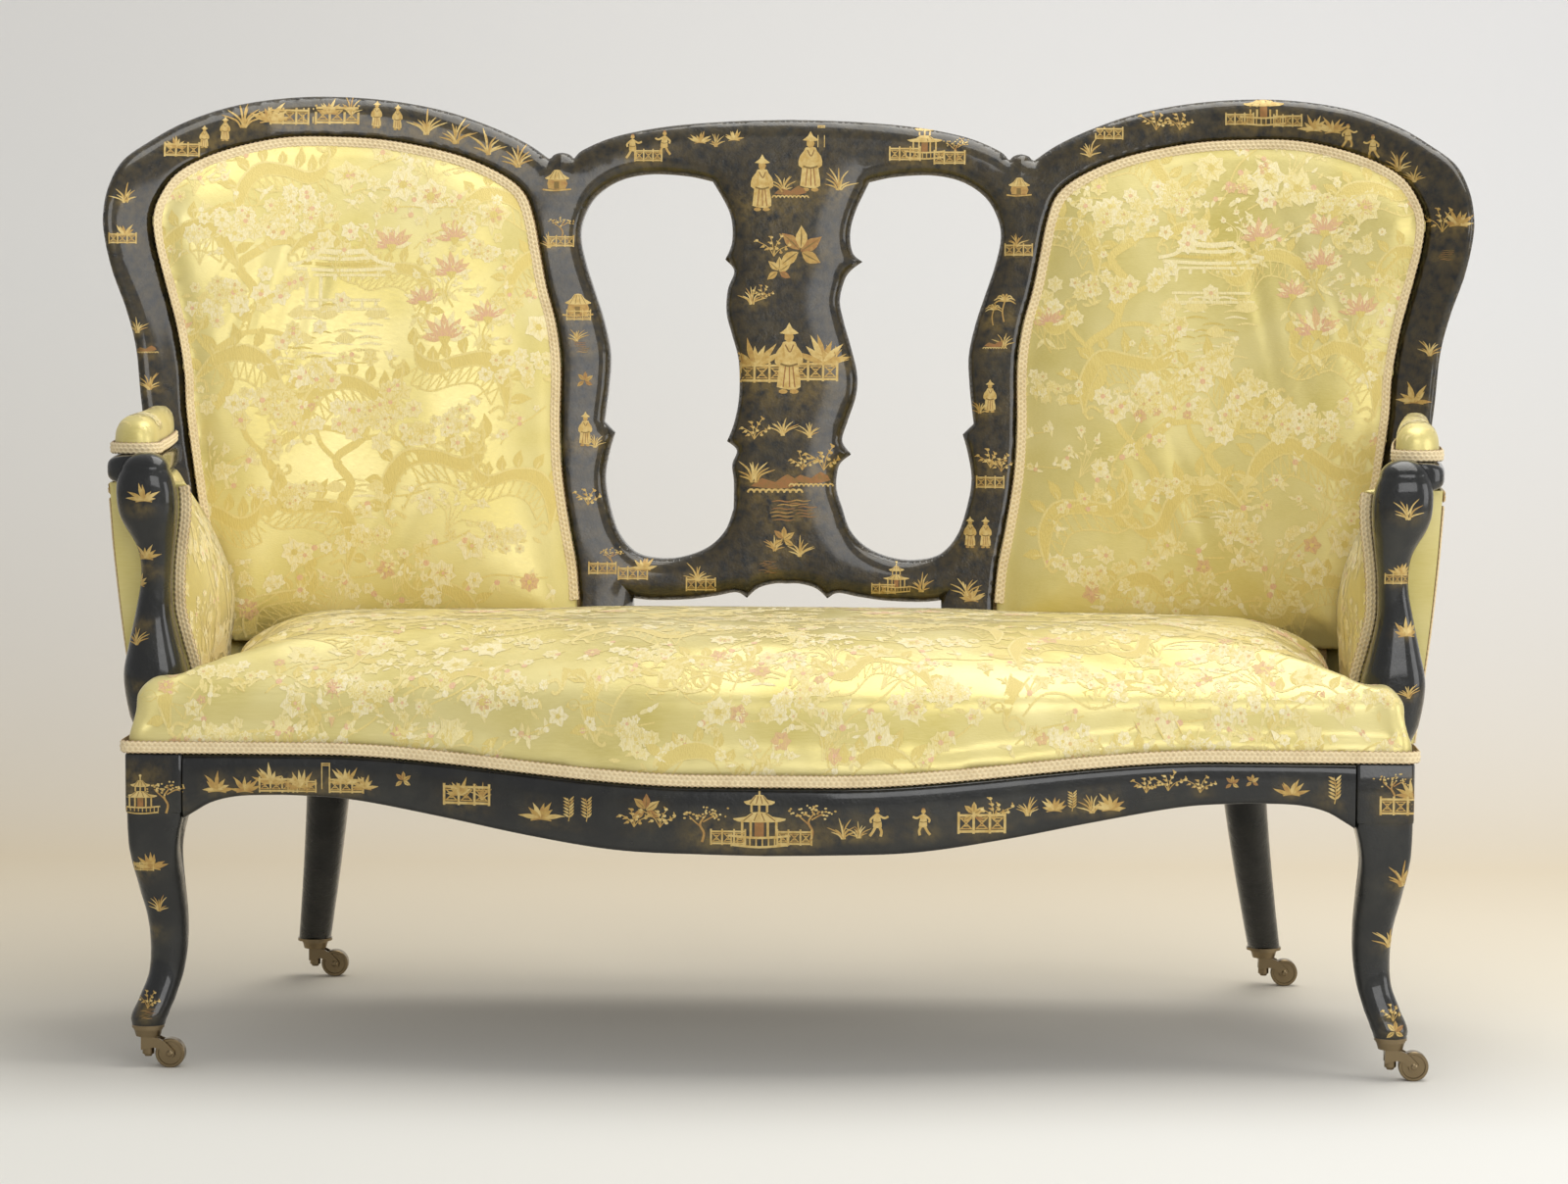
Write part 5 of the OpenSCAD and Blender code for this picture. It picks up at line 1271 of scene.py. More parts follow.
    def rest(self, drawn_in: float = 2.0) -> Surface:
        """Padded rest on the arm rail: flat beneath, domed by sin^0.8 above, with a round nose."""
        z0 = self.arms.z + self.arms.height + CLEAR
        y0 = BLOCK_BACK + 59
        width = self.arms.width - 9 - 2 * drawn_in
        rear = self.arms.rear(z0 + self.rest_h / 2)
        s = np.sin(np.linspace(0.12, 1, 9)[:-1] * math.pi / 2)
        y = np.concatenate([y0 + self.rest_nose * (1 - np.sqrt(1 - s * s)), np.linspace(y0 + self.rest_nose, rear, 44)])
        w = np.concatenate([width * s, width - self.arms.taper * np.linspace(0, 1, 44)])
        h = np.concatenate([self.rest_h * (0.5 + 0.45 * s), np.full(44, self.rest_h)]) - drawn_in
        a = np.radians(np.linspace(0, 180, 28))
        across = np.sign(np.cos(a)) * np.abs(np.cos(a)) ** 0.7
        dome = 0.25 + 0.75 * np.sin(a) ** 0.8
        x = self.arms.axis(y)[:, None] + w[:, None] / 2 * np.concatenate([across, [-1, -0.5, 0, 0.5, 1]])
        z = z0 + h[:, None] * np.concatenate([dome, np.zeros(5)])
        rows = np.stack([x, np.broadcast_to(y[:, None], x.shape), z], -1)
        rows[-1, :, 1] = SHEET.y(rows[-1, :, 0], rows[-1, :, 2], -CLEAR)
        return tube(rows[::-1])

    def rest_held(self, points: Array) -> Array:
        """How firmly the rest is tacked: along its lower edge and where it meets the stile."""
        return np.maximum(1 - smooth(10, 22, points[:, 2] - self.arms.z - self.arms.height),
                          smooth(10, 2, SHEET.y(points[:, 0], points[:, 2], 0) - points[:, 1]))

    def gimps(self) -> Surface:
        """Braids of the right arm: round the rest, under the arm, and down both edges at the support."""
        z0 = self.arms.z + self.arms.height + CLEAR + GIMP_W / 2
        y0 = BLOCK_BACK + 59 + self.rest_nose
        rear = self.arms.rear(z0)
        y = np.linspace(rear, y0, 60)
        width = self.arms.width - 9
        half = (width - self.arms.taper * (y - y0) / (rear - y0)) / 2 + 0.3
        a = np.radians(np.linspace(0, 180, 40))[1:-1]
        nose = np.stack([self.arms.axis(y0 - 26 * np.sin(a)) + half[-1] * np.cos(a), y0 - 26.3 * np.sin(a)], -1)
        plan = np.vstack([np.stack([self.arms.axis(y) + half, y], -1), nose,
                          np.stack([self.arms.axis(y) - half, y], -1)[::-1]])
        path = spaced(np.column_stack([plan, np.full(len(plan), z0)]), GIMP_STEP)
        ahead = unit(np.gradient(path[:, :2], axis=0))
        out = np.column_stack([ahead[:, 1], -ahead[:, 0], np.zeros(len(path))])
        up = np.tile([0.0, 0.0, 1.0], (len(path), 1))
        made = braid(path, up, -out, GIMP_W)
        k = np.linspace(0.05, 0.95, 60)
        z = np.full(60, self.arms.z - CLEAR - 7)
        under = self.at(self.outer(k, z) + 1.0, z, k)
        z = np.linspace(326, 572, 60)
        outer = self.at(self.outer(np.full(60, 0.03), z) + 0.8, z, np.full(60, 0.035)) + [0, 4, 0]
        z = np.linspace(385, 586, 60)
        inner = np.stack([along(self.arms.support, z, 1) - 4.5, self.arms.support_back(z) - 1, z], -1)
        for path, outward in ((under, (1.0, 0, 0)), (outer, (1.0, 0, 0)), (inner, (0, -1.0, 0))):
            path = spaced(path, GIMP_STEP)
            side, face = frames(path, np.tile(outward, (len(path), 1)))
            made = made.plus(braid(path, side, face, GIMP_W))
        return made


# Ornament

class Motif(Enum):
    """What the gilder and the weaver drew, each by the pen's method of that name."""
    GRASS = "grass"
    PLANT = "plant"
    FERN = "fern"
    SPRAY = "spray"
    FENCE = "fence"
    PAGODA = "pagoda"
    HOUSE = "house"
    TREE = "tree"
    ROBED = "robed_figure"
    WALKER = "walking_figure"
    WATER = "water"
    SHORE = "shore"
    DOOR = "door_frame"
    LEAVES = "leaves"
    PALM = "palm"
    BLOSSOM = "blossom"
    BOUGH = "bough"
    CARNATION = "carnation"
    SCROLL = "scroll"
    SPRIGS = "sprigs"
    CLOUD = "blossom_cloud"
    TEMPLE = "temple"
    LAKE = "lake"
    WINDING = "winding_tree"


DRAWN = 40.0  # width or height at which every motif is drawn


@dataclass
class Pen:
    """Draws flat shapes in millimetres and gathers them as one mesh, later strokes above earlier ones."""
    rng: np.random.Generator
    at: tuple[float, float] = (0, 0)
    scale: tuple[float, float] = (1, 1)
    angle: float = 0
    points: list[Array] = field(default_factory=list)
    faces: list[Array] = field(default_factory=list)
    tones: list[Array] = field(default_factory=list)
    lifts: list[Array] = field(default_factory=list)
    count: int = 0

    def put(self, points: Array, faces: Array, tone: float, lift: float) -> None:
        """Adds a shape at the pen's place, scale and angle, each a hair above the one before, and facing up."""
        c, s = math.cos(self.angle), math.sin(self.angle)
        placed = (points * self.scale) @ np.array([[c, s], [-s, c]]) + self.at
        x, y = placed[faces, 0], placed[faces, 1]
        under = (x * np.roll(y, -1, 1) - np.roll(x, -1, 1) * y).sum(1) < 0
        self.faces.append(np.where(under[:, None], faces[:, ::-1], faces) + self.count)
        self.points.append(placed)
        self.tones.append(np.full(len(points), tone))
        self.lifts.append(np.full(len(points), lift + len(self.points) % 24 / 26))
        self.count += len(points)

    def ribbon(self, path: Line, width: float, tone: float = 0.25, lift: float = 0, ends: Point = (1, 1),
               steps: int = 4) -> None:
        """A stroke: a smooth path widened to both sides, its width easing to shares of itself at its ends."""
        line = spline(path, steps) if len(path) > 2 else np.asarray(path, float)
        s = np.linspace(-1, 1, len(line))
        share = np.where(s < 0, ends[0] + (1 - ends[0]) * (1 - s * s), ends[1] + (1 - ends[1]) * (1 - s * s))
        side = turn(unit(np.gradient(line, axis=0))) * (share * width / 2)[:, None]
        flat = np.stack([line - side, line + side], 1).reshape(-1, 2)
        self.put(flat, np.array(grid_faces(len(line), 2)), tone, lift)

    def area(self, outline: Line, tone: float = 0.25, lift: float = 0, steps: int = 3) -> None:
        """A filled round shape: its outline, a ring half-way in, and its middle."""
        loop = spline([*outline, outline[0]], steps)[:-1]
        middle = loop.mean(0)
        n = len(loop)
        inner = middle + (loop - middle) * 0.5
        j = np.arange(n)
        k = (j + 1) % n
        outer = np.stack([j, k, k + n, j + n], -1)
        fan = np.stack([j + n, k + n, np.full(n, 2 * n), np.full(n, 2 * n)], -1)
        self.put(np.vstack([loop, inner, middle]), np.vstack([outer, fan]), tone, lift)

    def blob(self, x: float, y: float, rx: float, ry: float = 0, tone: float = 0.25, lift: float = 0) -> None:
        """A brush-dab, an ellipse of seven corners."""
        a = np.linspace(0, 2 * math.pi, 8)[:-1]
        self.area(np.stack([x + rx * np.cos(a), y + (ry or rx) * np.sin(a)], -1), tone, lift, 1)

    def leaf(self, x: float, y: float, angle: float, length: float, width: float, tone: float = 0.25, lift: float = 0,
             bend: float = 0.15) -> None:
        """A pointed leaf from its foot, in the direction of angle, bent to one side."""
        rows = 6 if length * self.scale[1] > 14 else 4
        s = np.linspace(0, 1, rows)
        d = np.array([math.cos(angle), math.sin(angle)])
        line = np.array([x, y]) + s[:, None] * length * d + (s**2)[:, None] * bend * length * turn(d)
        half = np.sin(np.minimum(s * 1.03 + 0.03, 1) * math.pi) * width / 2
        side = turn(unit(np.gradient(line, axis=0))) * half[:, None]
        self.put(np.stack([line - side, line + side], 1).reshape(-1, 2), np.array(grid_faces(rows, 2)), tone, lift)

    def motif(self, kind: Motif, x: float, y: float, size: float) -> None:
        """Draws a motif with its foot or middle at a place; size is its real width, negative to face left."""
        kept = self.at, self.scale, self.angle
        self.at, self.scale = (x, y), (size / DRAWN, abs(size) / DRAWN)
        tilted = kind in (Motif.BOUGH, Motif.BLOSSOM, Motif.SCROLL, Motif.SPRIGS)
        self.angle = self.rng.uniform(-0.6, 0.6) if tilted else 0.0
        getattr(self, kind.value)()
        self.at, self.scale, self.angle = kept

    # Gilder's motifs
    def grass(self) -> None:
        """Tuft of thin blades fanned from one foot."""
        for a in np.linspace(0.5, 2.65, 9) + self.rng.uniform(-0.12, 0.12, 9):
            reach = self.rng.uniform(20, 38) * (0.65 + 0.35 * math.sin(a))
            tip = (reach * math.cos(a) * 1.1, reach * math.sin(a))
            self.ribbon([(self.rng.uniform(-4, 4), 0), (tip[0] * 0.35, tip[1] * 0.6), tip], 2.4,
                        self.rng.uniform(0.05, 0.4), 0, (0.8, 0.1))

    def plant(self) -> None:
        """Broad-bladed plant."""
        for a in np.linspace(0.25, 2.9, 7) + self.rng.uniform(-0.1, 0.1, 7):
            self.leaf(0, 2, a, self.rng.uniform(20, 34), 6.5, self.rng.uniform(0.05, 0.4), 0,
                      self.rng.uniform(-0.2, 0.2))
        self.ribbon([(-14, 0), (0, 2), (14, 0)], 2, 0.35)

    def fern(self) -> None:
        """Stem with leaflets in pairs."""
        self.ribbon([(0, 0), (2, 16), (-1, 36)], 1.5, 0.3, 0, (1, 0.3))
        for y in np.arange(6, 34, 5.0):
            for s in (-1, 1):
                self.leaf(1, y, math.pi / 2 - s * 0.9, 11, 3.4, self.rng.uniform(0.05, 0.35), 1)

    def spray(self) -> None:
        """Slender stems that carry small leaves and flowers."""
        for a in (0.6, 1.2, 1.75, 2.4):
            tip = np.array([math.cos(a), math.sin(a)]) * self.rng.uniform(22, 36)
            self.ribbon([(0, 0), tip * [0.35, 0.6], tip], 1.3, 0.3)
            for s in (0.45, 0.7, 1.0):
                at = tip * [s, s] + self.rng.uniform(-2, 2, 2)
                self.blob(at[0], at[1], 2.8, 2.2, self.rng.uniform(0.0, 0.3), 1)
                self.leaf(at[0], at[1], a + 1, 6, 2.4, 0.3, 1)

    def fence(self) -> None:
        """Two bays of lattice between rails and posts."""
        for y in (1, 15):
            self.ribbon([(-20, y), (0, y), (20, y)], 2.2, 0.15, 1, steps=6)
        for x in (-20, -7, 7, 20):
            self.ribbon([(x, -1), (x, 18)], 2.2, 0.15, 1)
        for x in (-13.5, 0, 13.5):
            for w, h in ((5.2, 4.6), (2.6, 2.2)):
                self.ribbon([(x - w, 8 - h), (x + w, 8 - h)], 1.1, 0.3)
                self.ribbon([(x - w, 8 + h), (x + w, 8 + h)], 1.1, 0.3)
            for s in (-1, 1):
                self.ribbon([(x - 5, 8 - 5 * s), (x + 5, 8 + 5 * s)], 1.1, 0.3)

    def roof(self, x: float, y: float, w: float, h: float, tone: float = 0.1) -> None:
        """Hipped roof with turned-up eaves and three ribs."""
        self.area([(x - w, y + 2), (x - w * 0.8, y), (x, y - 0.5), (x + w * 0.8, y), (x + w, y + 2),
                   (x + w * 0.5, y + h * 0.55),
                   (x + w * 0.25, y + h), (x - w * 0.25, y + h), (x - w * 0.5, y + h * 0.55)], tone, 1, 2)
        for s in (-0.6, -0.2, 0.2, 0.6):
            self.ribbon([(x + s * w * 0.4, y + h * 0.9), (x + s * w, y + 0.5)], 0.7, 0.85, 2)

    def pagoda(self) -> None:
        """Two-storeyed pavilion on a fenced terrace."""
        for x in (-11, -5.5, 5.5, 11):
            self.ribbon([(x, 5), (x, 17)], 1.6, 0.2)
        self.area([(-3, 6), (3, 6), (3, 16), (-3, 16)], 0.65, 0, 1)
        self.roof(0, 16, 17, 6)
        for x in (-5, 0, 5):
            self.ribbon([(x, 22), (x, 28)], 1.5, 0.2)
        self.roof(0, 27, 10, 6)
        self.ribbon([(0, 33), (0, 38)], 1.2, 0.1)
        self.blob(0, 38, 1.4, 1.4, 0.05)
        for x0, x1, y in ((-20, 20, 6), (-18, 18, 0)):
            self.ribbon([(x0, y + 1), (0, y - 0.5), (x1, y + 1)], 1.5, 0.15, 1)
        for x in np.linspace(-18, 18, 10):
            self.ribbon([(x, 0), (x, 6)], 1.0, 0.25)

    def house(self) -> None:
        """Small thatched house on a bank."""
        self.area([(-12, 3), (12, 3), (12, 17), (-12, 17)], 0.4, 0, 2)
        self.area([(-4, 3), (3, 3), (3, 13), (-4, 13)], 0.95, 1, 1)
        self.roof(0, 16, 17, 13)
        self.ribbon([(-20, 2), (-4, 0.5), (20, 2.5)], 2.2, 0.3)

    def tree(self) -> None:
        """Leaning tree with dabbed clouds of leaves."""
        self.ribbon([(0, 0), (2, 9), (-2, 18), (4, 27)], 2.2, 0.45, 0, (1.2, 0.5))
        self.ribbon([(-1, 15), (-9, 22), (-13, 26)], 1.4, 0.45, 0, (1, 0.4))
        self.ribbon([(1, 20), (10, 25), (15, 24)], 1.4, 0.45, 0, (1, 0.4))
        for cx, cy in ((4, 31), (-13, 28), (15, 27), (-4, 25)):
            for _ in range(11):
                x, y = cx + self.rng.normal(0, 4.4), cy + self.rng.normal(0, 2.6)
                self.blob(x, y, self.rng.uniform(0.9, 1.7), 1.0, self.rng.uniform(0.0, 0.35), 1)

    def robed_figure(self) -> None:
        """Standing robed figure, 40 mm high, with a wide hat and folded sleeves."""
        self.area(
                  [(-6.5, 5), (0, 3.6), (6.5, 5), (5.5, 14), (4.4, 24), (3.4, 29.5), (-3.2, 29.5), (-4.6, 24),
                   (-5.6, 14)],
                  0.12, 0, 2)
        for s in (-1, 1):
            self.area([(s * 3, 28.5), (s * 6.8, 24), (s * 7.6, 18), (s * 3.4, 16.5), (s * 2.2, 22)], 0.2, 1, 2)
            self.blob(s * 3, 2.6, 2.6, 1.3, 0.35)
        for x in (-3, 0.5, 3.4):
            self.ribbon([(x * 0.6, 17), (x, 5)], 0.7, 0.62, 2)
        self.ribbon([(-4.6, 17.6), (0, 16.4), (4.8, 17.6)], 1.1, 0.95, 3)
        self.ribbon([(-2, 28), (0.5, 24), (2.4, 28)], 0.7, 0.8, 3)
        self.blob(0, 32.2, 2.7, 3.0, 0.3, 2)
        self.area([(-5.2, 34.2), (0, 33.6), (5.2, 34.2), (1.6, 37), (0, 40), (-1.6, 37)], 0.08, 3, 2)

    def walking_figure(self) -> None:
        """Small striding figure with one arm held out."""
        self.area([(-5, 13), (0, 11.5), (6, 13), (4.6, 22), (3, 29), (-3, 29), (-4.6, 21)], 0.15, 0, 2)
        self.ribbon([(-2, 13), (-5, 7), (-9, 1.5)], 3.4, 0.25)
        self.ribbon([(3, 13), (5.5, 7), (4.5, 1)], 3.4, 0.25)
        self.ribbon([(3, 27), (9, 24), (14, 26)], 2.8, 0.2, 1)
        self.ribbon([(-3, 27), (-8, 22), (-7, 18)], 2.8, 0.2, 1)
        self.ribbon([(-4.6, 19.5), (0, 18.4), (4.8, 19.5)], 1.0, 0.95, 2)
        self.blob(0, 33, 3.2, 3.2, 0.3, 2)
        self.blob(0, 36, 2.4, 1.4, 0.6, 3)

    def water(self) -> None:
        """Short ripples one above another."""
        for y in np.arange(0, 18, 3.2):
            x = self.rng.uniform(-16, -4)
            self.ribbon([(x, y), (x + 6, y + 1), (x + 13, y), (x + 20, y + 0.8)], 1.1, self.rng.uniform(0.3, 0.9), 0,
                        (0.3, 0.3))

    def shore(self) -> None:
        """Scalloped bank with rocks."""
        for x in np.linspace(-18, 18, 9):
            a = np.linspace(0.1, math.pi - 0.1, 5)
            self.ribbon(np.stack([x + 2.4 * np.cos(a), 3 + 2.6 * np.sin(a)], -1), 1.5, 0.15, 1, steps=2)
        self.area([(-18, 8), (-10, 14), (0, 11), (9, 17), (18, 9), (0, 6)], 0.7, 0, 2)

    def door_frame(self) -> None:
        """Tall plain frame of a gateway."""
        for path in ([(-6, 0), (-6, 40)], [(6, 0), (6, 40)], [(-7, 40), (7, 40)], [(-7, 37), (7, 37)]):
            self.ribbon(path, 1.7, 0.15)

    def leaves(self) -> None:
        """Large veined leaves in a loose cluster."""
        for x, y, a, n in ((0, 4, 0.5, 19), (-1, 5, 2.3, 18), (1, 3, -0.6, 16), (-2, 3, 3.7, 17), (0, 6, 1.45, 17)):
            self.leaf(x, y, a, n, 9, self.rng.uniform(0.1, 0.65), 0, 0.1)
            self.leaf(x, y, a, n * 0.9, 1.2, 0.95, 1, 0.1)

    def palm(self) -> None:
        """Bending stem topped with drooping fronds."""
        self.ribbon([(0, 0), (-2, 14), (1, 27)], 1.8, 0.35)
        for a in np.linspace(-0.2, 3.35, 8):
            self.ribbon([(1, 27), (1 + 8 * math.cos(a), 29 + 7 * math.sin(a)),
                         (1 + 15 * math.cos(a), 25 + 9 * math.sin(a))],
                        2.0, self.rng.uniform(0.05, 0.35), 1, (1, 0.1))

    # Weaver's motifs
    def flower(self, x: float, y: float, r: float, heart: float, petal: float = 0.1) -> None:
        """Notched petals round a coloured heart, with a lighter rim."""
        start, count = self.rng.uniform(0, 6), int(self.rng.integers(5, 8))
        for a in start + np.arange(count) * 2 * math.pi / count:
            self.leaf(x, y, a, r, 0.86 * r, petal, 1, 0.12)
            self.leaf(x, y, a, 0.8 * r, 0.16 * r, petal + 0.16, 2, 0.12)
        self.blob(x, y, 0.24 * r, 0.24 * r, heart, 3)

    def blossom(self) -> None:
        """One open flower with buds and leaves."""
        for a in self.rng.uniform(0, 6.3, 4):
            self.leaf(0, 0, a, 19, 6, 0.22, 0, 0.2)
        self.flower(0, 0, 15, 0.5, self.rng.choice([0.08, 0.2]))
        self.flower(1, 0, 8, self.rng.choice([0.78, 0.5]), self.rng.choice([0.3, 0.72]))

    def sprigs(self) -> None:
        """Fine branching twigs with buds, woven thin."""
        for a in np.linspace(0.2, 2.9, 5) + self.rng.uniform(-0.15, 0.15, 5):
            tip = np.array([math.cos(a), math.sin(a)]) * self.rng.uniform(14, 24)
            self.ribbon([(0, -8), tip * [0.3, 0.5], tip], 0.7, 0.32)
            for s in np.linspace(0.35, 1, 5):
                at = tip * [s, s] + self.rng.uniform(-1.6, 1.6, 2)
                self.leaf(at[0], at[1], a + self.rng.uniform(-1.2, 1.2), 4.6, 1.8, self.rng.uniform(0.05, 0.34), 1, 0.2)
            self.flower(tip[0], tip[1], self.rng.uniform(2.2, 3.6), self.rng.choice([0.78, 0.4]), 0.1)

    def blossom_cloud(self) -> None:
        """Flat cloud of cream blossom heads."""
        for _ in range(18):
            x, y = self.rng.normal(0, 10), self.rng.normal(0, 4.2)
            self.flower(x, y, self.rng.uniform(2.8, 4.6), self.rng.choice([0.3, 0.42, 0.3, 0.7]),
                        self.rng.choice([0.05, 0.14, 0.22]))
        for _ in range(10):
            self.leaf(self.rng.normal(0, 11), self.rng.normal(-4, 4), self.rng.uniform(0, 6.3), 7, 2.6, 0.34, 0, 0.2)

    def bough(self) -> None:
        """Arching twig of blossoms, buds and small leaves."""
        path = spline([(-18, -10), (-8, 0), (4, 4), (18, 12)], 4)
        self.ribbon(path[::3], 1.0, 0.4)
        for i, p in enumerate(path[::2]):
            off = self.rng.uniform(-7, 7, 2)
            x, y = p + off
            if i % 2:
                self.flower(x, y, self.rng.uniform(2.6, 6.4), self.rng.choice([0.78, 0.42, 0.5, 0.3]),
                            self.rng.choice([0.05, 0.14, 0.22, 0.28, 0.72]))
            else:
                for a in self.rng.uniform(0, 6.3, 3):
                    self.leaf(x, y, a, 6.5, 2.6, self.rng.uniform(0.1, 0.3), 0, 0.2)
                self.blob(x, y, 1.7, 1.7, self.rng.choice([0.78, 0.02]), 1)

    def carnation(self) -> None:
        """Fringed flower on a bent stem, pink at its edge."""
        self.ribbon([(2, -26), (-4, -14), (0, -3)], 1.4, 0.45)
        for a in np.linspace(0.1, 3.05, 9):
            self.leaf(0, 0, a, self.rng.uniform(14, 18), 5.6, 0.74 if round(a * 3) % 2 else 0.12, 1, 0.05)
            self.leaf(0, 0, a + 0.15, 12, 2.0, 0.84, 2, 0.05)
        self.area([(-4, 1), (0, -5), (4, 1)], 0.5, 3, 2)
        for a in (3.9, 5.4):
            self.leaf(-3, -13, a, 13, 4, 0.22)

    def scroll(self) -> None:
        """Rococo scroll in tones near the ground's: an S with leaf lobes, curled ends and a hatched hollow."""
        dip = self.rng.uniform(-3, 3)
        outer = spline([(-21, -12), (-19, 2), (-9, 11), (3, 9 + dip), (12, 3), (20, 6), (22, 14)], 5)
        inner = spline([(-21, -12), (-14, 0), (-7, 5), (2, 4 + dip), (11, -2), (19, 1), (22, 14)], 5)
        self.put(np.stack([inner, outer], 1).reshape(-1, 2), np.array(grid_faces(len(outer), 2)), 0.47, 0)
        self.ribbon(outer[::5], 0.9, 0.32, 1)
        self.ribbon(inner[::5], 0.7, 0.38, 1)
        for i in range(2, len(outer) - 2, 3):
            d = unit(outer[i] - inner[i])
            a = math.atan2(d[1], d[0])
            self.leaf(outer[i, 0], outer[i, 1], a - 0.5, self.rng.uniform(5, 9), 4.4, 0.47, 0, 0.45)
            self.leaf(outer[i, 0], outer[i, 1], a - 0.5, 4, 0.9, 0.32, 1, 0.45)
        for x, y, r, turns in ((-18, -13, 4.2, 1), (19, 14, 3.6, -1)):
            a = np.linspace(0, 5.2, 9)
            curl = [x + r * (1 - a / 7) * np.cos(a * turns), y + r * (1 - a / 7) * np.sin(a * turns)]
            self.ribbon(np.stack(curl, -1)[::2], 1.3, 0.36, 1)
        low = inner + [1.5, -7.5]
        for i in range(4, len(inner) - 6, 2):
            self.ribbon([inner[i], low[i]], 0.6, 0.4)
            self.ribbon([inner[i], low[i + 2]], 0.5, 0.4)
        self.ribbon(low[4:-4:5], 0.8, 0.36)

    def temple(self) -> None:
        """Open pavilion with a broad roof, woven in pale lines."""
        for x in (-15, -9, -3, 3, 9, 15):
            self.ribbon([(x, 0), (x, 15)], 1.5, 0.1)
        for y, w in ((0, 19), (4, 17), (15, 19)):
            self.ribbon([(-w, y), (0, y), (w, y)], 1.2, 0.15, 1)
        for y, w in ((17, 21), (19.5, 18), (22, 15), (24.5, 11)):
            self.ribbon([(-w, y + 1), (0, y), (w, y + 1)], 1.5, 0.55 if y == 19.5 else 0.12, 1)
        for s in (-1, 1):
            self.ribbon([(s * 10, 25), (s * 16, 21), (s * 23, 19.5)], 1.6, 0.1, 2)
        self.ribbon([(-10, 26), (0, 25.2), (10, 26)], 1.8, 0.1, 2)
        self.flower(0, 4, 4, 0.8)

    def lake(self) -> None:
        """Ripples, reeds and rocks on water."""
        for y in np.arange(-12, 12, 2.6):
            for x in self.rng.uniform(-20, 12, 2):
                self.ribbon([(x, y), (x + 4, y + 0.8), (x + 9, y)], 0.9, self.rng.choice([0.1, 0.3, 0.55]), 0,
                            (0.3, 0.3))
        for x in (-16, -6, 14):
            self.area([(x - 5, 8), (x, 12), (x + 5, 8), (x, 6)], 0.3, 0, 2)

    def winding_tree(self) -> None:
        """Old tree: a winding trunk with stumps, under clouds of blossom."""
        self.ribbon([(-12, -20), (-6, -10), (-12, 0), (-2, 8), (2, 18), (12, 24)], 3.2, 0.42, 0, (1.3, 0.4))
        self.ribbon([(-10, -2), (-18, 6), (-20, 14)], 1.9, 0.42, 0, (1, 0.4))
        self.ribbon([(-3, 8), (8, 9), (18, 6)], 1.9, 0.42, 0, (1, 0.4))
        for cx, cy, n in ((10, 25, 7), (-19, 17, 5), (19, 8, 5), (0, 20, 4)):
            for _ in range(n):
                x, y = cx + self.rng.normal(0, 5), cy + self.rng.normal(0, 3)
                self.flower(x, y, self.rng.uniform(2.8, 4.2), self.rng.choice([0.78, 0.42, 0.3]),
                            self.rng.choice([0.05, 0.14, 0.24]))


BEFORE = -400.0
FAR = 1e9


class Way(Enum):
    """Direction in which a drawing is thrown on to what carries it: its axis, and whether along it or against it."""
    BACKWARDS = ("y", True)
    DOWNWARDS = ("z", False)
    OUTWARDS = ("x", True)


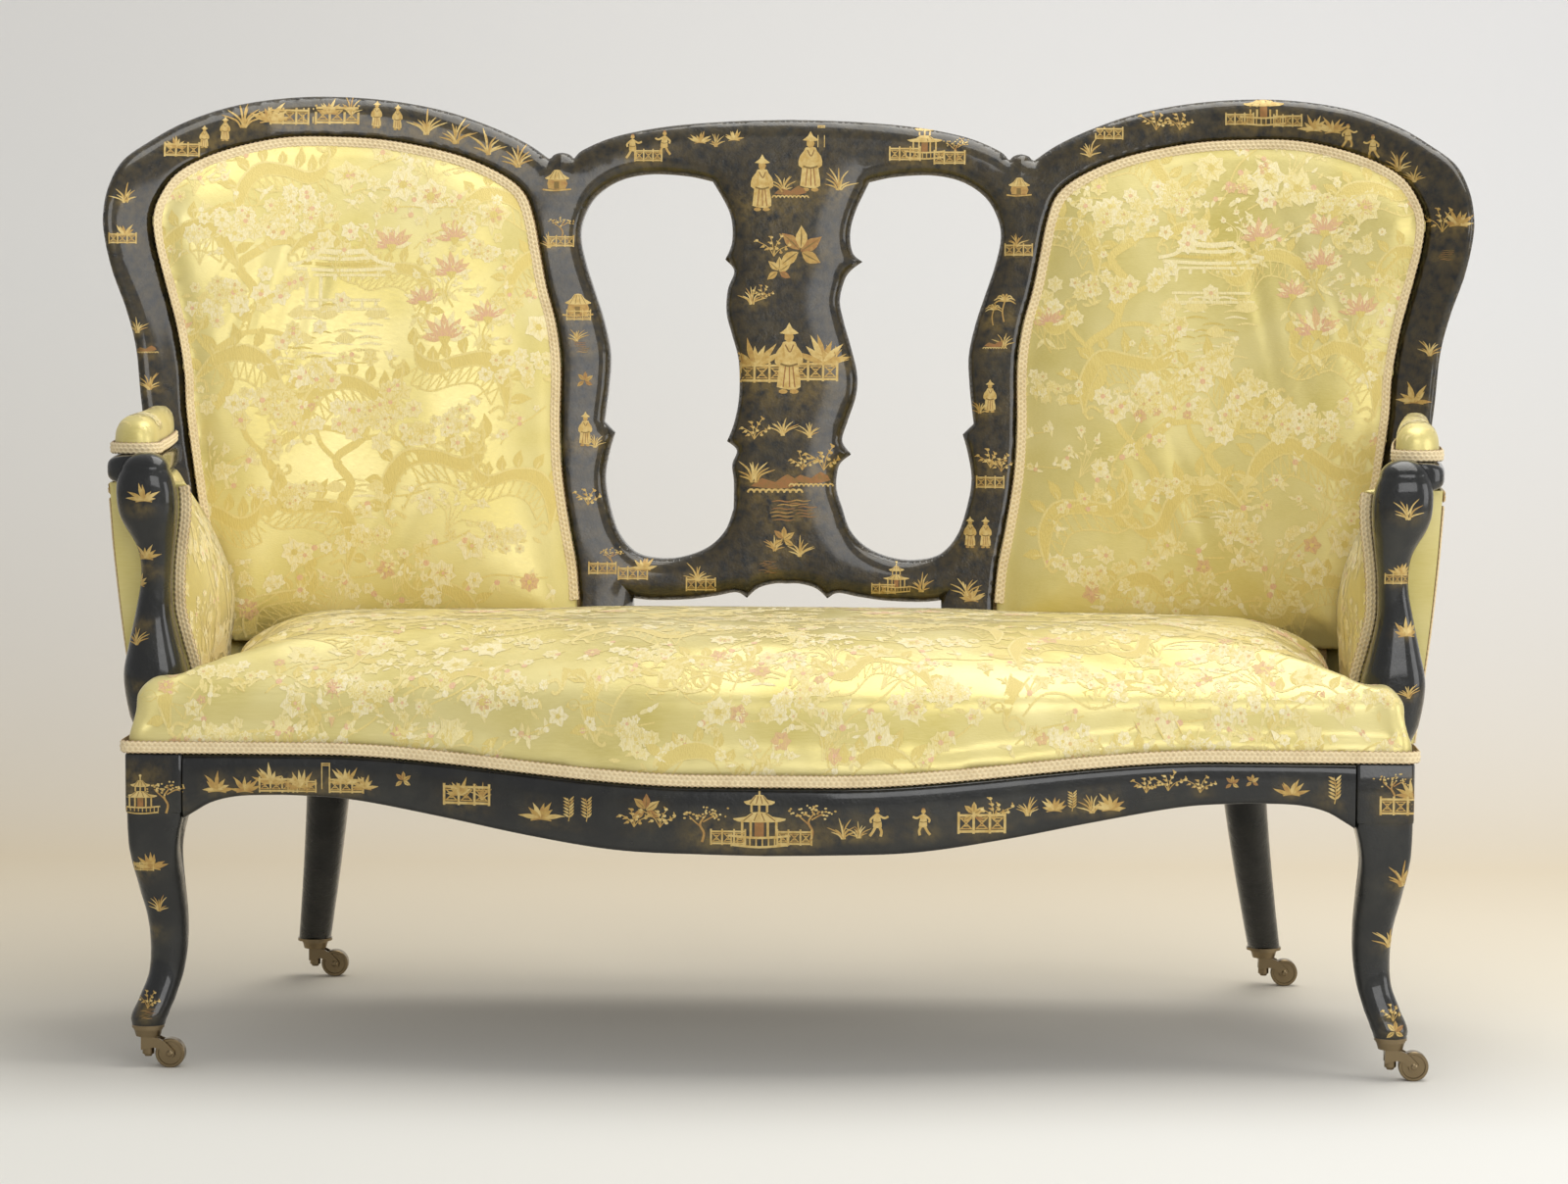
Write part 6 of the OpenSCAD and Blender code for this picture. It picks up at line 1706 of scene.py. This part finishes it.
def lay(name: str, pen: Pen, onto: Sequence[Object], way: Way, start: float, material: Material,
        slot: str, proud: float, limit: float = FAR, fine: bool = False) -> Object:
    """Throws a flat drawing on to the pieces that carry it and leaves it a little proud.

    Every point travels along one axis until it meets a carrier; faces that miss, or that land
    across a step, are dropped, and later strokes are set 0.05 mm further out.

    Args:
        name: the piece's name.
        pen: the drawing; for DOWNWARDS its second coordinate is Y, otherwise Z.
        onto: the carriers.
        way: the axis.
        start: where on that axis the drawing begins.
        material: its finish.
        slot: the record's slot.
        proud: how far it stands off the surface.
        limit: the furthest place along the axis that counts as a hit.
        fine: whether each face is first divided into four.
    Returns:
        The ornament.
    """
    flat, tones, lifts = np.vstack(pen.points), np.concatenate(pen.tones), np.concatenate(pen.lifts)
    axis = "xyz".index(way.value[0])
    away = -1.0 if way.value[1] else 1.0
    order = {0: (2, 0, 1), 1: (0, 2, 1), 2: (0, 1, 2)}[axis]
    placed = np.column_stack([flat, np.full(len(flat), start)])[:, order]
    faces = np.vstack(pen.faces)
    if axis == 0:
        faces = faces[:, ::-1]
    faces = [list(dict.fromkeys(f)) for f in faces.tolist()]
    target = combined("carrier", onto)
    work = build(name + "_flat", Surface(placed, faces, {"tone": tones, "lift": lifts}), material, shown=False)
    if fine:
        soft = work.modifiers.new("finer", "SUBSURF")
        soft.subdivision_type = "SIMPLE"
        soft.levels = 1
    wrap = work.modifiers.new("wrap", "SHRINKWRAP")
    wrap.target, wrap.wrap_method, wrap.wrap_mode = target, "PROJECT", "ABOVE_SURFACE"
    setattr(wrap, "use_project_" + way.value[0], True)
    wrap.use_positive_direction, wrap.use_negative_direction = way.value[1], not way.value[1]
    wrap.offset = proud * MM
    mesh = evaluated(work)
    landed = surface_of(mesh)
    values = {key: numbers(mesh, key) for key in ("tone", "lift")}
    bpy.data.objects.remove(work)
    bpy.data.objects.remove(target)
    place = landed.points[:, axis]
    hit = (np.abs(place - start) > 0.5) & (place < limit)
    landed.points[:, axis] += away * values["lift"] * 0.05
    kept, seen = [], [k for k in range(3) if k != axis]
    for face in landed.faces:
        size = np.ptp(landed.points[face], axis=0)
        if hit[face].all() and size[axis] < 2.5 * max(size[seen].max(), 0.4):
            kept.append(face)
    used = np.unique([corner for face in kept for corner in face])
    new = np.zeros(len(landed.points), int)
    new[used] = np.arange(len(used))
    kept = [new[list(face)].tolist() for face in kept]
    LOG.info("%s: %d of %d faces landed", name, len(kept), len(landed.faces))
    return build(name, Surface(landed.points[used], kept, {"tone": values["tone"][used]}), material, slot=slot,
                 sharp=180)


def combined(name: str, pieces: Sequence[Object]) -> Object:
    """A hidden object of several pieces' finished meshes, for a drawing to land on."""
    whole = None
    for piece in pieces:
        mesh = evaluated(piece)
        mine = surface_of(mesh)
        whole = mine if whole is None else whole.plus(mine)
    made = build(name, whole, Look.STUFFING.made(), shown=False)
    made.hide_render = True
    return made


Row = tuple[Motif, float, float, float]
G = Motif  # its short name in the tables


@dataclass
class GiltOrnament:
    """Gilt scenes on the lacquer: rows of motif, x, height and size; a negative size faces left."""
    rail: Sequence[Row] = (
        (G.PAGODA, -632, 262, 40), (G.TREE, -606, 262, 38), (G.PLANT, -554, 284, 26), (G.PLANT, -526, 284, 24),
        (G.FENCE, -494, 285, 34), (G.PLANT, -500, 292, 26), (G.PLANT, -470, 288, 24), (G.FENCE, -468, 285, 28),
        (G.DOOR, -444, 288, 26), (G.FENCE, -423, 285, 34), (G.PLANT, -424, 293, 24), (G.PLANT, -405, 288, 22),
        (G.LEAVES, -365, 296, 20), (G.FENCE, -300, 276, 46), (G.PLANT, -308, 284, 24), (G.GRASS, -284, 281, 22),
        (G.PLANT, -224, 262, 30), (G.FERN, -196, 262, 26), (G.FERN, -178, 262, 26), (G.LEAVES, -118, 272, 34),
        (G.SPRAY, -130, 258, 28), (G.SPRAY, -104, 258, 28), (G.TREE, -62, 244, 40), (G.PAGODA, -5, 240, 62),
        (G.TREE, 46, 246, 42), (G.FENCE, -36, 242, 34), (G.FENCE, 30, 242, 34), (G.GRASS, 78, 248, 24),
        (G.GRASS, 94, 249, 20), (G.WALKER, 112, 250, 32), (G.WALKER, 158, 251, -30), (G.FENCE, 216, 254, 46),
        (G.LEAVES, 208, 270, 26), (G.SPRAY, 228, 266, 28), (G.GRASS, 262, 270, 22), (G.PLANT, 288, 274, 22),
        (G.FERN, 306, 274, 22), (G.GRASS, 326, 272, 24), (G.PLANT, 345, 274, 26), (G.SPRAY, 380, 292, 24),
        (G.SPRAY, 402, 294, 24), (G.SPRAY, 434, 292, 22), (G.LEAVES, 466, 300, 17), (G.LEAVES, 486, 302, 16),
        (G.PLANT, 525, 290, 24), (G.FERN, 568, 282, 30), (G.FENCE, 634, 272, 40), (G.TREE, 626, 284, 32),
        (G.PLANT, 644, 288, 24), (G.PLANT, -622, 204, 26), (G.FENCE, -630, 203, 20), (G.GRASS, -616, 160, 20),
        (G.SPRAY, -627, 62, 20), (G.WATER, -627, 52, 22), (G.GRASS, 637, 198, 32), (G.GRASS, 627, 134, 28),
        (G.SPRAY, 630, 62, 22), (G.LEAVES, 632, 50, 22), (G.PLANT, -640, 572, 24), (G.PLANT, -641, 512, 22),
        (G.PLANT, -650, 484, 20), (G.GRASS, -651, 424, 22), (G.GRASS, 644, 562, 26), (G.FENCE, 636, 496, 24),
        (G.PLANT, 640, 505, 20), (G.PLANT, 646, 442, 24), (G.GRASS, 648, 380, 20))
    back: Sequence[Row] = (
        (G.FENCE, -668, 608, 34), (G.PLANT, -674, 616, 18), (G.ROBED, -646, 616, 26), (G.ROBED, -625, 624, 28),
        (G.GRASS, -722, 556, 24), (G.FENCE, -724, 512, 26), (G.PLANT, -722, 520, 18), (G.GRASS, -709, 414, 20),
        (G.SHORE, -700, 390, 24), (G.GRASS, -696, 352, 24), (G.GRASS, -606, 640, 34), (G.PLANT, -578, 646, 32),
        (G.FENCE, -558, 645, 40), (G.DOOR, -538, 646, 34), (G.FENCE, -507, 646, 46), (G.GRASS, -492, 656, 24),
        (G.PLANT, -516, 656, 22), (G.ROBED, -464, 640, 32), (G.ROBED, -441, 638, 30), (G.GRASS, -408, 634, 34),
        (G.GRASS, -376, 624, 34), (G.GRASS, -340, 612, 36), (G.GRASS, -306, 598, 32), (G.HOUSE, -262, 572, 32),
        (G.FENCE, -257, 510, 28), (G.TREE, -256, 520, 26), (G.GRASS, -270, 508, 20), (G.HOUSE, -237, 432, 34),
        (G.FENCE, -236, 428, 26), (G.WATER, -231, 392, 26), (G.GRASS, -238, 404, 20), (G.LEAVES, -228, 358, 22),
        (G.ROBED, -227, 286, 40), (G.GRASS, -216, 286, 18), (G.SPRAY, -223, 222, 26), (G.FENCE, -206, 146, 30),
        (G.FENCE, -172, 140, 32), (G.TREE, -196, 152, 26), (G.PLANT, -160, 150, 22), (G.WALKER, -178, 608, 30),
        (G.WALKER, -142, 612, -30), (G.FENCE, -160, 606, 30), (G.PLANT, -102, 626, 18), (G.PLANT, -64, 629, 18),
        (G.GRASS, -84, 622, 18), (G.ROBED, -32, 548, 66), (G.ROBED, 22, 570, 70), (G.GRASS, -8, 572, 26),
        (G.GRASS, 54, 574, 30), (G.DOOR, 34, 622, 24), (G.SHORE, 0, 562, 40), (G.PAGODA, 150, 610, 46),
        (G.FENCE, 128, 608, 34), (G.FENCE, 178, 604, 34), (G.TREE, 186, 608, 28), (G.LEAVES, 12, 500, 60),
        (G.LEAVES, -12, 480, 34), (G.SPRAY, -18, 500, 28), (G.GRASS, -42, 446, 26), (G.SPRAY, -30, 452, 20),
        (G.FENCE, -30, 360, 48), (G.FENCE, 30, 362, 48), (G.PLANT, -38, 376, 42), (G.PLANT, 38, 380, 42),
        (G.GRASS, 50, 378, 30), (G.ROBED, 0, 344, 82), (G.SPRAY, -38, 296, 28), (G.GRASS, -6, 300, 26),
        (G.GRASS, 24, 298, 22), (G.GRASS, -38, 248, 36), (G.SPRAY, 40, 262, 32), (G.SPRAY, 16, 262, 26),
        (G.SHORE, -14, 232, 60), (G.SHORE, 26, 240, 48), (G.WATER, -4, 206, 52), (G.WATER, 18, 210, 44),
        (G.LEAVES, -4, 182, 30), (G.GRASS, -14, 172, 24), (G.GRASS, 14, 166, 26), (G.GRASS, -100, 138, 26),
        (G.FENCE, -96, 128, 32), (G.PAGODA, 122, 128, 34), (G.FENCE, 108, 126, 26), (G.GRASS, 150, 128, 24),
        (G.PLANT, 206, 118, 22), (G.WATER, -20, 148, 30), (G.GRASS, 334, 612, 26), (G.FENCE, 356, 632, 30),
        (G.SPRAY, 408, 642, 26), (G.SPRAY, 434, 642, 26), (G.PAGODA, 526, 648, 52), (G.FENCE, 500, 648, 30),
        (G.FENCE, 552, 646, 30), (G.PLANT, 580, 640, 24), (G.PLANT, 600, 638, 24), (G.WALKER, 616, 622, 28),
        (G.WALKER, 642, 610, -28), (G.GRASS, 668, 596, 26), (G.GRASS, 684, 584, 22), (G.SPRAY, 712, 530, 28),
        (G.PLANT, 728, 536, 26), (G.WATER, 716, 500, 24), (G.GRASS, 700, 396, 22), (G.PLANT, 684, 344, 28),
        (G.GRASS, 676, 300, 20), (G.HOUSE, 256, 568, 28), (G.FENCE, 256, 502, 30), (G.GRASS, 254, 512, 20),
        (G.PALM, 240, 428, 34), (G.PALM, 228, 424, 26), (G.SHORE, 230, 396, 26), (G.GRASS, 240, 400, 20),
        (G.ROBED, 225, 326, 38), (G.GRASS, 214, 326, 20), (G.SPRAY, 226, 266, 28), (G.FENCE, 226, 244, 30),
        (G.SPRAY, 238, 262, 24), (G.ROBED, 204, 176, 36), (G.ROBED, 221, 176, 36), (G.GRASS, 200, 124, 26))

    def drawn(self, rows: Sequence[Row], base: float, seed: int) -> Pen:
        """The motifs of a table, with their heights measured from base."""
        pen = Pen(np.random.default_rng(seed))
        for kind, x, z, size in rows:
            pen.motif(kind, x, z + base, size)
        return pen

    def mist(self, rows: Sequence[Row], base: float) -> Field:
        """How strongly dusted gold clouds the lacquer: a sum of bells under the motifs, never above 1."""
        at = np.array([(x, z + base + abs(size) * 0.1, abs(size) * 0.5) for _, x, z, size in rows])

        def cloud(points: Array) -> Array:
            gap = points[:, None] - at[None, :, :2]
            bells = np.exp(-((gap[..., 0] / at[:, 2]) ** 2 + (gap[..., 1] / (0.55 * at[:, 2])) ** 2))
            return np.clip(bells.sum(1) * 0.85, 0, 1)

        return cloud


@dataclass
class Brocade:
    """Woven figures of the silk: one repeat of the cloth, measured from the foot of its pavilion."""
    scrolls: Line = (
        (-91, -78, 110), (133, -72, -110), (-167, 68, -100), (103, -182, 120), (-137, -242, 110), (13, -102, 110),
        (173, 108, 100), (-67, 138, 100), (-27, -232, -110), (190, -200, -100), (220, 40, 90), (-200, -30, 90),
        (60, 30, -90), (-60, -330, 100), (110, -330, -100), (-10, 60, 80))
    lakes: Line = ((0, -28, 110), (-27, -52, 90), (10, -215, 90))
    trees: Line = ((-75, 48, 115), (-100, -50, 115), (-40, -160, 130), (30, -165, 110))
    clouds: Line = (
        (-85, 86, 90), (-30, 112, 60), (-127, 18, 70), (53, -122, 76), (-67, -102, 70), (133, 108, 60), (-56, -205, 70),
        (154, 65, 60), (34, -250, 76), (-180, -95, 70), (200, -60, 76), (120, -130, 70), (-120, -300, 76),
        (180, -250, 70))
    boughs: Line = (
        (37, 128, 70), (78, 108, 76), (108, 83, 66), (3, -62, 66), (-144, -229, 70), (-91, -164, 80), (-48, -132, 70),
        (-27, -282, 80), (13, -302, 80), (59, -212, 80), (-147, -287, 70), (151, -102, 70), (103, -267, 84),
        (-188, -187, 56), (-117, 108, 70), (173, 18, 60), (-87, -332, 80), (63, -332, 84), (188, -300, 76),
        (205, 17, 60), (200, -130, 60), (49, 160, 80), (-212, -150, 60), (-196, 120, 66), (230, 120, 60),
        (-140, 160, 60))
    sprigs: Line = (
        (93, 148, 80), (33, 72, 60), (153, -32, 70), (-137, -182, 70), (-7, -332, 80), (123, -232, 76), (-157, 138, 66),
        (114, 20, 70), (64, -300, 80), (-150, 60, 60), (190, 150, 60), (-60, -60, 50))
    flowers: Line = (
        (63, 138, 52), (1, 148, 46), (94, 125, 54), (164, 105, 50), (-47, -267, 40), (113, -292, 42), (145, -262, 44),
        (-200, 10, 40), (215, -20, 44))
    carnations: Line = (
        (53, 70, 60), (119, 40, 58), (113, -32, 72), (88, 8, 50), (-177, -25, 50), (122, 78, 54), (160, -10, 56))

    def drawn(self, shifts: Line, seed: int) -> Pen:
        """The repeat, drawn again at each shift, from the scrolls up to the carnations."""
        pen = Pen(np.random.default_rng(seed))
        for dx, dy in shifts:
            pen.motif(Motif.TEMPLE, dx, dy, 100)
            for kind, places in ((Motif.SCROLL, self.scrolls), (Motif.LAKE, self.lakes), (Motif.WINDING, self.trees),
                                 (Motif.CLOUD, self.clouds), (Motif.BOUGH, self.boughs), (Motif.SPRIGS, self.sprigs),
                                 (Motif.BLOSSOM, self.flowers), (Motif.CARNATION, self.carnations)):
                for x, y, size in places:
                    pen.motif(kind, x + dx, y + dy, size)
        return pen


# Studio

@dataclass
class Studio:
    """Photographer's cove, lights and camera."""
    camera_at: Point = (0.1895, -4.85095, 0.8493)
    yaw: float = math.radians(-2.168)
    pitch: float = math.radians(4.499)
    roll: float = math.radians(0.239)

    def cove(self) -> None:
        """Pale floor that turns up into a wall, as one grid: flat, a quarter circle, then upright."""
        columns, reach, wall, r = 40, 1.6, 4.0, 2.4
        a = np.linspace(0, 1, 30)[1:] * math.pi / 2
        y = np.concatenate([np.linspace(-7, reach, columns), reach + r * np.sin(a), np.full(8, wall)])
        z = np.concatenate([np.zeros(columns), r * (1 - np.cos(a)), np.linspace(2.6, 6, 8)])
        rows = np.stack(np.broadcast_arrays(np.linspace(-9, 9, columns)[None], y[:, None], z[:, None]), -1) / MM
        surface = Surface(rows.reshape(-1, 3), grid_faces(len(y), columns))
        floor = build("studio_cove", surface, Paint("studio_paint", roughness=0.9, specular=0.2).one_sided(),
                      shown=False)

    def lamp(self, name: str, at: Point, aim: Point, size: tuple[float, float], watts: float, tone: str) -> None:
        """One rectangular softbox."""
        data = bpy.data.lights.new(name, "AREA")
        data.shape, data.size, data.size_y = "RECTANGLE", *size
        data.energy, data.color = watts, linear(tone)[:3]
        lamp = bpy.data.objects.new(name, data)
        lamp.location = at
        lamp.rotation_euler = (mathutils.Vector(aim) - mathutils.Vector(at)).to_track_quat("-Z", "Y").to_euler()
        bpy.context.scene.collection.objects.link(lamp)

    def lights(self) -> None:
        """Overhead softbox, broad front fill and an even grey-white room."""
        self.lamp("overhead_softbox", (0.7, 0.35, 3.2), (0.0, 0.1, 0.4), (3.2, 2.0), 70, "#fffdf8")
        self.lamp("front_softbox", (1.5, -4.8, 2.3), (0, 0, 0.6), (3.2, 2.4), 74, "#ffffff")
        self.lamp("side_softbox", (3.4, -1.0, 1.0), (0, 0.2, 0.2), (1.6, 1.6), 22, "#ffffff")
        world = bpy.data.worlds.new("studio_room")
        bpy.context.scene.world = world
        world.use_nodes = True
        sky = world.node_tree.nodes["Background"]
        sky.inputs[0].default_value = linear("#f2f2f4")
        seen = add(world.node_tree, "MapRange", {0: add(world.node_tree, "LightPath"), 3: 0.55, 4: 0.85})
        world.node_tree.links.new(output(seen), sky.inputs["Strength"])

    def camera(self) -> None:
        """Camera at the photograph's place; its axes are the yaw, pitch and roll that were measured."""
        s, c = math.sin, math.cos
        ahead = np.array([s(self.yaw) * c(self.pitch), c(self.yaw) * c(self.pitch), -s(self.pitch)])
        right = np.array([c(self.yaw), -s(self.yaw), 0.0])
        up = np.cross(right, ahead)
        across = right * c(self.roll) + up * s(self.roll)
        above = -right * s(self.roll) + up * c(self.roll)
        data = bpy.data.cameras.new("camera")
        data.sensor_width, data.lens = 36.0, 105.08
        camera = bpy.data.objects.new("camera", data)
        turned = mathutils.Matrix([[*row] for row in np.column_stack([across, above, -ahead])]).to_4x4()
        camera.matrix_world = mathutils.Matrix.Translation(self.camera_at) @ turned
        bpy.context.scene.collection.objects.link(camera)
        bpy.context.scene.camera = camera
        bpy.context.scene.view_settings.view_transform = "Standard"


def dress_nodes() -> None:
    """Gives every CAD node its finish, chosen by the kind of piece that its name says."""
    kinds = {"caster": Look.BRASS, "screws": Look.STEEL, "springs": Look.STEEL, "webbing": Look.JUTE,
             "hessian": Look.JUTE, "stuffing": Look.STUFFING, "dust_cover": Look.CAMBRIC, "dowels": Look.BEECH,
             "blocks": Look.BEECH, "gimp": Look.GIMP, "pad": Look.SATIN, "cover": Look.SATIN, "inside": Look.SATIN,
             "outside_back": Look.SATIN, "outside_arm": Look.SATIN}
    for name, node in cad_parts.items():
        look = next((look for word, look in kinds.items() if word in name), Look.LACQUER)
        for slot in node.material_slots:
            slot.material = look.made()


@dataclass
class Settee:
    """The whole settee, built in order: wood, upholstery, then the ornament that lies on both."""
    wood: BackFrame = field(default_factory=BackFrame)
    seat_frame: SeatFrame = field(default_factory=SeatFrame)
    arms: Arms = field(default_factory=Arms)
    gilt: GiltOrnament = field(default_factory=GiltOrnament)
    shown: dict[str, Object] = field(default_factory=dict)

    def wooden(self, name: str, surface: Surface, node_name: str, sharp: float = 50) -> None:
        """One lacquered piece, in place of its CAD node."""
        self.shown[name] = build(name, surface, Look.LACQUER.made(), slot="lacquered_wood", replaces=[node_name],
                                 sharp=sharp)

    def woodwork(self) -> None:
        """Carved back, seat rails, legs and arms."""
        dust = self.gilt.mist(self.gilt.rail, -RAIL_TOP)
        haze = self.gilt.mist(self.gilt.back, 0)
        for name, surface in self.wood.mesh(lambda p: np.minimum(0.3 + haze(p), 1)).items():
            self.wooden(name + "_carved", surface, name, 60)
        rail = self.seat_frame.front_rail()
        rail.values["mist"] = dust(rail.points[:, [0, 2]] - [0, RAIL_TOP])
        self.wooden("front_rail_lacquered", rail, "front_seat_rail")
        self.wooden("back_rail_lacquered", self.seat_frame.back_rail(), "back_seat_rail")
        for kind, surface in (("{}_seat_rail", self.seat_frame.side_rail()),
                              ("front_{}_leg", self.seat_frame.front_leg(dust)),
                              ("rear_{}_leg", self.seat_frame.rear_leg()),
                              ("{}_arm_support", self.arms.support_surface(dust)),
                              ("{}_arm_rail", self.arms.rail_surface())):
            for side, mine in (("right", surface), ("left", surface.mirrored())):
                self.wooden(kind.format(side) + "_lacquered", mine, kind.format(side))

    def upholstery(self) -> None:
        """Padded pieces, braids and the outside cloths."""
        back, seat, arm_cloth = BackUpholstery(self.wood), SeatUpholstery(), ArmUpholstery(self.arms)
        for name, surface, node_name in (
                ("back_cushion", plump("back_cushion", back.pad(), 6.5, 9, back.held), "back_pad"),
                ("arm_lining", plump("arm_lining", arm_cloth.inside_pad(), 5.5, 6, arm_cloth.inside_held),
                 "inside_arm"),
                ("arm_rest", plump("arm_rest", arm_cloth.rest(), 4, 5, arm_cloth.rest_held), "arm_pad")):
            for side, mine in (("right", surface), ("left", surface.mirrored())):
                self.shown[f"{side}_{name}"] = upholstered(f"{side}_{name}", mine, [f"{side}_{node_name}"])
        self.shown["seat"] = upholstered("sprung_seat", plump("sprung_seat", seat.surface(), 8.5, 9, seat.held),
                                         ["seat_cover", "seat_stuffing"])
        back_gimp, arm_gimp = back.gimp(), arm_cloth.gimps()
        for name, surface, node_name in (("back_braids", back_gimp.plus(back_gimp.mirrored()), "back_gimps"),
                                         ("arm_braids", arm_gimp.plus(arm_gimp.mirrored()), "arm_gimps"),
                                         ("seat_braid", seat.gimp(), "seat_gimp")):
            build(name, surface, Look.GIMP.made(), slot="gimp_braid", replaces=[node_name], sharp=180)
        for side in ("right", "left"):
            for name, surface, size in (("outside_back", back.outside(), (0.47, 0.64)),
                                        ("outside_arm", arm_cloth.outside_cloth(), (0.3, 0.6))):
                mine = surface if side == "right" else surface.mirrored()
                piece = build(f"{side}_{name}_cloth", mine, Look.SATIN.made(), slot="silk_brocade",
                              replaces=[f"{side}_{name}"])
                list(size)

    def gilding(self) -> None:
        """Gilt scenes on the back, and on the front rail, legs and arm supports."""
        carved = [piece for name, piece in self.shown.items() if name.endswith("_carved")]
        front = [self.shown[name] for name in (
            "front_rail_lacquered", "front_right_leg_lacquered", "front_left_leg_lacquered",
            "right_arm_support_lacquered", "left_arm_support_lacquered")]
        for name, pen, onto, limit in (
                ("gilt_back_scenes", self.gilt.drawn(self.gilt.back, RAIL_TOP, 11), carved, FAR),
                ("gilt_front_scenes", self.gilt.drawn(self.gilt.rail, 0, 12), front, -150.0)):
            lay(name, pen, onto, Way.BACKWARDS, BEFORE, Look.GILDING.made(), "lacquered_wood", 0.3, limit, fine=True)

    def weaving(self) -> None:
        """Figures of the brocade on arms, rests, pads and seat."""
        figures, across = Brocade(), (-430.0, 0.0, 430.0)
        floss = (Look.FLOSS.made(), "silk_brocade", 0.25)
        for name, shift, carrier, way, start, limit in (
                ("arm_figures", (40, 620), "right_arm_lining", Way.OUTWARDS, 540.0, 650.0),
                ("rest_figures", (600, 20), "right_arm_rest", Way.DOWNWARDS, 700.0, FAR)):
            made = lay("right_" + name, figures.drawn([shift], 31), [self.shown[carrier]], way, start, *floss, limit)
            woven = surface_of(made.data)
            woven.values["tone"] = numbers(made.data, "tone")
            build("left_" + name, woven.mirrored(), floss[0], slot=floss[1], sharp=180)
        for name, shifts, seed, carrier, way, start, limit in (
                ("right_pad_figures", [(467, RAIL_TOP + 452)], 21, "right_back_cushion", Way.BACKWARDS, BEFORE, FAR),
                ("left_pad_figures", [(-494, RAIL_TOP + 440)], 22, "left_back_cushion", Way.BACKWARDS, BEFORE, FAR),
                ("seat_top_figures", [(x, 40.0) for x in across], 23, "seat", Way.DOWNWARDS, 600, FAR),
                ("seat_front_figures", [(x, 640.0) for x in across], 24, "seat", Way.BACKWARDS, BEFORE, -270)):
            lay(name, figures.drawn(shifts, seed), [self.shown[carrier]], way, start, *floss, limit)


def main() -> None:
    """Builds the settee, piece by piece, and the studio round it."""
    logging.basicConfig(level=logging.INFO, format="%(message)s")
    dress_nodes()
    settee = Settee()
    settee.woodwork()
    settee.upholstery()
    settee.gilding()
    settee.weaving()
    studio = Studio()
    studio.cove()
    studio.lights()
    studio.camera()


if __name__ == "__main__":
    main()
